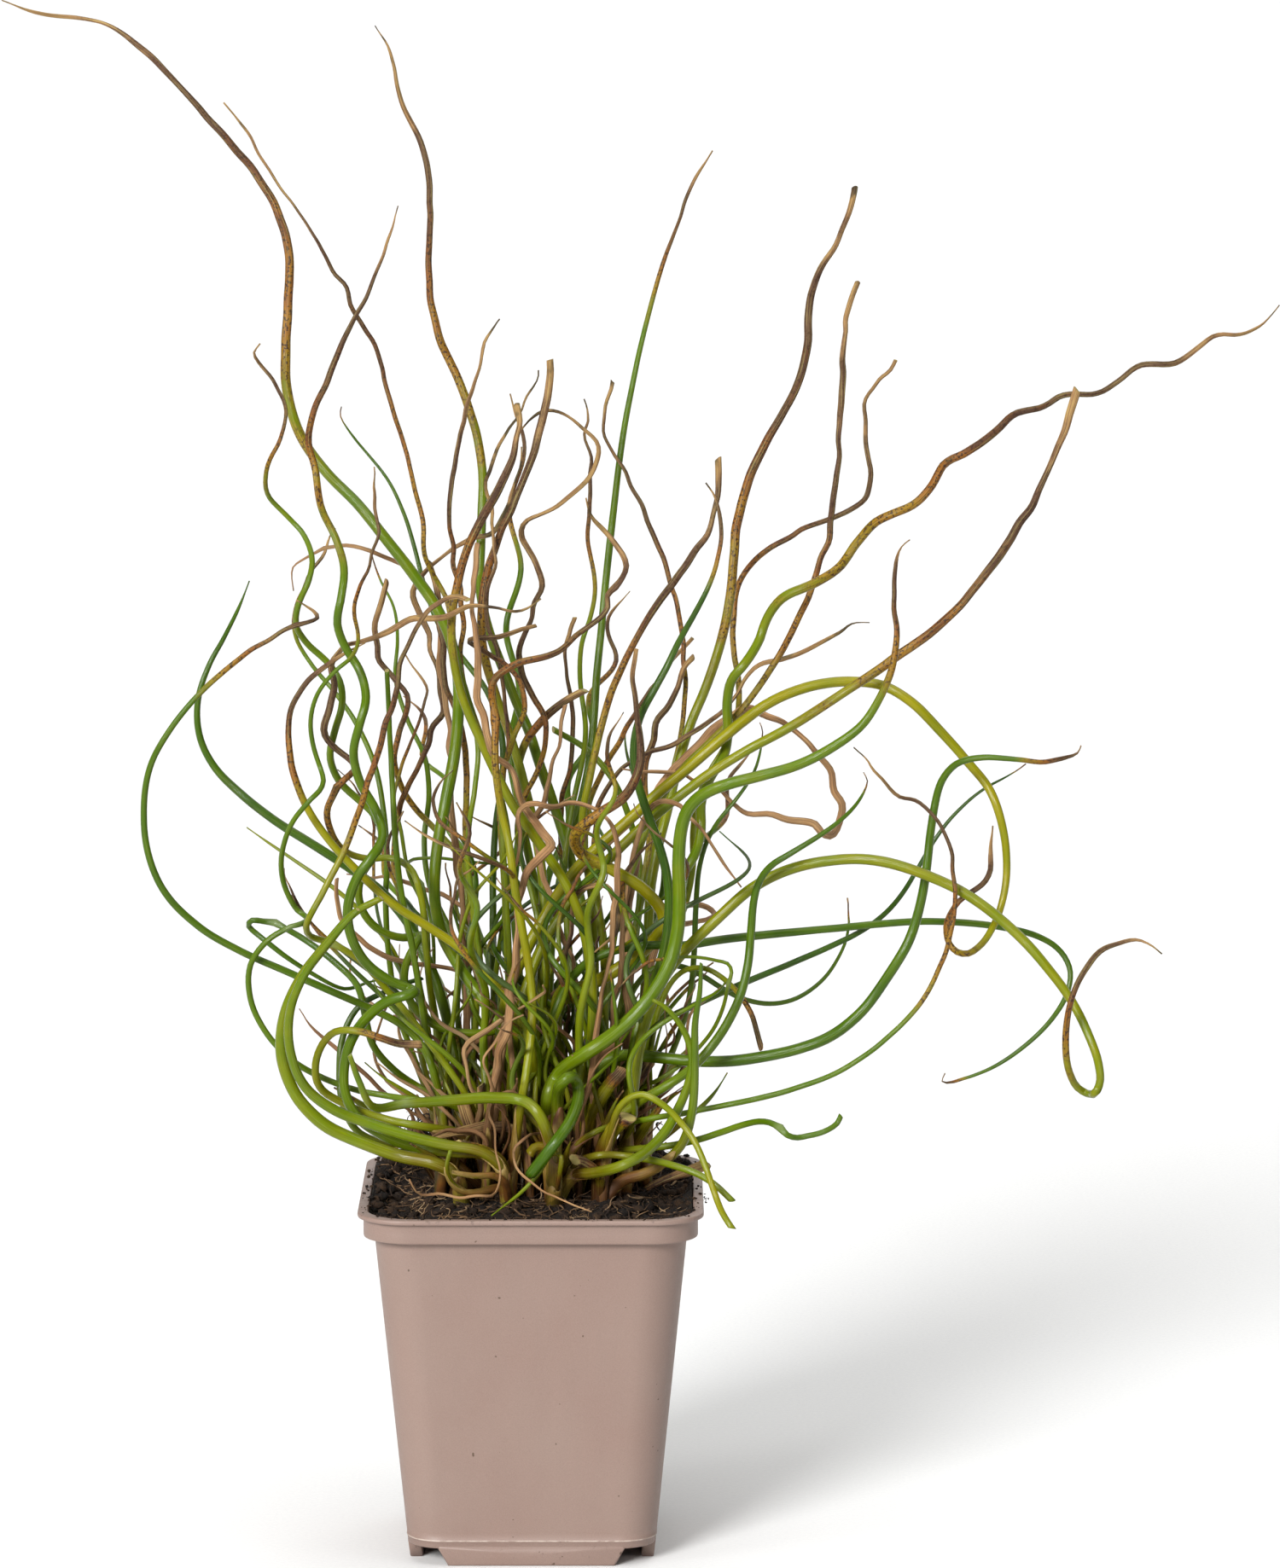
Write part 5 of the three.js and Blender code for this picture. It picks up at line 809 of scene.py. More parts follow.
class Path:
    """A line through space with two directions square to it, the first turned to the front."""

    def __init__(self, points):
        self.points = points
        step = np.linalg.norm(np.diff(points, axis=0), axis=1)
        self.along = np.concatenate([[0], np.cumsum(step)])
        self.length = self.along[-1]
        ahead = unit(np.gradient(points, axis=0))
        front = unit(BOARD_NORMAL - (ahead @ BOARD_NORMAL)[:, None] * ahead)
        for _ in range(3):
            padded = np.vstack([front[:1], front, front[-1:]])
            front = padded[:-2] + 2 * padded[1:-1] + padded[2:]
            front = unit(front - (front * ahead).sum(1)[:, None] * ahead)
        self.front, self.side = front, np.cross(ahead, front)

    def at(self, distance, table):
        """Values of a table, which has one row per point of the line, at distances along it."""
        return np.stack([np.interp(distance, self.along, table[:, k]) for k in range(3)], -1)

    def carry(self, distance, angle, radius):
        """Point of the line at a distance, plus radius times (cosine x front + sine x side)."""
        across = (np.cos(angle) * radius)[..., None] * self.at(distance, self.front)
        beside = (np.sin(angle) * radius)[..., None] * self.at(distance, self.side)
        return self.at(distance, self.points) + across + beside


def with_ends(values, shape, first, last):
    """Values of a grid of points, followed by those of its two poles."""
    return np.append(np.broadcast_to(values, shape).ravel(), [first, last])


def skin_place(angle, height, first, last):
    """Place on a tube's skin, (cosine, sine, height), by which its ribs are drawn, poles last."""
    skin = np.stack([np.cos(angle), np.sin(angle), height], -1)
    return np.vstack([skin.reshape(-1, 3), [[*first, skin[0, 0, 2]], [*last, skin[-1, 0, 2]]]])


# -------- stems

STEM_VALUES = ("skin", "ripe", "tint", "height", "cut", "bruise")

# A stem whose tip is at least this wide ends in a cut face, and any other in a point.
CUT_TIP = 0.9


def ripeness(share, dry):
    """0 in the green part, rising to 1 at the tip from where the stem starts to dry."""
    start = max(0.0, dry - 0.05)
    ripe = np.clip((share - start) / max(0.05, 1 - start), 0, 1)
    early = ripe**1.1 if dry > 0.48 else 1 - (1 - ripe) ** 2
    return early if dry > 0.05 else 0.55 + 0.45 * share


def stem_points(line):
    """The line's points in space with one more between each two, smooth but for the kinks."""
    points = board_to_space(line["u"], line["v"], line["depth"])
    runs = np.split(points, [kink + 1 for kink in line["kinks"] if 1 < kink < len(points) - 3])
    smooth, start = [], points[:0]
    for run in runs:
        run = np.vstack([start, run])
        smooth.append(smooth_through(run, 2)[:-1])
        start = run[-1:]
    return np.vstack([*smooth, points[-1:]])


def crimped(points, stem, number):
    """The line with small waves, deeper where it is dry: point + reach x smooth random step."""
    tuft, base, dry = stem[1], stem[2], stem[4]
    share = np.arange(len(points)) / (len(points) - 1)
    ripe = ripeness(share, dry) if tuft in TUFTS else 0.9 + 0 * share
    place = np.arange(len(points)) / 3.6 + number * 31
    step = np.stack([smooth_noise(place + 700 * axis, 21) for axis in range(3)], -1)
    deepest = 0.35 if tuft in TUFTS and base > 2 else 0.75
    reach = deepest * np.clip(ripe * 2 - 0.2, 0.08, 1) * np.clip(share * 6, 0, 1)
    return points + step * reach[:, None]


def stem_radius(base, tip, share, length, ripe):
    """Half of base + (tip - base) x share to the power 3.1, a little more where ripe, and drawn in
    over the last 9 mm of a pointed stem."""
    radius = (base + (tip - base) * share**3.1) / 2 * (1 + 0.16 * ripe)
    if tip < CUT_TIP:
        radius = radius * np.clip((1 - share) * length / 9, 0.22, 1) ** 0.6
    return np.maximum(radius, 0.19)


def add_stem(surface, line, stem, number, sides):
    """A round stem: rings of radius x (1 + furrows + waves) carried along its crimped line, squeezed to
    a turning oval where it is dry and at kinks. A pole closes it below the soil, and a point or a
    slanting cut face at the tip."""
    tuft, base, tip, dry, hue = stem[1:6]
    chance = np.random.default_rng(900 + number)
    path = Path(crimped(stem_points(line), stem, number))
    along = path.along[:, None]
    share, angle = along / path.length, turns(sides)
    cut = tip >= CUT_TIP
    ripe = ripeness(share, dry) if tuft in TUFTS else 0.6 + 0.4 * share
    ripe = ripe * (0.95 if cut else 1)
    withered = np.clip(ripe * 1.2 - 0.3, 0, 1) if dry > 0.3 else np.full_like(share, 0.9)
    radius = stem_radius(base, tip, share, path.length, ripe)
    wave = smooth_noise(along / 14 + number * 37, 5) * (0.03 + 0.09 * withered)
    furrow = np.cos(3 * angle + along / 9 + number) * 0.07 * withered
    flat = 1 - withered * chance.uniform(0.35, 0.62)
    twist = along / chance.uniform(9, 26) + number
    bruise = np.zeros_like(share)
    for kink in line["kinks"]:
        middle = path.along[min(len(along) - 1, kink * 2)]
        near = np.exp(-(((along - middle) / 1.8) ** 2))
        flat = flat * (1 - 0.45 * near)
        radius = radius * (1 + 0.12 * near)
        bruise = np.maximum(bruise, near)
    distance = along + 0 * angle
    if cut:
        slant = chance.uniform(0.3, 1.1)
        back = (1 + np.cos(angle + chance.uniform(0, 6))) * slant * radius[-1]
        distance[-1:] = path.length - back
        distance[-2:-1] = np.minimum(distance[-2:-1], distance[-1:] - 0.3)
    squeeze = np.hypot(np.cos(angle - twist), flat * np.sin(angle - twist))
    squeeze = squeeze * (2 / (1 + flat)) ** 0.8
    rings = path.carry(distance, angle + 0 * share, radius * (1 + wave + furrow) * squeeze)
    face = np.zeros_like(share)
    if cut:
        middle = rings[-1].mean(0)
        rings = np.concatenate([rings, middle + (rings[-1:] - middle) * 0.8])
        distance, ripe, bruise = (np.vstack([grid, grid[-1:]]) for grid in (distance, ripe, bruise))
        face = np.vstack([face, [[1.0]]])
    shape = rings.shape[:2]
    surface.add_tubes(
        rings[None], np.stack([rings[0].mean(0), rings[-1].mean(0)]),
        skin=skin_place(np.broadcast_to(angle, shape), distance / 10 + number * 7.3, (0, 0), (0, 0)),
        ripe=with_ends(ripe, shape, 0, ripe[-1, 0]),
        tint=chance.uniform(0, 1) if hue is None else hue,
        height=with_ends(distance, shape, 0, path.length),
        cut=with_ends(face, shape, 0, float(cut)),
        bruise=with_ends(bruise, shape, 0, 0),
    )


def add_sheath(surface, path, radius, number, rank, reach):
    """A papery basal leaf round a stem's foot: a tube a little wider than the stem, whose mouth slants,
    flares at the tip of the slant and turns in to the stem."""
    chance = np.random.default_rng(4000 + number * 7 + rank)
    rows, sides = 15, 14
    angle = np.broadcast_to(turns(sides), (rows, sides))
    share = np.minimum(1, np.arange(rows) / (rows - 2))[:, None]
    facing = chance.uniform(0, 2 * math.pi)
    slant = 0.5 + 0.5 * np.cos(angle - facing)
    mouth = reach * (0.66 + 0.34 * slant**1.6)
    distance = 1.5 + (mouth - 1.5) * share
    stem = np.interp(distance, path.along, radius)
    thick = 0.24 + 0.16 * rank + 0.5 * np.clip(share - 0.82, 0, 1) * slant
    ridge = 0.05 * np.cos(5 * angle + number) * (1 - share * 0.5)
    swell = 0.5 * (1 - share) ** 2
    size = stem + (thick + ridge + swell) * (1 - 0.12 * share)
    size[-1] = stem[-1] * 0.9
    rings = path.carry(distance, angle, size)
    surface.add_tubes(
        rings[None], np.stack([rings[0].mean(0), rings[-1].mean(0)]),
        skin=skin_place(angle, distance / 10 + number * 3.1, (1, 0), (1, 0)),
        height=with_ends(share, rings.shape[:2], 0, 1), tint=chance.uniform(0, 1),
    )


def add_rootstock(surface, place, radius, number):
    """The woody foot of a tuft: a dome, radius x (1 + bumps), that stands a little out of the soil."""
    rows, sides = 10, 18
    foot = 86  # well down in the soil
    angle = np.broadcast_to(turns(sides), (rows, sides))
    rise = np.linspace(0, 1, rows)[:, None]
    size = radius * (0.85 + 0.35 * np.sin(rise * math.pi * 0.9)) * np.sqrt(np.clip(1.02 - rise**3, 0, 1))
    size = size * (1 + 0.12 * np.cos(3 * angle + number) + 0.06 * np.cos(7 * angle - 2 * number))
    z = foot + (PLUG["top"] - 0.4 - foot) * rise + 0 * angle
    rings = np.stack([place[0] + size * np.cos(angle), place[1] + size * np.sin(angle), z], -1)
    ends = np.array([[*place, foot], [*place, PLUG["top"] + 0.1]])
    surface.add_tubes(
        rings[None], ends, skin=skin_place(angle, z / 10 + number, (1, 0), (1, 0)), height=0.1, tint=0.3
    )


# Small growth between the long stems: how many, length, width at foot and tip, share of the length at
# which it starts to dry, sway, and a tuft of its kind.
FILLERS = {
    "slim_green": (70, (40, 140), (1.0, 1.9), (0.4, 0.7), (0.7, 1.2), 9.0, "c2"),
    "loose_straw": (80, (20, 80), (0.6, 1.3), (0.35, 0.6), (0.0, 0.3), 10.0, "s1"),
    "young_shoot": (34, (20, 62), (2.4, 3.8), (0.7, 0.8), (0.85, 1.0), 2.0, "c2"),
    "cut_stub": (30, (10, 26), (1.6, 2.6), (1.4, 2.2), (0.1, 0.5), 0.5, "c2"),
}

# Stout shoots and cut ends low at the front, written as the stems are.
FRONT_GROWTH = [
    ("stout_shoot_right", "b4",4.8,2.8,0.88,0.08,8,"24.3 34.4, 20 29, 15.6 21.8, 13 12"),
    ("sheathed_shoot_right", "a4",4.8,3.6,0.93,0.12,6,"26.2 21.8, 22 18.6, 19.6 15, 18.2 9"),
    ("stout_shoot_behind", "c4",4.2,2.4,0.85,0.1,6,"31 36, 26 28, 21.5 20, 19 12"),
    ("pale_stub_front", "a3",2.6,2.6,2,0,12,"-1.2 10.2, 1.4 13.6, 4.4 12, 6 7"),
    ("orange_arc_front", "b3",2.8,0.9,0.04,0,22,"-26 15, -20 17, -12 18.2, -5 17.6, -1 13"),
    ("olive_stub_left", "a2",2.8,2.4,0.8,0.05,14,"-21 13.4, -14 12.6, -8 9"),
    ("brown_stub_left", "b2",2.6,2.2,0.1,0.1,10,"-19 27, -17 20, -14 12"),
    ("brown_stub_middle_left", "b2",2.4,2,0.2,0.1,8,"-13.6 30, -12.6 20, -12 12"),
    ("olive_stub_middle", "b3",3.2,2.6,0.7,0.05,8,"5 27, 4 18, 2 10"),
    ("brown_stub_right", "b4",2.8,2.2,0.15,0.1,6,"10.6 24, 10.2 16, 11 9"),
    ("low_branch_right", "a4",2.6,2.2,0.55,0.3,12,"10 9.6, 14 8.6, 17.4 6"),
]


def filler_line(chance, length, sway):
    """A short stem's line: up from a place among the tufts, out with the 1.5th power of its share and
    to and fro in a growing corkscrew."""
    share = np.linspace(0, 1, max(5, int(length / 3)))
    place = chance.uniform((-25, -12), (25, 26))
    place = place * min(1, 27 / (np.hypot(*place) + 1e-6))
    out = chance.uniform(-0.55, 0.55, 2) * (20 + length * 0.6) + place * chance.uniform(0, 0.5)
    turn = chance.uniform(0, 6.3) + share * chance.uniform(3, 10) * (0.3 + length / 90)
    swing = sway * share * length / 90
    points = np.stack([
        place[0] + out[0] * share**1.5 + swing * np.sin(turn),
        place[1] + out[1] * share**1.5 + swing * np.cos(turn),
        soil_height(*place) - 4 + length * share * (1 - 0.12 * share),
    ], -1)
    u, v, depth = space_to_board(points)
    return {"u": u, "v": v, "depth": depth, "kinks": []}


def add_fillers(surface, kind, seed):
    """The small growth between the tufts' long stems, of one kind."""
    count, lengths, bases, tips, dries, sway, tuft = FILLERS[kind]
    chance = np.random.default_rng(seed)
    for number in range(count):
        line = filler_line(chance, chance.uniform(*lengths), sway)
        widths = chance.uniform(*bases), chance.uniform(*tips)
        stem = (kind, tuft, *widths, chance.uniform(*dries), None, 0, "")
        add_stem(surface, line, stem, seed + number, 8)


# -------- soil

# Low heaps at the back: x, y and rise. Lumps all over the soil: size and rise.
BACK_HEAPS = ((-27, 27, 7.0), (26, 30, 3.0))
LUMPS = ((9.0, 0.75), (4.0, 0.55), (1.8, 0.32), (0.8, 0.14))

# How far crumbs, dust and fibres lie from the pot's axis, each with the radius of the round corners.
CRUMB_EDGE = (42.0, 12.0)
DUST_EDGE = (42.6, 12.4)
FIBRE_EDGE = (40.8, 11.5)

# Heaps of curled roots left on the soil: middle, spread and number.
ROOT_HEAPS = [
    ((-29, 24, 100), (3.8, 3.5, 6.5), 190),
    ((-20, 29, 96), (6.0, 3.0, 3.0), 70),
    ((28, 12, 97), (3.0, 3.0, 6.5), 120),
    ((44.5, -8, 92.5), (1.3, 2.2, 0.9), 16),
]


def last_inside(is_outside, farthest):
    """The last reach that isn't outside, in each direction, found by halving the way 40 times."""
    low, high = np.zeros_like(farthest), farthest
    for _ in range(40):
        middle = (low + high) / 2
        outside = is_outside(middle)
        low, high = np.where(outside, low, middle), np.where(outside, middle, high)
    return low


def past_corner(x, y, half, corner):
    """Where a point to the right of and above the middle is outside a square with round corners."""
    over_x, over_y = x - (half - corner), y - (half - corner)
    past_arc = np.hypot(np.maximum(over_x, 0), np.maximum(over_y, 0)) > corner
    return past_arc | (np.maximum(over_x, over_y) > corner)


def rounded_reach(angle, half, corner):
    """Distance from the middle to the edge of a square with round corners, in each direction."""
    x, y = np.abs(np.cos(angle)), np.abs(np.sin(angle))
    farthest = np.full_like(angle, half * 1.5)
    return last_inside(lambda reach: past_corner(x * reach, y * reach, half, corner), farthest)


def square_ring(angle, half, z):
    """A level ring round a square with the pot's round corners; half and z may be columns of values."""
    half, z = half + 0 * angle, z + 0 * angle
    reach = rounded_reach(angle + 0 * half, half, half * POT["corner_share"])
    return np.stack([reach * np.cos(angle), reach * np.sin(angle), z], -1)


def soil_relief(x, y):
    """The soil's slope and heaps, drawn up to the rim along the sides and over it at the back, with
    a mound at each rootstock and lumps of each size added."""
    height = soil_height(x, y)
    out = np.maximum(np.abs(x), np.abs(y))
    bank = np.clip((out - 33) / 9, 0, 1) ** 2 * np.clip((y + 38) / 30, 0.25, 1)
    height = height + bank * np.maximum(0, POT["height"] + 0.5 - height)
    for spot_x, spot_y, rise in BACK_HEAPS:
        height = height + rise * np.exp(-((x - spot_x) ** 2 + (y - spot_y) ** 2) / 70)
    for place in (*TUFTS.values(), *DRY_TUFTS.values()):
        height = np.maximum(height, PLUG["top"] + 0.1 - (np.hypot(x - place[0], y - place[1]) / 6) ** 2)
    for size, rise in LUMPS:
        height = height + rise * smooth_noise_2d(x / size + 40, y / size + 70, int(size * 10))
    return height


def soil_surface():
    """Discs of growing size round the middle, each point at the relief's height; the last ring stands
    along the pot's wall and goes down it to a flat underside."""
    rings, sides = 150, 420
    angle = turns(sides)
    inside = POT["band_half"] - POT["wall"] - 0.25
    edge = rounded_reach(angle, inside, inside * POT["corner_share"])
    share = np.linspace(0.004, 1, rings)[:, None]
    x, y = share * edge * np.cos(angle), share * edge * np.sin(angle)
    top = np.stack([x, y, np.minimum(soil_relief(x, y), 102)], -1)
    ledge = POT["height"] - POT["band_height"] + POT["wall"] + CLEAR
    body = POT["body_top_half"] - POT["wall"] - 0.6
    bottom = FOOT["height"] + POT["floor_thickness"] + CLEAR
    foot = POT["body_foot_half"] - POT["wall"] - 0.2
    steps = ((inside, ledge), (body, ledge - 0.4), (foot, bottom))
    skirt = [square_ring(angle, half, z) for half, z in steps]
    ends = np.array([[0, 0, soil_relief(np.zeros(1), np.zeros(1))[0]], [0, 0, bottom]])
    surface = Surface("tint")
    surface.add_tubes(np.concatenate([top, *skirt])[None], ends, False, tint=0.5)
    return surface


def crumb_places(count, chance):
    """Where crumbs lie: all over the soil, more of them along its edge, and a few on the rim."""
    size = 0.3 + 1.2 * chance.random(count) ** 3.2
    x, y = chance.uniform(-CRUMB_EDGE[0], CRUMB_EDGE[0], (2, count))
    keep = rounded_reach(np.arctan2(y, x), *CRUMB_EDGE) > np.hypot(x, y) + size
    x, y, size = x[keep], y[keep], size[keep]
    turn = chance.uniform(0, 2 * math.pi, count // 14)
    reach = rounded_reach(turn, *DUST_EDGE) + chance.uniform(-1.2, 1.9, len(turn))
    dust = 0.12 + 0.4 * chance.random(len(turn)) ** 3
    rim_x, rim_y = reach * np.cos(turn), reach * np.sin(turn)
    rim_z = np.maximum(soil_relief(rim_x, rim_y), POT["height"]) + dust * 0.3
    z = soil_relief(x, y) + size * 0.25
    return np.append(x, rim_x), np.append(y, rim_y), np.append(z, rim_z), np.append(size, dust)


def crumb_surface(count, seed):
    """Crumbs of peat: small rough balls, radius x (1 + bumps), half sunk in what they lie on."""
    chance = np.random.default_rng(seed)
    x, y, z, size = crumb_places(count, chance)
    count = len(x)
    rows, sides = 5, 7
    rise = np.linspace(0.22, math.pi - 0.22, rows)[None, :, None]
    angle = turns(sides)[None]
    bump = 1 + chance.uniform(-0.24, 0.24, (count, rows, sides))
    squash = chance.uniform(0.6, 1.0, (count, 1, 1))
    turn = chance.uniform(0, 6.3, (count, 1, 1))
    long = chance.uniform(1.0, 1.7, (count, 1, 1))
    flat_x = np.sin(rise) * np.cos(angle) * bump * long
    flat_y = np.sin(rise) * np.sin(angle) * bump
    body = np.stack([
        flat_x * np.cos(turn) - flat_y * np.sin(turn),
        flat_x * np.sin(turn) + flat_y * np.cos(turn),
        -np.cos(rise) * bump * squash,
    ], -1) * size[:, None, None, None]
    rings = body + np.stack([x, y, z], -1)[:, None, None]
    ends = np.stack([np.stack([x, y, z + side * size * 0.85], -1) for side in (-1, 1)], 1)
    surface = Surface("tint")
    surface.add_tubes(rings, ends, tint=np.repeat(chance.random(count), rows * sides + 2))
    return surface


def curled_roots(chance, middle, spread, count):
    """Curled roots in a heap: middle of each arc + radius x (cos turn, sin turn) in planes that face
    every way, the arcs' middles spread by the upper half of a bell curve."""
    across = unit(chance.normal(size=(count, 1, 3)))
    normal = unit(np.cross(across, chance.normal(size=(count, 1, 3))))
    up = np.cross(normal, across)
    turn = chance.uniform(1.2, 4.6, (count, 1, 1)) * np.linspace(-0.5, 0.5, 12)[None, :, None]
    place = chance.normal(size=(count, 1, 3)) * [0.7, 0.7, 0.6]
    place[..., 2] = np.abs(place[..., 2])
    radius = chance.uniform(1.0, 4.0, (count, 1, 1)) * spread[2] / 6.5
    line = middle + place * spread + radius * (np.cos(turn) * across + np.sin(turn) * up)
    side = np.broadcast_to(normal, line.shape)
    return line, side, chance.uniform(0.12, 0.32, count), chance.uniform(0, 0.5, count)


def slack_fibres(chance, count):
    """Fibres that lie on the soil along slack arcs, some with an end up: line, side, thickness, tint."""
    length = 2.5 + 13 * chance.random(count) ** 1.8
    thick = chance.uniform(0.07, 0.2, count) * (0.7 + length / 14)
    x, y = chance.uniform(-38, 38, (2, count))
    heading = chance.uniform(0, 2 * math.pi, count)
    bend = chance.uniform(-1.6, 1.6, count)
    along = np.linspace(-0.5, 0.5, 12)[None]
    way = heading[:, None] + bend[:, None] * along
    wiggle = 0.35 * np.sin(along * chance.uniform(6, 20, (count, 1)))
    px = x[:, None] + np.cos(way + wiggle) * along * length[:, None]
    py = y[:, None] + np.sin(way + wiggle) * along * length[:, None]
    limit = rounded_reach(np.arctan2(py, px), *FIBRE_EDGE)
    draw = np.minimum(1, limit / np.maximum(np.hypot(px, py), 1e-6))
    px, py = px * draw, py * draw
    raised = chance.random((count, 1)) ** 4 * 4.5 * (along + 0.5) ** 2
    pz = soil_relief(px, py) + 0.25 + thick[:, None] * 0.4 + raised
    for _ in range(2):
        pz[:, 1:-1] = np.maximum(pz[:, 1:-1], (pz[:, :-2] + pz[:, 2:]) / 2)
    line = np.stack([px, py, pz], -1)
    side = unit(np.cross(unit(np.gradient(line, axis=1)), [0.0, 0.0, 1.0]))
    return line, side, thick, chance.random(count)


def fibre_surface(count, seed):
    """Slack fibres and heaps of curled roots, all thin tubes at once: at each point of a line, thick x
    (1.05 - 1.44 x distance from the middle) x (cosine x side + sine x over)."""
    chance = np.random.default_rng(seed)
    strands = [slack_fibres(chance, count), *(curled_roots(chance, *heap) for heap in ROOT_HEAPS)]
    line, side, thick, tint = (np.concatenate(values) for values in zip(*strands))
    rows, sides = line.shape[1], 5
    over = np.cross(side, unit(np.gradient(line, axis=1)))
    angle = turns(sides)[None, :, :, None]
    share = np.linspace(0, 1, rows)
    taper = (thick[:, None] * (1.05 - 1.44 * np.abs(share - 0.5)))[:, :, None, None].clip(0.03)
    rings = line[:, :, None] + taper * (np.cos(angle) * side[:, :, None] + np.sin(angle) * over[:, :, None])
    surface = Surface("tint")
    surface.add_tubes(rings, line[:, [0, -1]], False, tint=np.repeat(tint, rows * sides + 2))
    return surface


# -------- pot

BAND_FOOT = POT["height"] - POT["band_height"]
LIP_FOOT = POT["height"] - POT["lip_height"]
WALL_SLOPE = (POT["body_top_half"] - POT["body_foot_half"]) / (BAND_FOOT - FOOT["height"])

# Height of the fine seam that the mould leaves above the foot.
SEAM = 6.6


def wall(z):
    """Half width of the body's outside at a height."""
    return POT["body_foot_half"] + WALL_SLOPE * (z - FOOT["height"])


def pot_profile():
    """Half width and height, from the underside up the outside, over the lip and down the inside."""
    height, foot, band, lip = POT["height"], FOOT["height"], POT["band_half"], POT["lip_half"]
    inner, thick = band - POT["wall"], POT["wall"]
    outside = [(wall(foot) - 0.5, foot), (wall(foot) - 0.12, foot + 0.12), (wall(5.1), 5.2)]
    outside += [(wall(SEAM + up) + out, SEAM + up) for up, out in ((0, 0), (0.15, 0.16), (0.35, 0.16))]
    outside += [(wall(z), z) for z in (SEAM + 0.5, *np.linspace(9, BAND_FOOT - 1.4, 24))]
    outside += [
        (wall(BAND_FOOT - 0.9) + 0.02, BAND_FOOT - 0.9), (wall(BAND_FOOT) + 0.12, BAND_FOOT - 0.35),
        (wall(BAND_FOOT) + 0.5, BAND_FOOT), (band - 0.35, BAND_FOOT), (band - 0.1, BAND_FOOT + 0.1),
        (band, BAND_FOOT + 0.4), (band, BAND_FOOT + 2.5), (band, LIP_FOOT - 0.35),
        (band + 0.1, LIP_FOOT - 0.1), (band + 0.4, LIP_FOOT), (lip - 0.35, LIP_FOOT),
        (lip - 0.08, LIP_FOOT + 0.1), (lip, LIP_FOOT + 0.4), (lip, height - 0.4),
        (lip - 0.1, height - 0.1), (lip - 0.4, height),
    ]
    floor = foot + POT["floor_thickness"]
    inside = [
        (inner + 0.4, height), (inner + 0.1, height - 0.1), (inner, height - 0.4), (inner, height - 3),
        (inner, BAND_FOOT + 1.6), (inner - 0.4, BAND_FOOT + thick),
        (POT["body_top_half"] - thick, BAND_FOOT + thick), (wall(40) - thick, 40),
        (wall(floor) - thick, floor),
    ]
    return np.array(outside + inside)


def pot_surface():
    """The pot's profile carried round a square with round corners, with a floor, four foot tabs and a
    centre foot."""
    sides = 240
    profile = pot_profile()
    shell = square_ring(turns(sides), profile[:, :1], profile[:, 1:])
    surface = Surface()
    surface.add(shell.reshape(-1, 3), grid_faces(len(profile), sides))
    for x_side, y_side in ((-1, -1), (-1, 1), (1, -1), (1, 1)):
        add_floor_quarter(surface, x_side, y_side, 48)
    for side in range(4):
        add_foot(surface, side * math.pi / 2)
    add_centre_foot(surface)
    return surface


def add_floor_quarter(surface, x_side, y_side, count):
    """A quarter of the floor: rays from the middle of its hole to the quarter's outline, below and
    above, joined by the hole's wall and by the outline."""
    angle = np.arange(count) / count * 2 * math.pi
    reach, half = DRAIN["reach"], POT["body_foot_half"] - 0.4

    def past_outline(way):
        x, y = reach + np.cos(angle) * way, reach + np.sin(angle) * way
        return past_corner(x, y, half, half * POT["corner_share"]) | (np.minimum(x, y) < -0.05)

    edge = last_inside(past_outline, np.full(count, half * 2))
    bottom, top = FOOT["height"], FOOT["height"] + POT["floor_thickness"]
    section = np.array([
        (1, top), (1, bottom), (0.5, bottom), (0.06, bottom), (0, bottom + 0.2),
        (0, top - 0.2), (0.06, top), (0.5, top),
    ])
    size = DRAIN["radius"] + (edge - DRAIN["radius"]) * section[:, :1]
    points = np.stack([
        x_side * (reach + np.cos(angle) * size), y_side * (reach + np.sin(angle) * size),
        section[:, 1:] + 0 * size,
    ], -1)
    rows = len(section)
    ring = np.arange(count)
    last = ring + (rows - 1) * count
    closing = np.stack([last, np.roll(last, -1), np.roll(ring, -1), ring], -1)
    faces = np.vstack([grid_faces(rows, count), closing])
    surface.add(points.reshape(-1, 3), faces if x_side * y_side < 0 else faces[:, ::-1])


def add_foot(surface, turn):
    """A foot tab: a slab with slanting ends and softened edges, thin rings of its outline from the
    outer face to the inner one."""
    depth, steps = FOOT["depth"], np.linspace(-1, 1, 17)
    softened = ((0, 0.5), (0.12, 0.12), (0.5, 0), (depth - 0.5, 0), (depth - 0.12, 0.12), (depth, 0.5))
    rings = []
    for across, inset in softened:
        half_top, half_sole = FOOT["top_half"] - inset, FOOT["sole_half"] - inset
        sole = np.stack([steps * half_sole, np.full(17, inset)], -1)
        head = np.stack([-steps * half_top, np.full(17, FOOT["sunk_top"])], -1)
        outline = np.vstack([sole, [[half_top, FOOT["height"]]], head, [[-half_top, FOOT["height"]]]])
        rings.append(np.stack([outline[:, 0], across - wall(outline[:, 1]), outline[:, 1]], -1))
    rings = np.array(rings)
    ends = np.vstack([rings[0].mean(0), rings[-1].mean(0)])
    spin = np.array([[math.cos(turn), -math.sin(turn), 0], [math.sin(turn), math.cos(turn), 0], [0, 0, 1]])
    surface.add_tubes((rings @ spin.T)[None], ends @ spin.T, False)


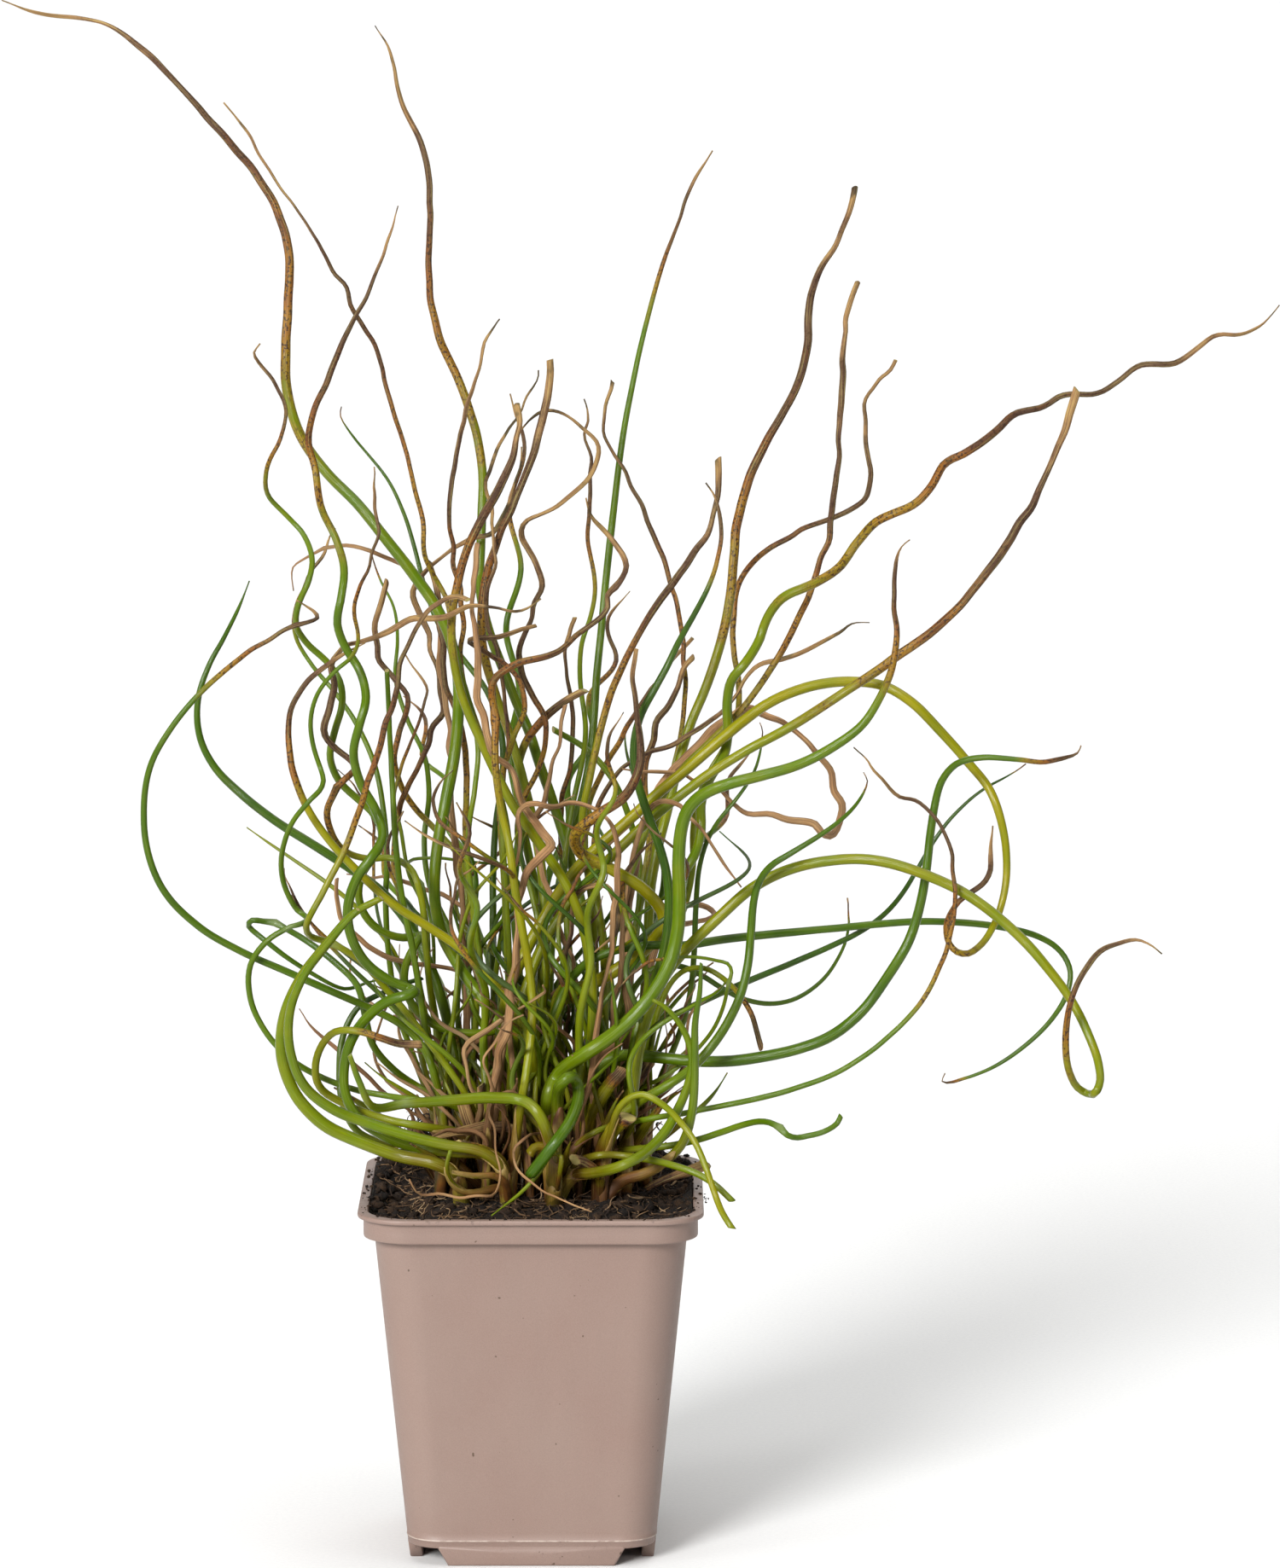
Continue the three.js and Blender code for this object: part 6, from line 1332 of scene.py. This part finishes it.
def add_centre_foot(surface):
    """The round centre foot: a profile of radius and height turned about the pot's axis."""
    radius, top = FOOT["centre_radius"], FOOT["height"] + 0.4
    profile = np.array([
        (radius - 1.6, 0.9), (radius - 1.4, 0.25), (radius - 1.1, 0), (radius - 0.3, 0),
        (radius - 0.05, 0.15), (radius, 0.5), (radius, top),
    ])
    angle = turns(64)
    size, z = profile[:, :1], profile[:, 1:]
    rings = np.stack([size * np.cos(angle), size * np.sin(angle), z + 0 * angle], -1)
    surface.add_tubes(rings[None], np.array([[0, 0, 0.9], [0, 0, top]]))


# -------- materials


def shade(hex_text):
    """Linear RGBA of an sRGB hex value."""
    parts = [int(hex_text[k : k + 2], 16) / 255 for k in (1, 3, 5)]
    return (*[c / 12.92 if c <= 0.04045 else ((c + 0.055) / 1.055) ** 2.4 for c in parts], 1.0)


def add_node(tree, kind, settings=None, links=None):
    """Adds a node, sets its properties and sockets by name or number, and links its inputs."""
    node = tree.nodes.new(kind)
    for key, value in (settings or {}).items():
        if isinstance(key, int) or key in node.inputs:
            node.inputs[key].default_value = value
        else:
            setattr(node, key, value)
    for key, socket in (links or {}).items():
        tree.links.new(socket, node.inputs[key])
    return node


def ramp(tree, factor, stops):
    """A colour ramp through (place, hex) stops."""
    node = add_node(tree, "ShaderNodeValToRGB", {}, {0: factor})
    elements = node.color_ramp.elements
    elements[0].position, elements[0].color = stops[0][0], shade(stops[0][1])
    elements[1].position, elements[1].color = stops[-1][0], shade(stops[-1][1])
    for place, colour in stops[1:-1]:
        element = elements.new(place)
        element.color = shade(colour)
    return node.outputs[0]


def noise(tree, vector, scale, detail=2.0, roughness=0.5):
    """Noise with one cell per 1/scale of the vector's unit."""
    settings = {"Scale": scale, "Detail": detail, "Roughness": roughness}
    return add_node(tree, "ShaderNodeTexNoise", settings, {"Vector": vector}).outputs[0]


def sums(tree, operation, first, second, clamp=False):
    """One step of arithmetic on sockets or plain numbers."""
    node = add_node(tree, "ShaderNodeMath", {"operation": operation, "use_clamp": clamp})
    for number, value in enumerate((first, second)):
        if isinstance(value, (int, float)):
            node.inputs[number].default_value = value
        else:
            tree.links.new(value, node.inputs[number])
    return node.outputs[0]


def span(tree, value, low, high, to_low=0.0, to_high=1.0):
    """The value's way from low to high, as a share between two other numbers."""
    settings = {"From Min": low, "From Max": high, "To Min": to_low, "To Max": to_high}
    return add_node(tree, "ShaderNodeMapRange", settings, {"Value": value}).outputs[0]


def blend_colour(tree, factor, first, second):
    """The first colour with the second laid over it by the factor."""
    node = add_node(tree, "ShaderNodeMix", {"data_type": "RGBA", "blend_type": "MIX"})
    for number, value in ((0, factor), (6, first), (7, second)):
        if isinstance(value, (int, float, tuple)):
            node.inputs[number].default_value = value
        else:
            tree.links.new(value, node.inputs[number])
    return node.outputs[2]


def tinted(tree, factor, colour, hex_text):
    """The colour with a plain one laid over it by the factor."""
    return blend_colour(tree, factor, colour, shade(hex_text))


def object_place(tree):
    """Place in the object's own space, in metres."""
    return add_node(tree, "ShaderNodeTexCoord").outputs["Object"]


def carried(tree, name, output="Fac"):
    """A value that every point of the mesh carries."""
    return add_node(tree, "ShaderNodeAttribute", {"attribute_name": name}).outputs[output]


def skin_along(tree, across, along):
    """Place on a stem's skin, drawn out along the stem so that noise there makes ribs."""
    settings, links = {"Scale": (across, across, along)}, {"Vector": carried(tree, "skin", "Vector")}
    return add_node(tree, "ShaderNodeMapping", settings, links).outputs[0]


def scaled(tree, value, factor):
    """A value times a number or another value."""
    return sums(tree, "MULTIPLY", value, factor)


def new_material(name):
    """An empty material and its node tree."""
    material = bpy.data.materials.new(name)
    material.use_nodes = True
    tree = material.node_tree
    tree.nodes.clear()
    return material, tree


def finish_material(tree, colour, rough, height, distance, strength, **settings):
    """Bump, the shader with its own plain settings, and the output."""
    bump = add_node(tree, "ShaderNodeBump", {"Strength": strength, "Distance": distance}, {"Height": height})
    links = {"Base Color": colour, "Normal": bump.outputs[0]}
    plain = {key.replace("_", " "): value for key, value in settings.items()}
    if isinstance(rough, float):
        plain["Roughness"] = rough
    else:
        links["Roughness"] = rough
    shader = add_node(tree, "ShaderNodeBsdfPrincipled", plain, links)
    add_node(tree, "ShaderNodeOutputMaterial", {}, {"Surface": shader.outputs[0]})


def rush_skin(name, deeper):
    """Skin of a rush stem, a waxy living cuticle over fine ribs: green below, then olive, orange with
    dark specks, brown, and mauve-brown to the tip, where the wax is gone and it dries matt."""
    material, tree = new_material(name)
    place = object_place(tree)
    ripe = carried(tree, "ripe")
    tint = carried(tree, "tint")
    height = carried(tree, "height")
    cut = carried(tree, "cut")
    blotches = noise(tree, place, 130.0, 3.0)  # patches of about 8 mm
    stretched = skin_along(tree, 2.2, 0.35)
    streaks = noise(tree, stretched, 2.0, 3.0, 0.6)  # about twenty ribs round a stem, 15 mm long
    uneven = scaled(tree, sums(tree, "SUBTRACT", blotches, 0.5), 0.5)
    ribbed = scaled(tree, sums(tree, "SUBTRACT", streaks, 0.5), 0.3)
    mottled = sums(tree, "ADD", uneven, ribbed)
    aged = sums(tree, "ADD", ripe, scaled(tree, mottled, span(tree, ripe, 0.0, 0.12)), True)
    varied = sums(tree, "ADD", tint, scaled(tree, mottled, 0.8))
    green = ramp(tree, sums(tree, "ADD", varied, deeper, True), (
        (0.0, "#857c02"), (0.2, "#6d7201"), (0.42, "#4e6601"), (0.66, "#385502"), (0.85, "#264407"),
        (1.0, "#3a4e28"),
    ))
    light_foot = span(tree, height, 20.0, 85.0, 0.75, 0.0)  # millimetres from the root, as below
    green = tinted(tree, light_foot, green, "#6b7a08")
    # Blotchy brown over each stem 13 to 46 mm from its root: partly the real browning of old stem bases,
    # partly painted shade at the crown's base.
    foot = sums(tree, "MULTIPLY", span(tree, height, 46.0, 13.0, 0.0, 2.0), blotches, True)
    green = tinted(tree, foot, green, "#60390e")
    # Painted shade: near-black brown over each stem 10 to 26 mm from its root, for the shadow at the crown's
    # base.
    green = tinted(tree, span(tree, height, 26.0, 10.0), green, "#351f0e")
    dried = ramp(tree, aged, (
        (0.0, "#656803"), (0.13, "#786804"), (0.26, "#805c08"), (0.37, "#7b480f"), (0.46, "#623a19"),
        (0.58, "#4c3322"), (0.74, "#553c2a"), (0.87, "#886642"), (0.965, "#99784a"), (1.0, "#352619"),
    ))
    colour = blend_colour(tree, span(tree, aged, 0.02, 0.16), green, dried)
    specks = noise(tree, place, 1400.0, 1.0)  # dots of about 0.7 mm
    band = scaled(tree, span(tree, aged, 0.08, 0.2), span(tree, aged, 0.92, 0.6))
    colour = tinted(tree, scaled(tree, span(tree, specks, 0.55, 0.6), band), colour, "#351a09")
    dark = scaled(tree, span(tree, streaks, 0.5, 0.38), span(tree, aged, 0.05, 0.3, 0.2, 0.75))
    colour = tinted(tree, dark, colour, "#2e2015")
    pale = scaled(tree, span(tree, streaks, 0.52, 0.68), span(tree, aged, 0.0, 0.5, 0.16, 0.5))
    colour = tinted(tree, pale, colour, "#a09759")
    colour = tinted(tree, cut, colour, "#998b53")
    scar = scaled(tree, carried(tree, "bruise"), span(tree, aged, 0.0, 0.3, 0.4, 0.0))
    colour = tinted(tree, scar, colour, "#7e885e")
    rough = span(tree, aged, 0.0, 0.6, 0.24, 0.7)
    bumps = sums(tree, "ADD", streaks, scaled(tree, specks, band))
    finish_material(tree, colour, rough, bumps, 0.00035, 0.4, IOR=1.45, Specular_IOR_Level=0.27)
    return material


def straw_skin():
    """Dead rush: dry pith and skin, shrunk to furrows, tan to pink-brown with grey weathering."""
    material, tree = new_material("dead_rush_straw")
    place = object_place(tree)
    tint = carried(tree, "tint")
    cut = carried(tree, "cut")
    stretched = skin_along(tree, 2.4, 0.3)
    streaks = noise(tree, stretched, 2.2, 4.0, 0.65)  # furrows a third of a millimetre apart
    patches = noise(tree, place, 160.0, 3.0)  # weathering in patches of about 6 mm
    mixed = sums(tree, "ADD", scaled(tree, tint, 0.5), scaled(tree, patches, 0.55), True)
    colour = ramp(tree, mixed, (
        (0.1, "#634326"), (0.3, "#89603a"), (0.48, "#a2784c"), (0.66, "#b38e5f"), (0.86, "#c0a576"),
    ))
    colour = tinted(tree, span(tree, streaks, 0.4, 0.58, 0.75, 0.0), colour, "#452e1b")
    foot = span(tree, carried(tree, "height"), 14.0, 70.0, 0.8, 0.0)
    colour = tinted(tree, foot, colour, "#5f3a16")
    colour = tinted(tree, cut, colour, "#8a7450")
    finish_material(tree, colour, 0.68, streaks, 0.0004, 0.7, IOR=1.45)
    return material


def sheath_skin():
    """Basal leaf sheaths: thin, papery and ribbed, red-brown at the foot, tan above, pale at the edge."""
    material, tree = new_material("papery_leaf_sheath")
    place = object_place(tree)
    level = carried(tree, "height")
    tint = carried(tree, "tint")
    stretched = skin_along(tree, 3.0, 0.4)
    streaks = noise(tree, stretched, 2.6, 3.0, 0.6)  # ribs a quarter of a millimetre apart
    patches = noise(tree, place, 260.0, 2.0)  # stains of about 4 mm
    uneven = scaled(tree, sums(tree, "SUBTRACT", patches, 0.5), 0.6)
    stained = sums(tree, "ADD", level, uneven, True)
    red = ramp(tree, stained, (
        (0.0, "#28180a"), (0.25, "#4d2e13"), (0.5, "#724717"), (0.8, "#7e6223"), (1.0, "#998043"),
    ))
    yellow = ramp(tree, stained, (
        (0.0, "#30230b"), (0.35, "#5c4c14"), (0.6, "#726a1c"), (0.85, "#887127"), (1.0, "#663f1c"),
    ))
    colour = blend_colour(tree, span(tree, tint, 0.5, 0.8), red, yellow)
    colour = tinted(tree, span(tree, streaks, 0.56, 0.4, 0.0, 0.4), colour, "#35210e")
    finish_material(tree, colour, 0.5, streaks, 0.0003, 0.6, IOR=1.45)
    return material


def peat(name, dark, light, grain):
    """Damp potting peat: black-brown decayed moss in grains with lighter woody bits, fully matt."""
    material, tree = new_material(name)
    place = object_place(tree)
    tint = carried(tree, "tint")
    coarse = noise(tree, place, 240.0, 4.0, 0.6)  # lumps of about 4 mm
    fine = noise(tree, place, grain, 3.0, 0.65)
    mixed = sums(tree, "ADD", scaled(tree, tint, 0.5), scaled(tree, coarse, 0.5))
    colour = blend_colour(tree, span(tree, mixed, 0.3, 0.75), dark, light)
    colour = tinted(tree, span(tree, fine, 0.6, 0.72, 0.0, 0.6), colour, "#55402d")
    colour = tinted(tree, span(tree, fine, 0.48, 0.3, 0.0, 0.8), colour, "#0e0906")
    finish_material(tree, colour, 0.95, sums(tree, "ADD", fine, coarse), 0.0009, 0.9, IOR=1.4)
    return material


def fibre_skin():
    """Peat fibres and rootlets: dry plant strands from straw to dark brown."""
    material, tree = new_material("peat_fibre")
    place = object_place(tree)
    tint = carried(tree, "tint")
    grain = noise(tree, place, 900.0, 2.0)  # flecks of about a millimetre
    mixed = sums(tree, "ADD", tint, scaled(tree, sums(tree, "SUBTRACT", grain, 0.5), 0.4), True)
    colour = ramp(tree, mixed, (
        (0.0, "#1c120b"), (0.4, "#352416"), (0.65, "#594129"), (0.86, "#7e6245"), (1.0, "#9a8060"),
    ))
    finish_material(tree, colour, 0.85, grain, 0.0002, 0.5, IOR=1.45)
    return material


def pot_plastic(colour):
    """Injection-moulded polypropylene with a fine matt grain, faintly uneven where the melt flowed, with
    soil dust caught on the rim and along the foot."""
    material, tree = new_material("moulded_polypropylene_taupe")
    place = object_place(tree)
    clouds = noise(tree, place, 45.0, 2.0)  # flow clouds of about 22 mm
    tall = add_node(tree, "ShaderNodeMapping", {"Scale": (1.0, 1.0, 0.18)}, {"Vector": place}).outputs[0]
    flow = noise(tree, tall, 260.0, 3.0)  # upright flow marks about 4 mm apart
    grain = noise(tree, place, 3200.0, 2.0)  # moulded grain of 0.3 mm
    scuffs = noise(tree, place, 520.0, 5.0, 0.7)  # scuffs of about 2 mm
    base = tinted(tree, span(tree, clouds, 0.3, 0.7), colour, "#816c62")
    base = tinted(tree, span(tree, flow, 0.35, 0.65, 0.0, 0.1), base, "#74635a")
    base = tinted(tree, span(tree, grain, 0.35, 0.65, 0.0, 0.08), base, "#aa9a90")
    level = add_node(tree, "ShaderNodeSeparateXYZ", {}, {0: place}).outputs["Z"]
    low, high = SEAM * MM, (SEAM + 0.5) * MM
    seam = scaled(tree, span(tree, level, low, low + 0.15 * MM), span(tree, level, high, high - 0.15 * MM))
    worn = scaled(tree, seam, span(tree, scuffs, 0.4, 0.55, 0.25, 0.9))
    base = tinted(tree, worn, base, "#b2a397")
    specks = span(tree, noise(tree, place, 700.0, 1.0, 0.3), 0.8, 0.812)  # specks of soil, a quarter of a mm
    base = tinted(tree, specks, base, "#524033")
    rim = span(tree, level, 0.0925, 0.0946)
    foot = span(tree, level, 0.0075, 0.0045)
    dusty = span(tree, scuffs, 0.6, 0.7, 0.0, 0.75)
    marks = sums(tree, "MULTIPLY", dusty, sums(tree, "ADD", rim, scaled(tree, foot, 0.5)), True)
    base = tinted(tree, marks, base, "#433327")
    rough = span(tree, scuffs, 0.3, 0.7, 0.42, 0.56)
    height = sums(tree, "ADD", grain, scaled(tree, clouds, 0.5))
    finish_material(tree, base, rough, height, 0.00008, 0.35, IOR=1.49)
    return material


def floor_paper(pale):
    """Pale studio paper: smooth and matt with a hardly visible tooth."""
    material, tree = new_material("studio_paper")
    place = object_place(tree)
    tooth = noise(tree, place, 900.0, 2.0)  # paper tooth of about a millimetre
    colour = tinted(tree, tooth, pale, "#e4e4e2")
    finish_material(tree, colour, 0.9, tooth, 0.00005, 0.1, IOR=1.45)
    return material


# -------- settings


def colour_setting(label, what, hex_text):
    """A colour that a user would change, at first that of an sRGB hex value."""
    return FloatVectorProperty(
        name=label, description=what, subtype="COLOR", size=3, min=0.0, max=1.0, default=shade(hex_text)[:3]
    )


class RushPlantSettings(bpy.types.PropertyGroup):
    """Sizes of the stems and their sheaths"""

    stem_sides: IntProperty(
        name="Stem sides", description="Sides of a slim stem's section", default=10, min=6, max=24
    )
    sheath_reach: FloatProperty(
        name="Sheath length", description="Length of the longest basal sheaths",
        default=0.034, min=0.01, max=0.06, unit="LENGTH",
    )


class RushSoilSettings(bpy.types.PropertyGroup):
    """What lies loose on the soil"""

    crumbs: IntProperty(
        name="Crumbs", description="How many loose crumbs of peat lie on the soil",
        default=2600, min=0, max=6000,
    )
    fibres: IntProperty(
        name="Fibres", description="How many loose fibres lie on the soil",
        default=1100, min=0, max=2000,
    )
    dark_peat: colour_setting("Dark peat", "Colour of the soil where it is dark", "#120d08")
    light_peat: colour_setting("Light peat", "Colour of the soil where it is light", "#241910")


class RushPotSettings(bpy.types.PropertyGroup):
    """The pot's colour"""

    colour: colour_setting("Pot colour", "Colour of the moulded plastic", "#7e675d")


class RushStudioSettings(bpy.types.PropertyGroup):
    """The studio's floor and camera"""

    paper: colour_setting("Floor colour", "Colour of the floor's paper", "#d9d9d9")
    floor_radius: FloatProperty(
        name="Floor radius", description="Reach of the studio floor", default=40.0, min=2.0, unit="LENGTH"
    )
    lens: FloatProperty(
        name="Lens", description="Focal length of the camera in millimetres", default=166.47, min=20.0,
        subtype="DISTANCE_CAMERA",
    )


# -------- operators


def linear(setting):
    """Linear RGBA of a colour setting."""
    return (*setting, 1.0)


DEEP_TUFTS = ("b1", "b5", "c5", "d2", "d5")
OLIVE_TUFTS = ("c1", "c3", "d1", "e1", "e4")

# Width at the base from which a stem has a sheath, above which it has two, and above which its
# section has two more sides.
SHEATHED, TWICE_SHEATHED, STOUT = 1.5, 2.1, 2.4


@cache
def all_lines():
    """The lines of all stems, cleared of each other, the plugs, the soil and the rim. Kept once made."""
    lines = [stem_line(stem, order) for order, stem in enumerate(STEMS)]
    plugs = [plug_line(tuft, PLUG["radius"]) for tuft in TUFTS]
    plugs += [plug_line(tuft, PLUG["dry_radius"]) for tuft in DRY_TUFTS]
    lift_lines(lines)
    clear_lines(lines + plugs)
    lift_lines(lines)
    return lines


def make_tuft(tuft, slot, material, node, sides):
    """Every stem that grows from one tuft, in one piece that stands for the tuft's node."""
    surface = Surface(*STEM_VALUES)
    for number, (line, stem) in enumerate(zip(all_lines(), STEMS)):
        if stem[1] == tuft:
            add_stem(surface, line, stem, number, sides + 2 * (stem[2] > STOUT))
    surface.make(f"{node}_skin", slot, material, [node])


class RUSH_OT_green_tufts(bpy.types.Operator):
    """Makes the living tufts with all their stems"""

    bl_idname = "rush.green_tufts"
    bl_label = "Living Tufts"

    def execute(self, context):
        finishes = {
            "green_stems": rush_skin("living_rush_green", 0.0),
            "dark_green_stems": rush_skin("living_rush_dark_green", 0.05),
            "olive_stems": rush_skin("living_rush_olive", -0.05),
        }
        for tuft in TUFTS:
            slot = "dark_green_stems" if tuft in DEEP_TUFTS else "green_stems"
            slot = "olive_stems" if tuft in OLIVE_TUFTS else slot
            make_tuft(tuft, slot, finishes[slot], f"tuft_{tuft}", context.scene.rush_plant.stem_sides)
        return {"FINISHED"}


class RUSH_OT_dry_tufts(bpy.types.Operator):
    """Makes the dead straw-coloured tufts"""

    bl_idname = "rush.dry_tufts"
    bl_label = "Dry Tufts"

    def execute(self, context):
        material = straw_skin()
        for tuft in DRY_TUFTS:
            make_tuft(tuft, "dry_stems", material, f"dry_tuft_{tuft}", context.scene.rush_plant.stem_sides)
        return {"FINISHED"}


class RUSH_OT_small_growth(bpy.types.Operator):
    """Makes the slim stems, shoots, stubs and straws between the long stems"""

    bl_idname = "rush.small_growth"
    bl_label = "Small Growth"

    def execute(self, context):
        kinds = (
            ("slim_green", 2000, "green_stems", rush_skin("slim_rush_green", 0.15)),
            ("loose_straw", 3000, "dry_stems", straw_skin()),
            ("young_shoot", 4000, "olive_stems", rush_skin("young_rush_shoot", -0.3)),
            ("cut_stub", 5000, "olive_stems", rush_skin("cut_rush_stub", -0.4)),
        )
        for kind, seed, slot, material in kinds:
            surface = Surface(*STEM_VALUES)
            add_fillers(surface, kind, seed)
            for number, stem in enumerate(FRONT_GROWTH if kind == "young_shoot" else ()):
                add_stem(surface, stem_line(stem, number), stem, 6000 + number, 14)
            surface.make(f"{kind}_growth", slot, material)
        return {"FINISHED"}


class RUSH_OT_sheaths(bpy.types.Operator):
    """Makes the rootstocks and the papery sheaths round the stems' feet"""

    bl_idname = "rush.sheaths"
    bl_label = "Basal Sheaths"

    def execute(self, context):
        longest, shortest = context.scene.rush_plant.sheath_reach / MM, 8
        surface = Surface("skin", "height", "tint")
        for number, (line, stem) in enumerate(zip(all_lines(), STEMS)):
            base, tip = stem[2:4]
            if base < SHEATHED:
                continue
            chance = np.random.default_rng(700 + number)
            path = Path(smooth_through(board_to_space(line["u"], line["v"], line["depth"])[:24], 2))
            share = path.along / line["along"][-1]
            radius = (base + (tip - base) * share**1.8) / 2
            reach = shortest + longest * chance.uniform(0.35, 1.0)
            add_sheath(surface, path, radius, number, 0, reach)
            if base > TWICE_SHEATHED:
                inner = shortest + (reach - shortest) * chance.uniform(0.3, 0.6)
                add_sheath(surface, path, radius, number, 1, inner)
        places = [(place, PLUG["radius"]) for place in TUFTS.values()]
        places += [(place, PLUG["dry_radius"]) for place in DRY_TUFTS.values()]
        for number, (place, radius) in enumerate(places):
            add_rootstock(surface, place, radius, number)
        surface.make("basal_sheaths", "olive_stems", sheath_skin())
        return {"FINISHED"}


class RUSH_OT_soil(bpy.types.Operator):
    """Makes the soil with its crumbs and fibres"""

    bl_idname = "rush.soil"
    bl_label = "Soil"

    def execute(self, context):
        settings = context.scene.rush_soil
        dark, light = linear(settings.dark_peat), linear(settings.light_peat)
        ground = peat("damp_potting_peat", dark, light, 1500.0)  # grains of about 0.7 mm
        crumb = shade("#130c07"), shade("#3c2a1a")
        loose = peat("peat_crumbs", *crumb, 1900.0)  # grains of about half a millimetre
        soil_surface().make("soil_relief", "potting_soil", ground, ["soil"])
        crumb_surface(settings.crumbs, 31).make("soil_crumbs", "potting_soil", loose)
        fibre_surface(settings.fibres, 57).make("soil_fibres", "potting_soil", fibre_skin())
        return {"FINISHED"}


class RUSH_OT_pot(bpy.types.Operator):
    """Makes the moulded pot"""

    bl_idname = "rush.pot"
    bl_label = "Pot"

    def execute(self, context):
        plastic = pot_plastic(linear(context.scene.rush_pot.colour))
        pot_surface().make("pot_moulding", "pot_plastic", plastic, ["pot"])
        return {"FINISHED"}


# The studio's suns, with strength, angle in degrees and place, and its softboxes, with power, size
# and place.
SUNS = {
    "key_light": (4.35, 20, (-1.2, -2.3, 1.4)),
    "overhead_light": (1.5, 50, (0.2, -0.3, 3.0)),
    "back_light": (0.95, 60, (0.5, 2.0, 1.6)),
}
SOFTBOXES = {
    "left_softbox": (6.0, 0.5, (-1.5, -0.9, 0.9)),
    "right_softbox": (2.0, 0.5, (1.5, -0.8, 0.8)),
}
AIR_COLOUR, AIR_STRENGTH = "#e8e8e8", 0.25
LIT_PLACE = (0.0, 0.0, 0.2)
CAMERA_TARGET = (0.0284, 0.0, 0.2022)


def put_up(name, data, place, target):
    """Puts a light or the camera at a place, upright, looking at a target."""
    thing = bpy.data.objects.new(name, data)
    bpy.context.scene.collection.objects.link(thing)
    thing.location = place
    thing.rotation_euler = (Vector(target) - Vector(place)).to_track_quat("-Z", "Y").to_euler()
    return thing


def lay_floor(radius, colour):
    """The studio's floor: rings of growing radius (cosine, sine) round a middle point."""
    sides = 96
    size = np.array([400.0, 1200, 4000, radius])[:, None]
    angle = turns(sides)
    rings = np.stack([size * np.cos(angle), size * np.sin(angle), 0 * size * angle], -1)
    points = np.vstack([rings.reshape(-1, 3), [[0, 0, 0]]]) * MM
    quads = grid_faces(len(size), sides)[:, ::-1].tolist()
    tris = fan_faces(np.arange(sides), len(points) - 1, True).tolist()
    mesh = bpy.data.meshes.new("studio_floor")
    mesh.from_pydata(points.tolist(), [], quads + tris)
    mesh.materials.append(floor_paper(colour))
    floor = bpy.data.objects.new("studio_floor", mesh)
    bpy.context.scene.collection.objects.link(floor)


class RUSH_OT_studio(bpy.types.Operator):
    """Makes the floor, the lights and the camera"""

    bl_idname = "rush.studio"
    bl_label = "Studio"

    def execute(self, context):
        scene, settings = context.scene, context.scene.rush_studio
        lay_floor(settings.floor_radius / MM, linear(settings.paper))
        world = bpy.data.worlds.new("studio_air")
        world.use_nodes = True
        air = world.node_tree.nodes["Background"].inputs
        air["Color"].default_value, air["Strength"].default_value = shade(AIR_COLOUR), AIR_STRENGTH
        scene.world = world
        for name, (strength, spread, place) in SUNS.items():
            sun = bpy.data.lights.new(name, "SUN")
            sun.energy, sun.angle = strength, math.radians(spread)
            put_up(name, sun, place, LIT_PLACE)
        for name, (power, size, place) in SOFTBOXES.items():
            light = bpy.data.lights.new(name, "AREA")
            light.shape, light.size, light.energy = "DISK", size, power
            put_up(name, light, place, LIT_PLACE)
        camera = bpy.data.cameras.new("studio_camera")
        camera.sensor_width, camera.sensor_fit = 36.0, "AUTO"
        camera.lens = settings.lens
        camera.clip_end = 200.0
        scene.camera = put_up("studio_camera", camera, tuple(EYE * MM), CAMERA_TARGET)
        scene.view_settings.view_transform = "Standard"
        return {"FINISHED"}


# -------- panel and start

GROUPS = {
    "rush_pot": RushPotSettings,
    "rush_soil": RushSoilSettings,
    "rush_plant": RushPlantSettings,
    "rush_studio": RushStudioSettings,
}
OPERATORS = (
    RUSH_OT_pot, RUSH_OT_soil, RUSH_OT_green_tufts, RUSH_OT_dry_tufts, RUSH_OT_small_growth,
    RUSH_OT_sheaths, RUSH_OT_studio,
)


class RUSH_PT_panel(bpy.types.Panel):
    """Sizes and steps of the potted rush"""

    bl_idname = "RUSH_PT_panel"
    bl_label = "Corkscrew Rush"
    bl_space_type = "VIEW_3D"
    bl_region_type = "UI"
    bl_category = "Rush"

    def draw(self, context):
        for name, kind in GROUPS.items():
            for setting in kind.__annotations__:
                self.layout.prop(getattr(context.scene, name), setting)
        for operator in OPERATORS:
            self.layout.operator(operator.bl_idname)


def register():
    """Registers the settings, the operators and the panel."""
    for name, group in GROUPS.items():
        bpy.utils.register_class(group)
        setattr(bpy.types.Scene, name, PointerProperty(type=group))
    for kind in (*OPERATORS, RUSH_PT_panel):
        bpy.utils.register_class(kind)


def unregister():
    """Takes them out again, the last first."""
    for kind in (RUSH_PT_panel, *reversed(OPERATORS)):
        bpy.utils.unregister_class(kind)
    for name, group in GROUPS.items():
        delattr(bpy.types.Scene, name)
        bpy.utils.unregister_class(group)


def main():
    """Makes every piece and the studio."""
    register()
    bpy.ops.rush.pot()
    bpy.ops.rush.soil()
    bpy.ops.rush.green_tufts()
    bpy.ops.rush.dry_tufts()
    bpy.ops.rush.small_growth()
    bpy.ops.rush.sheaths()
    bpy.ops.rush.studio()


if __name__ == "__main__":
    main()
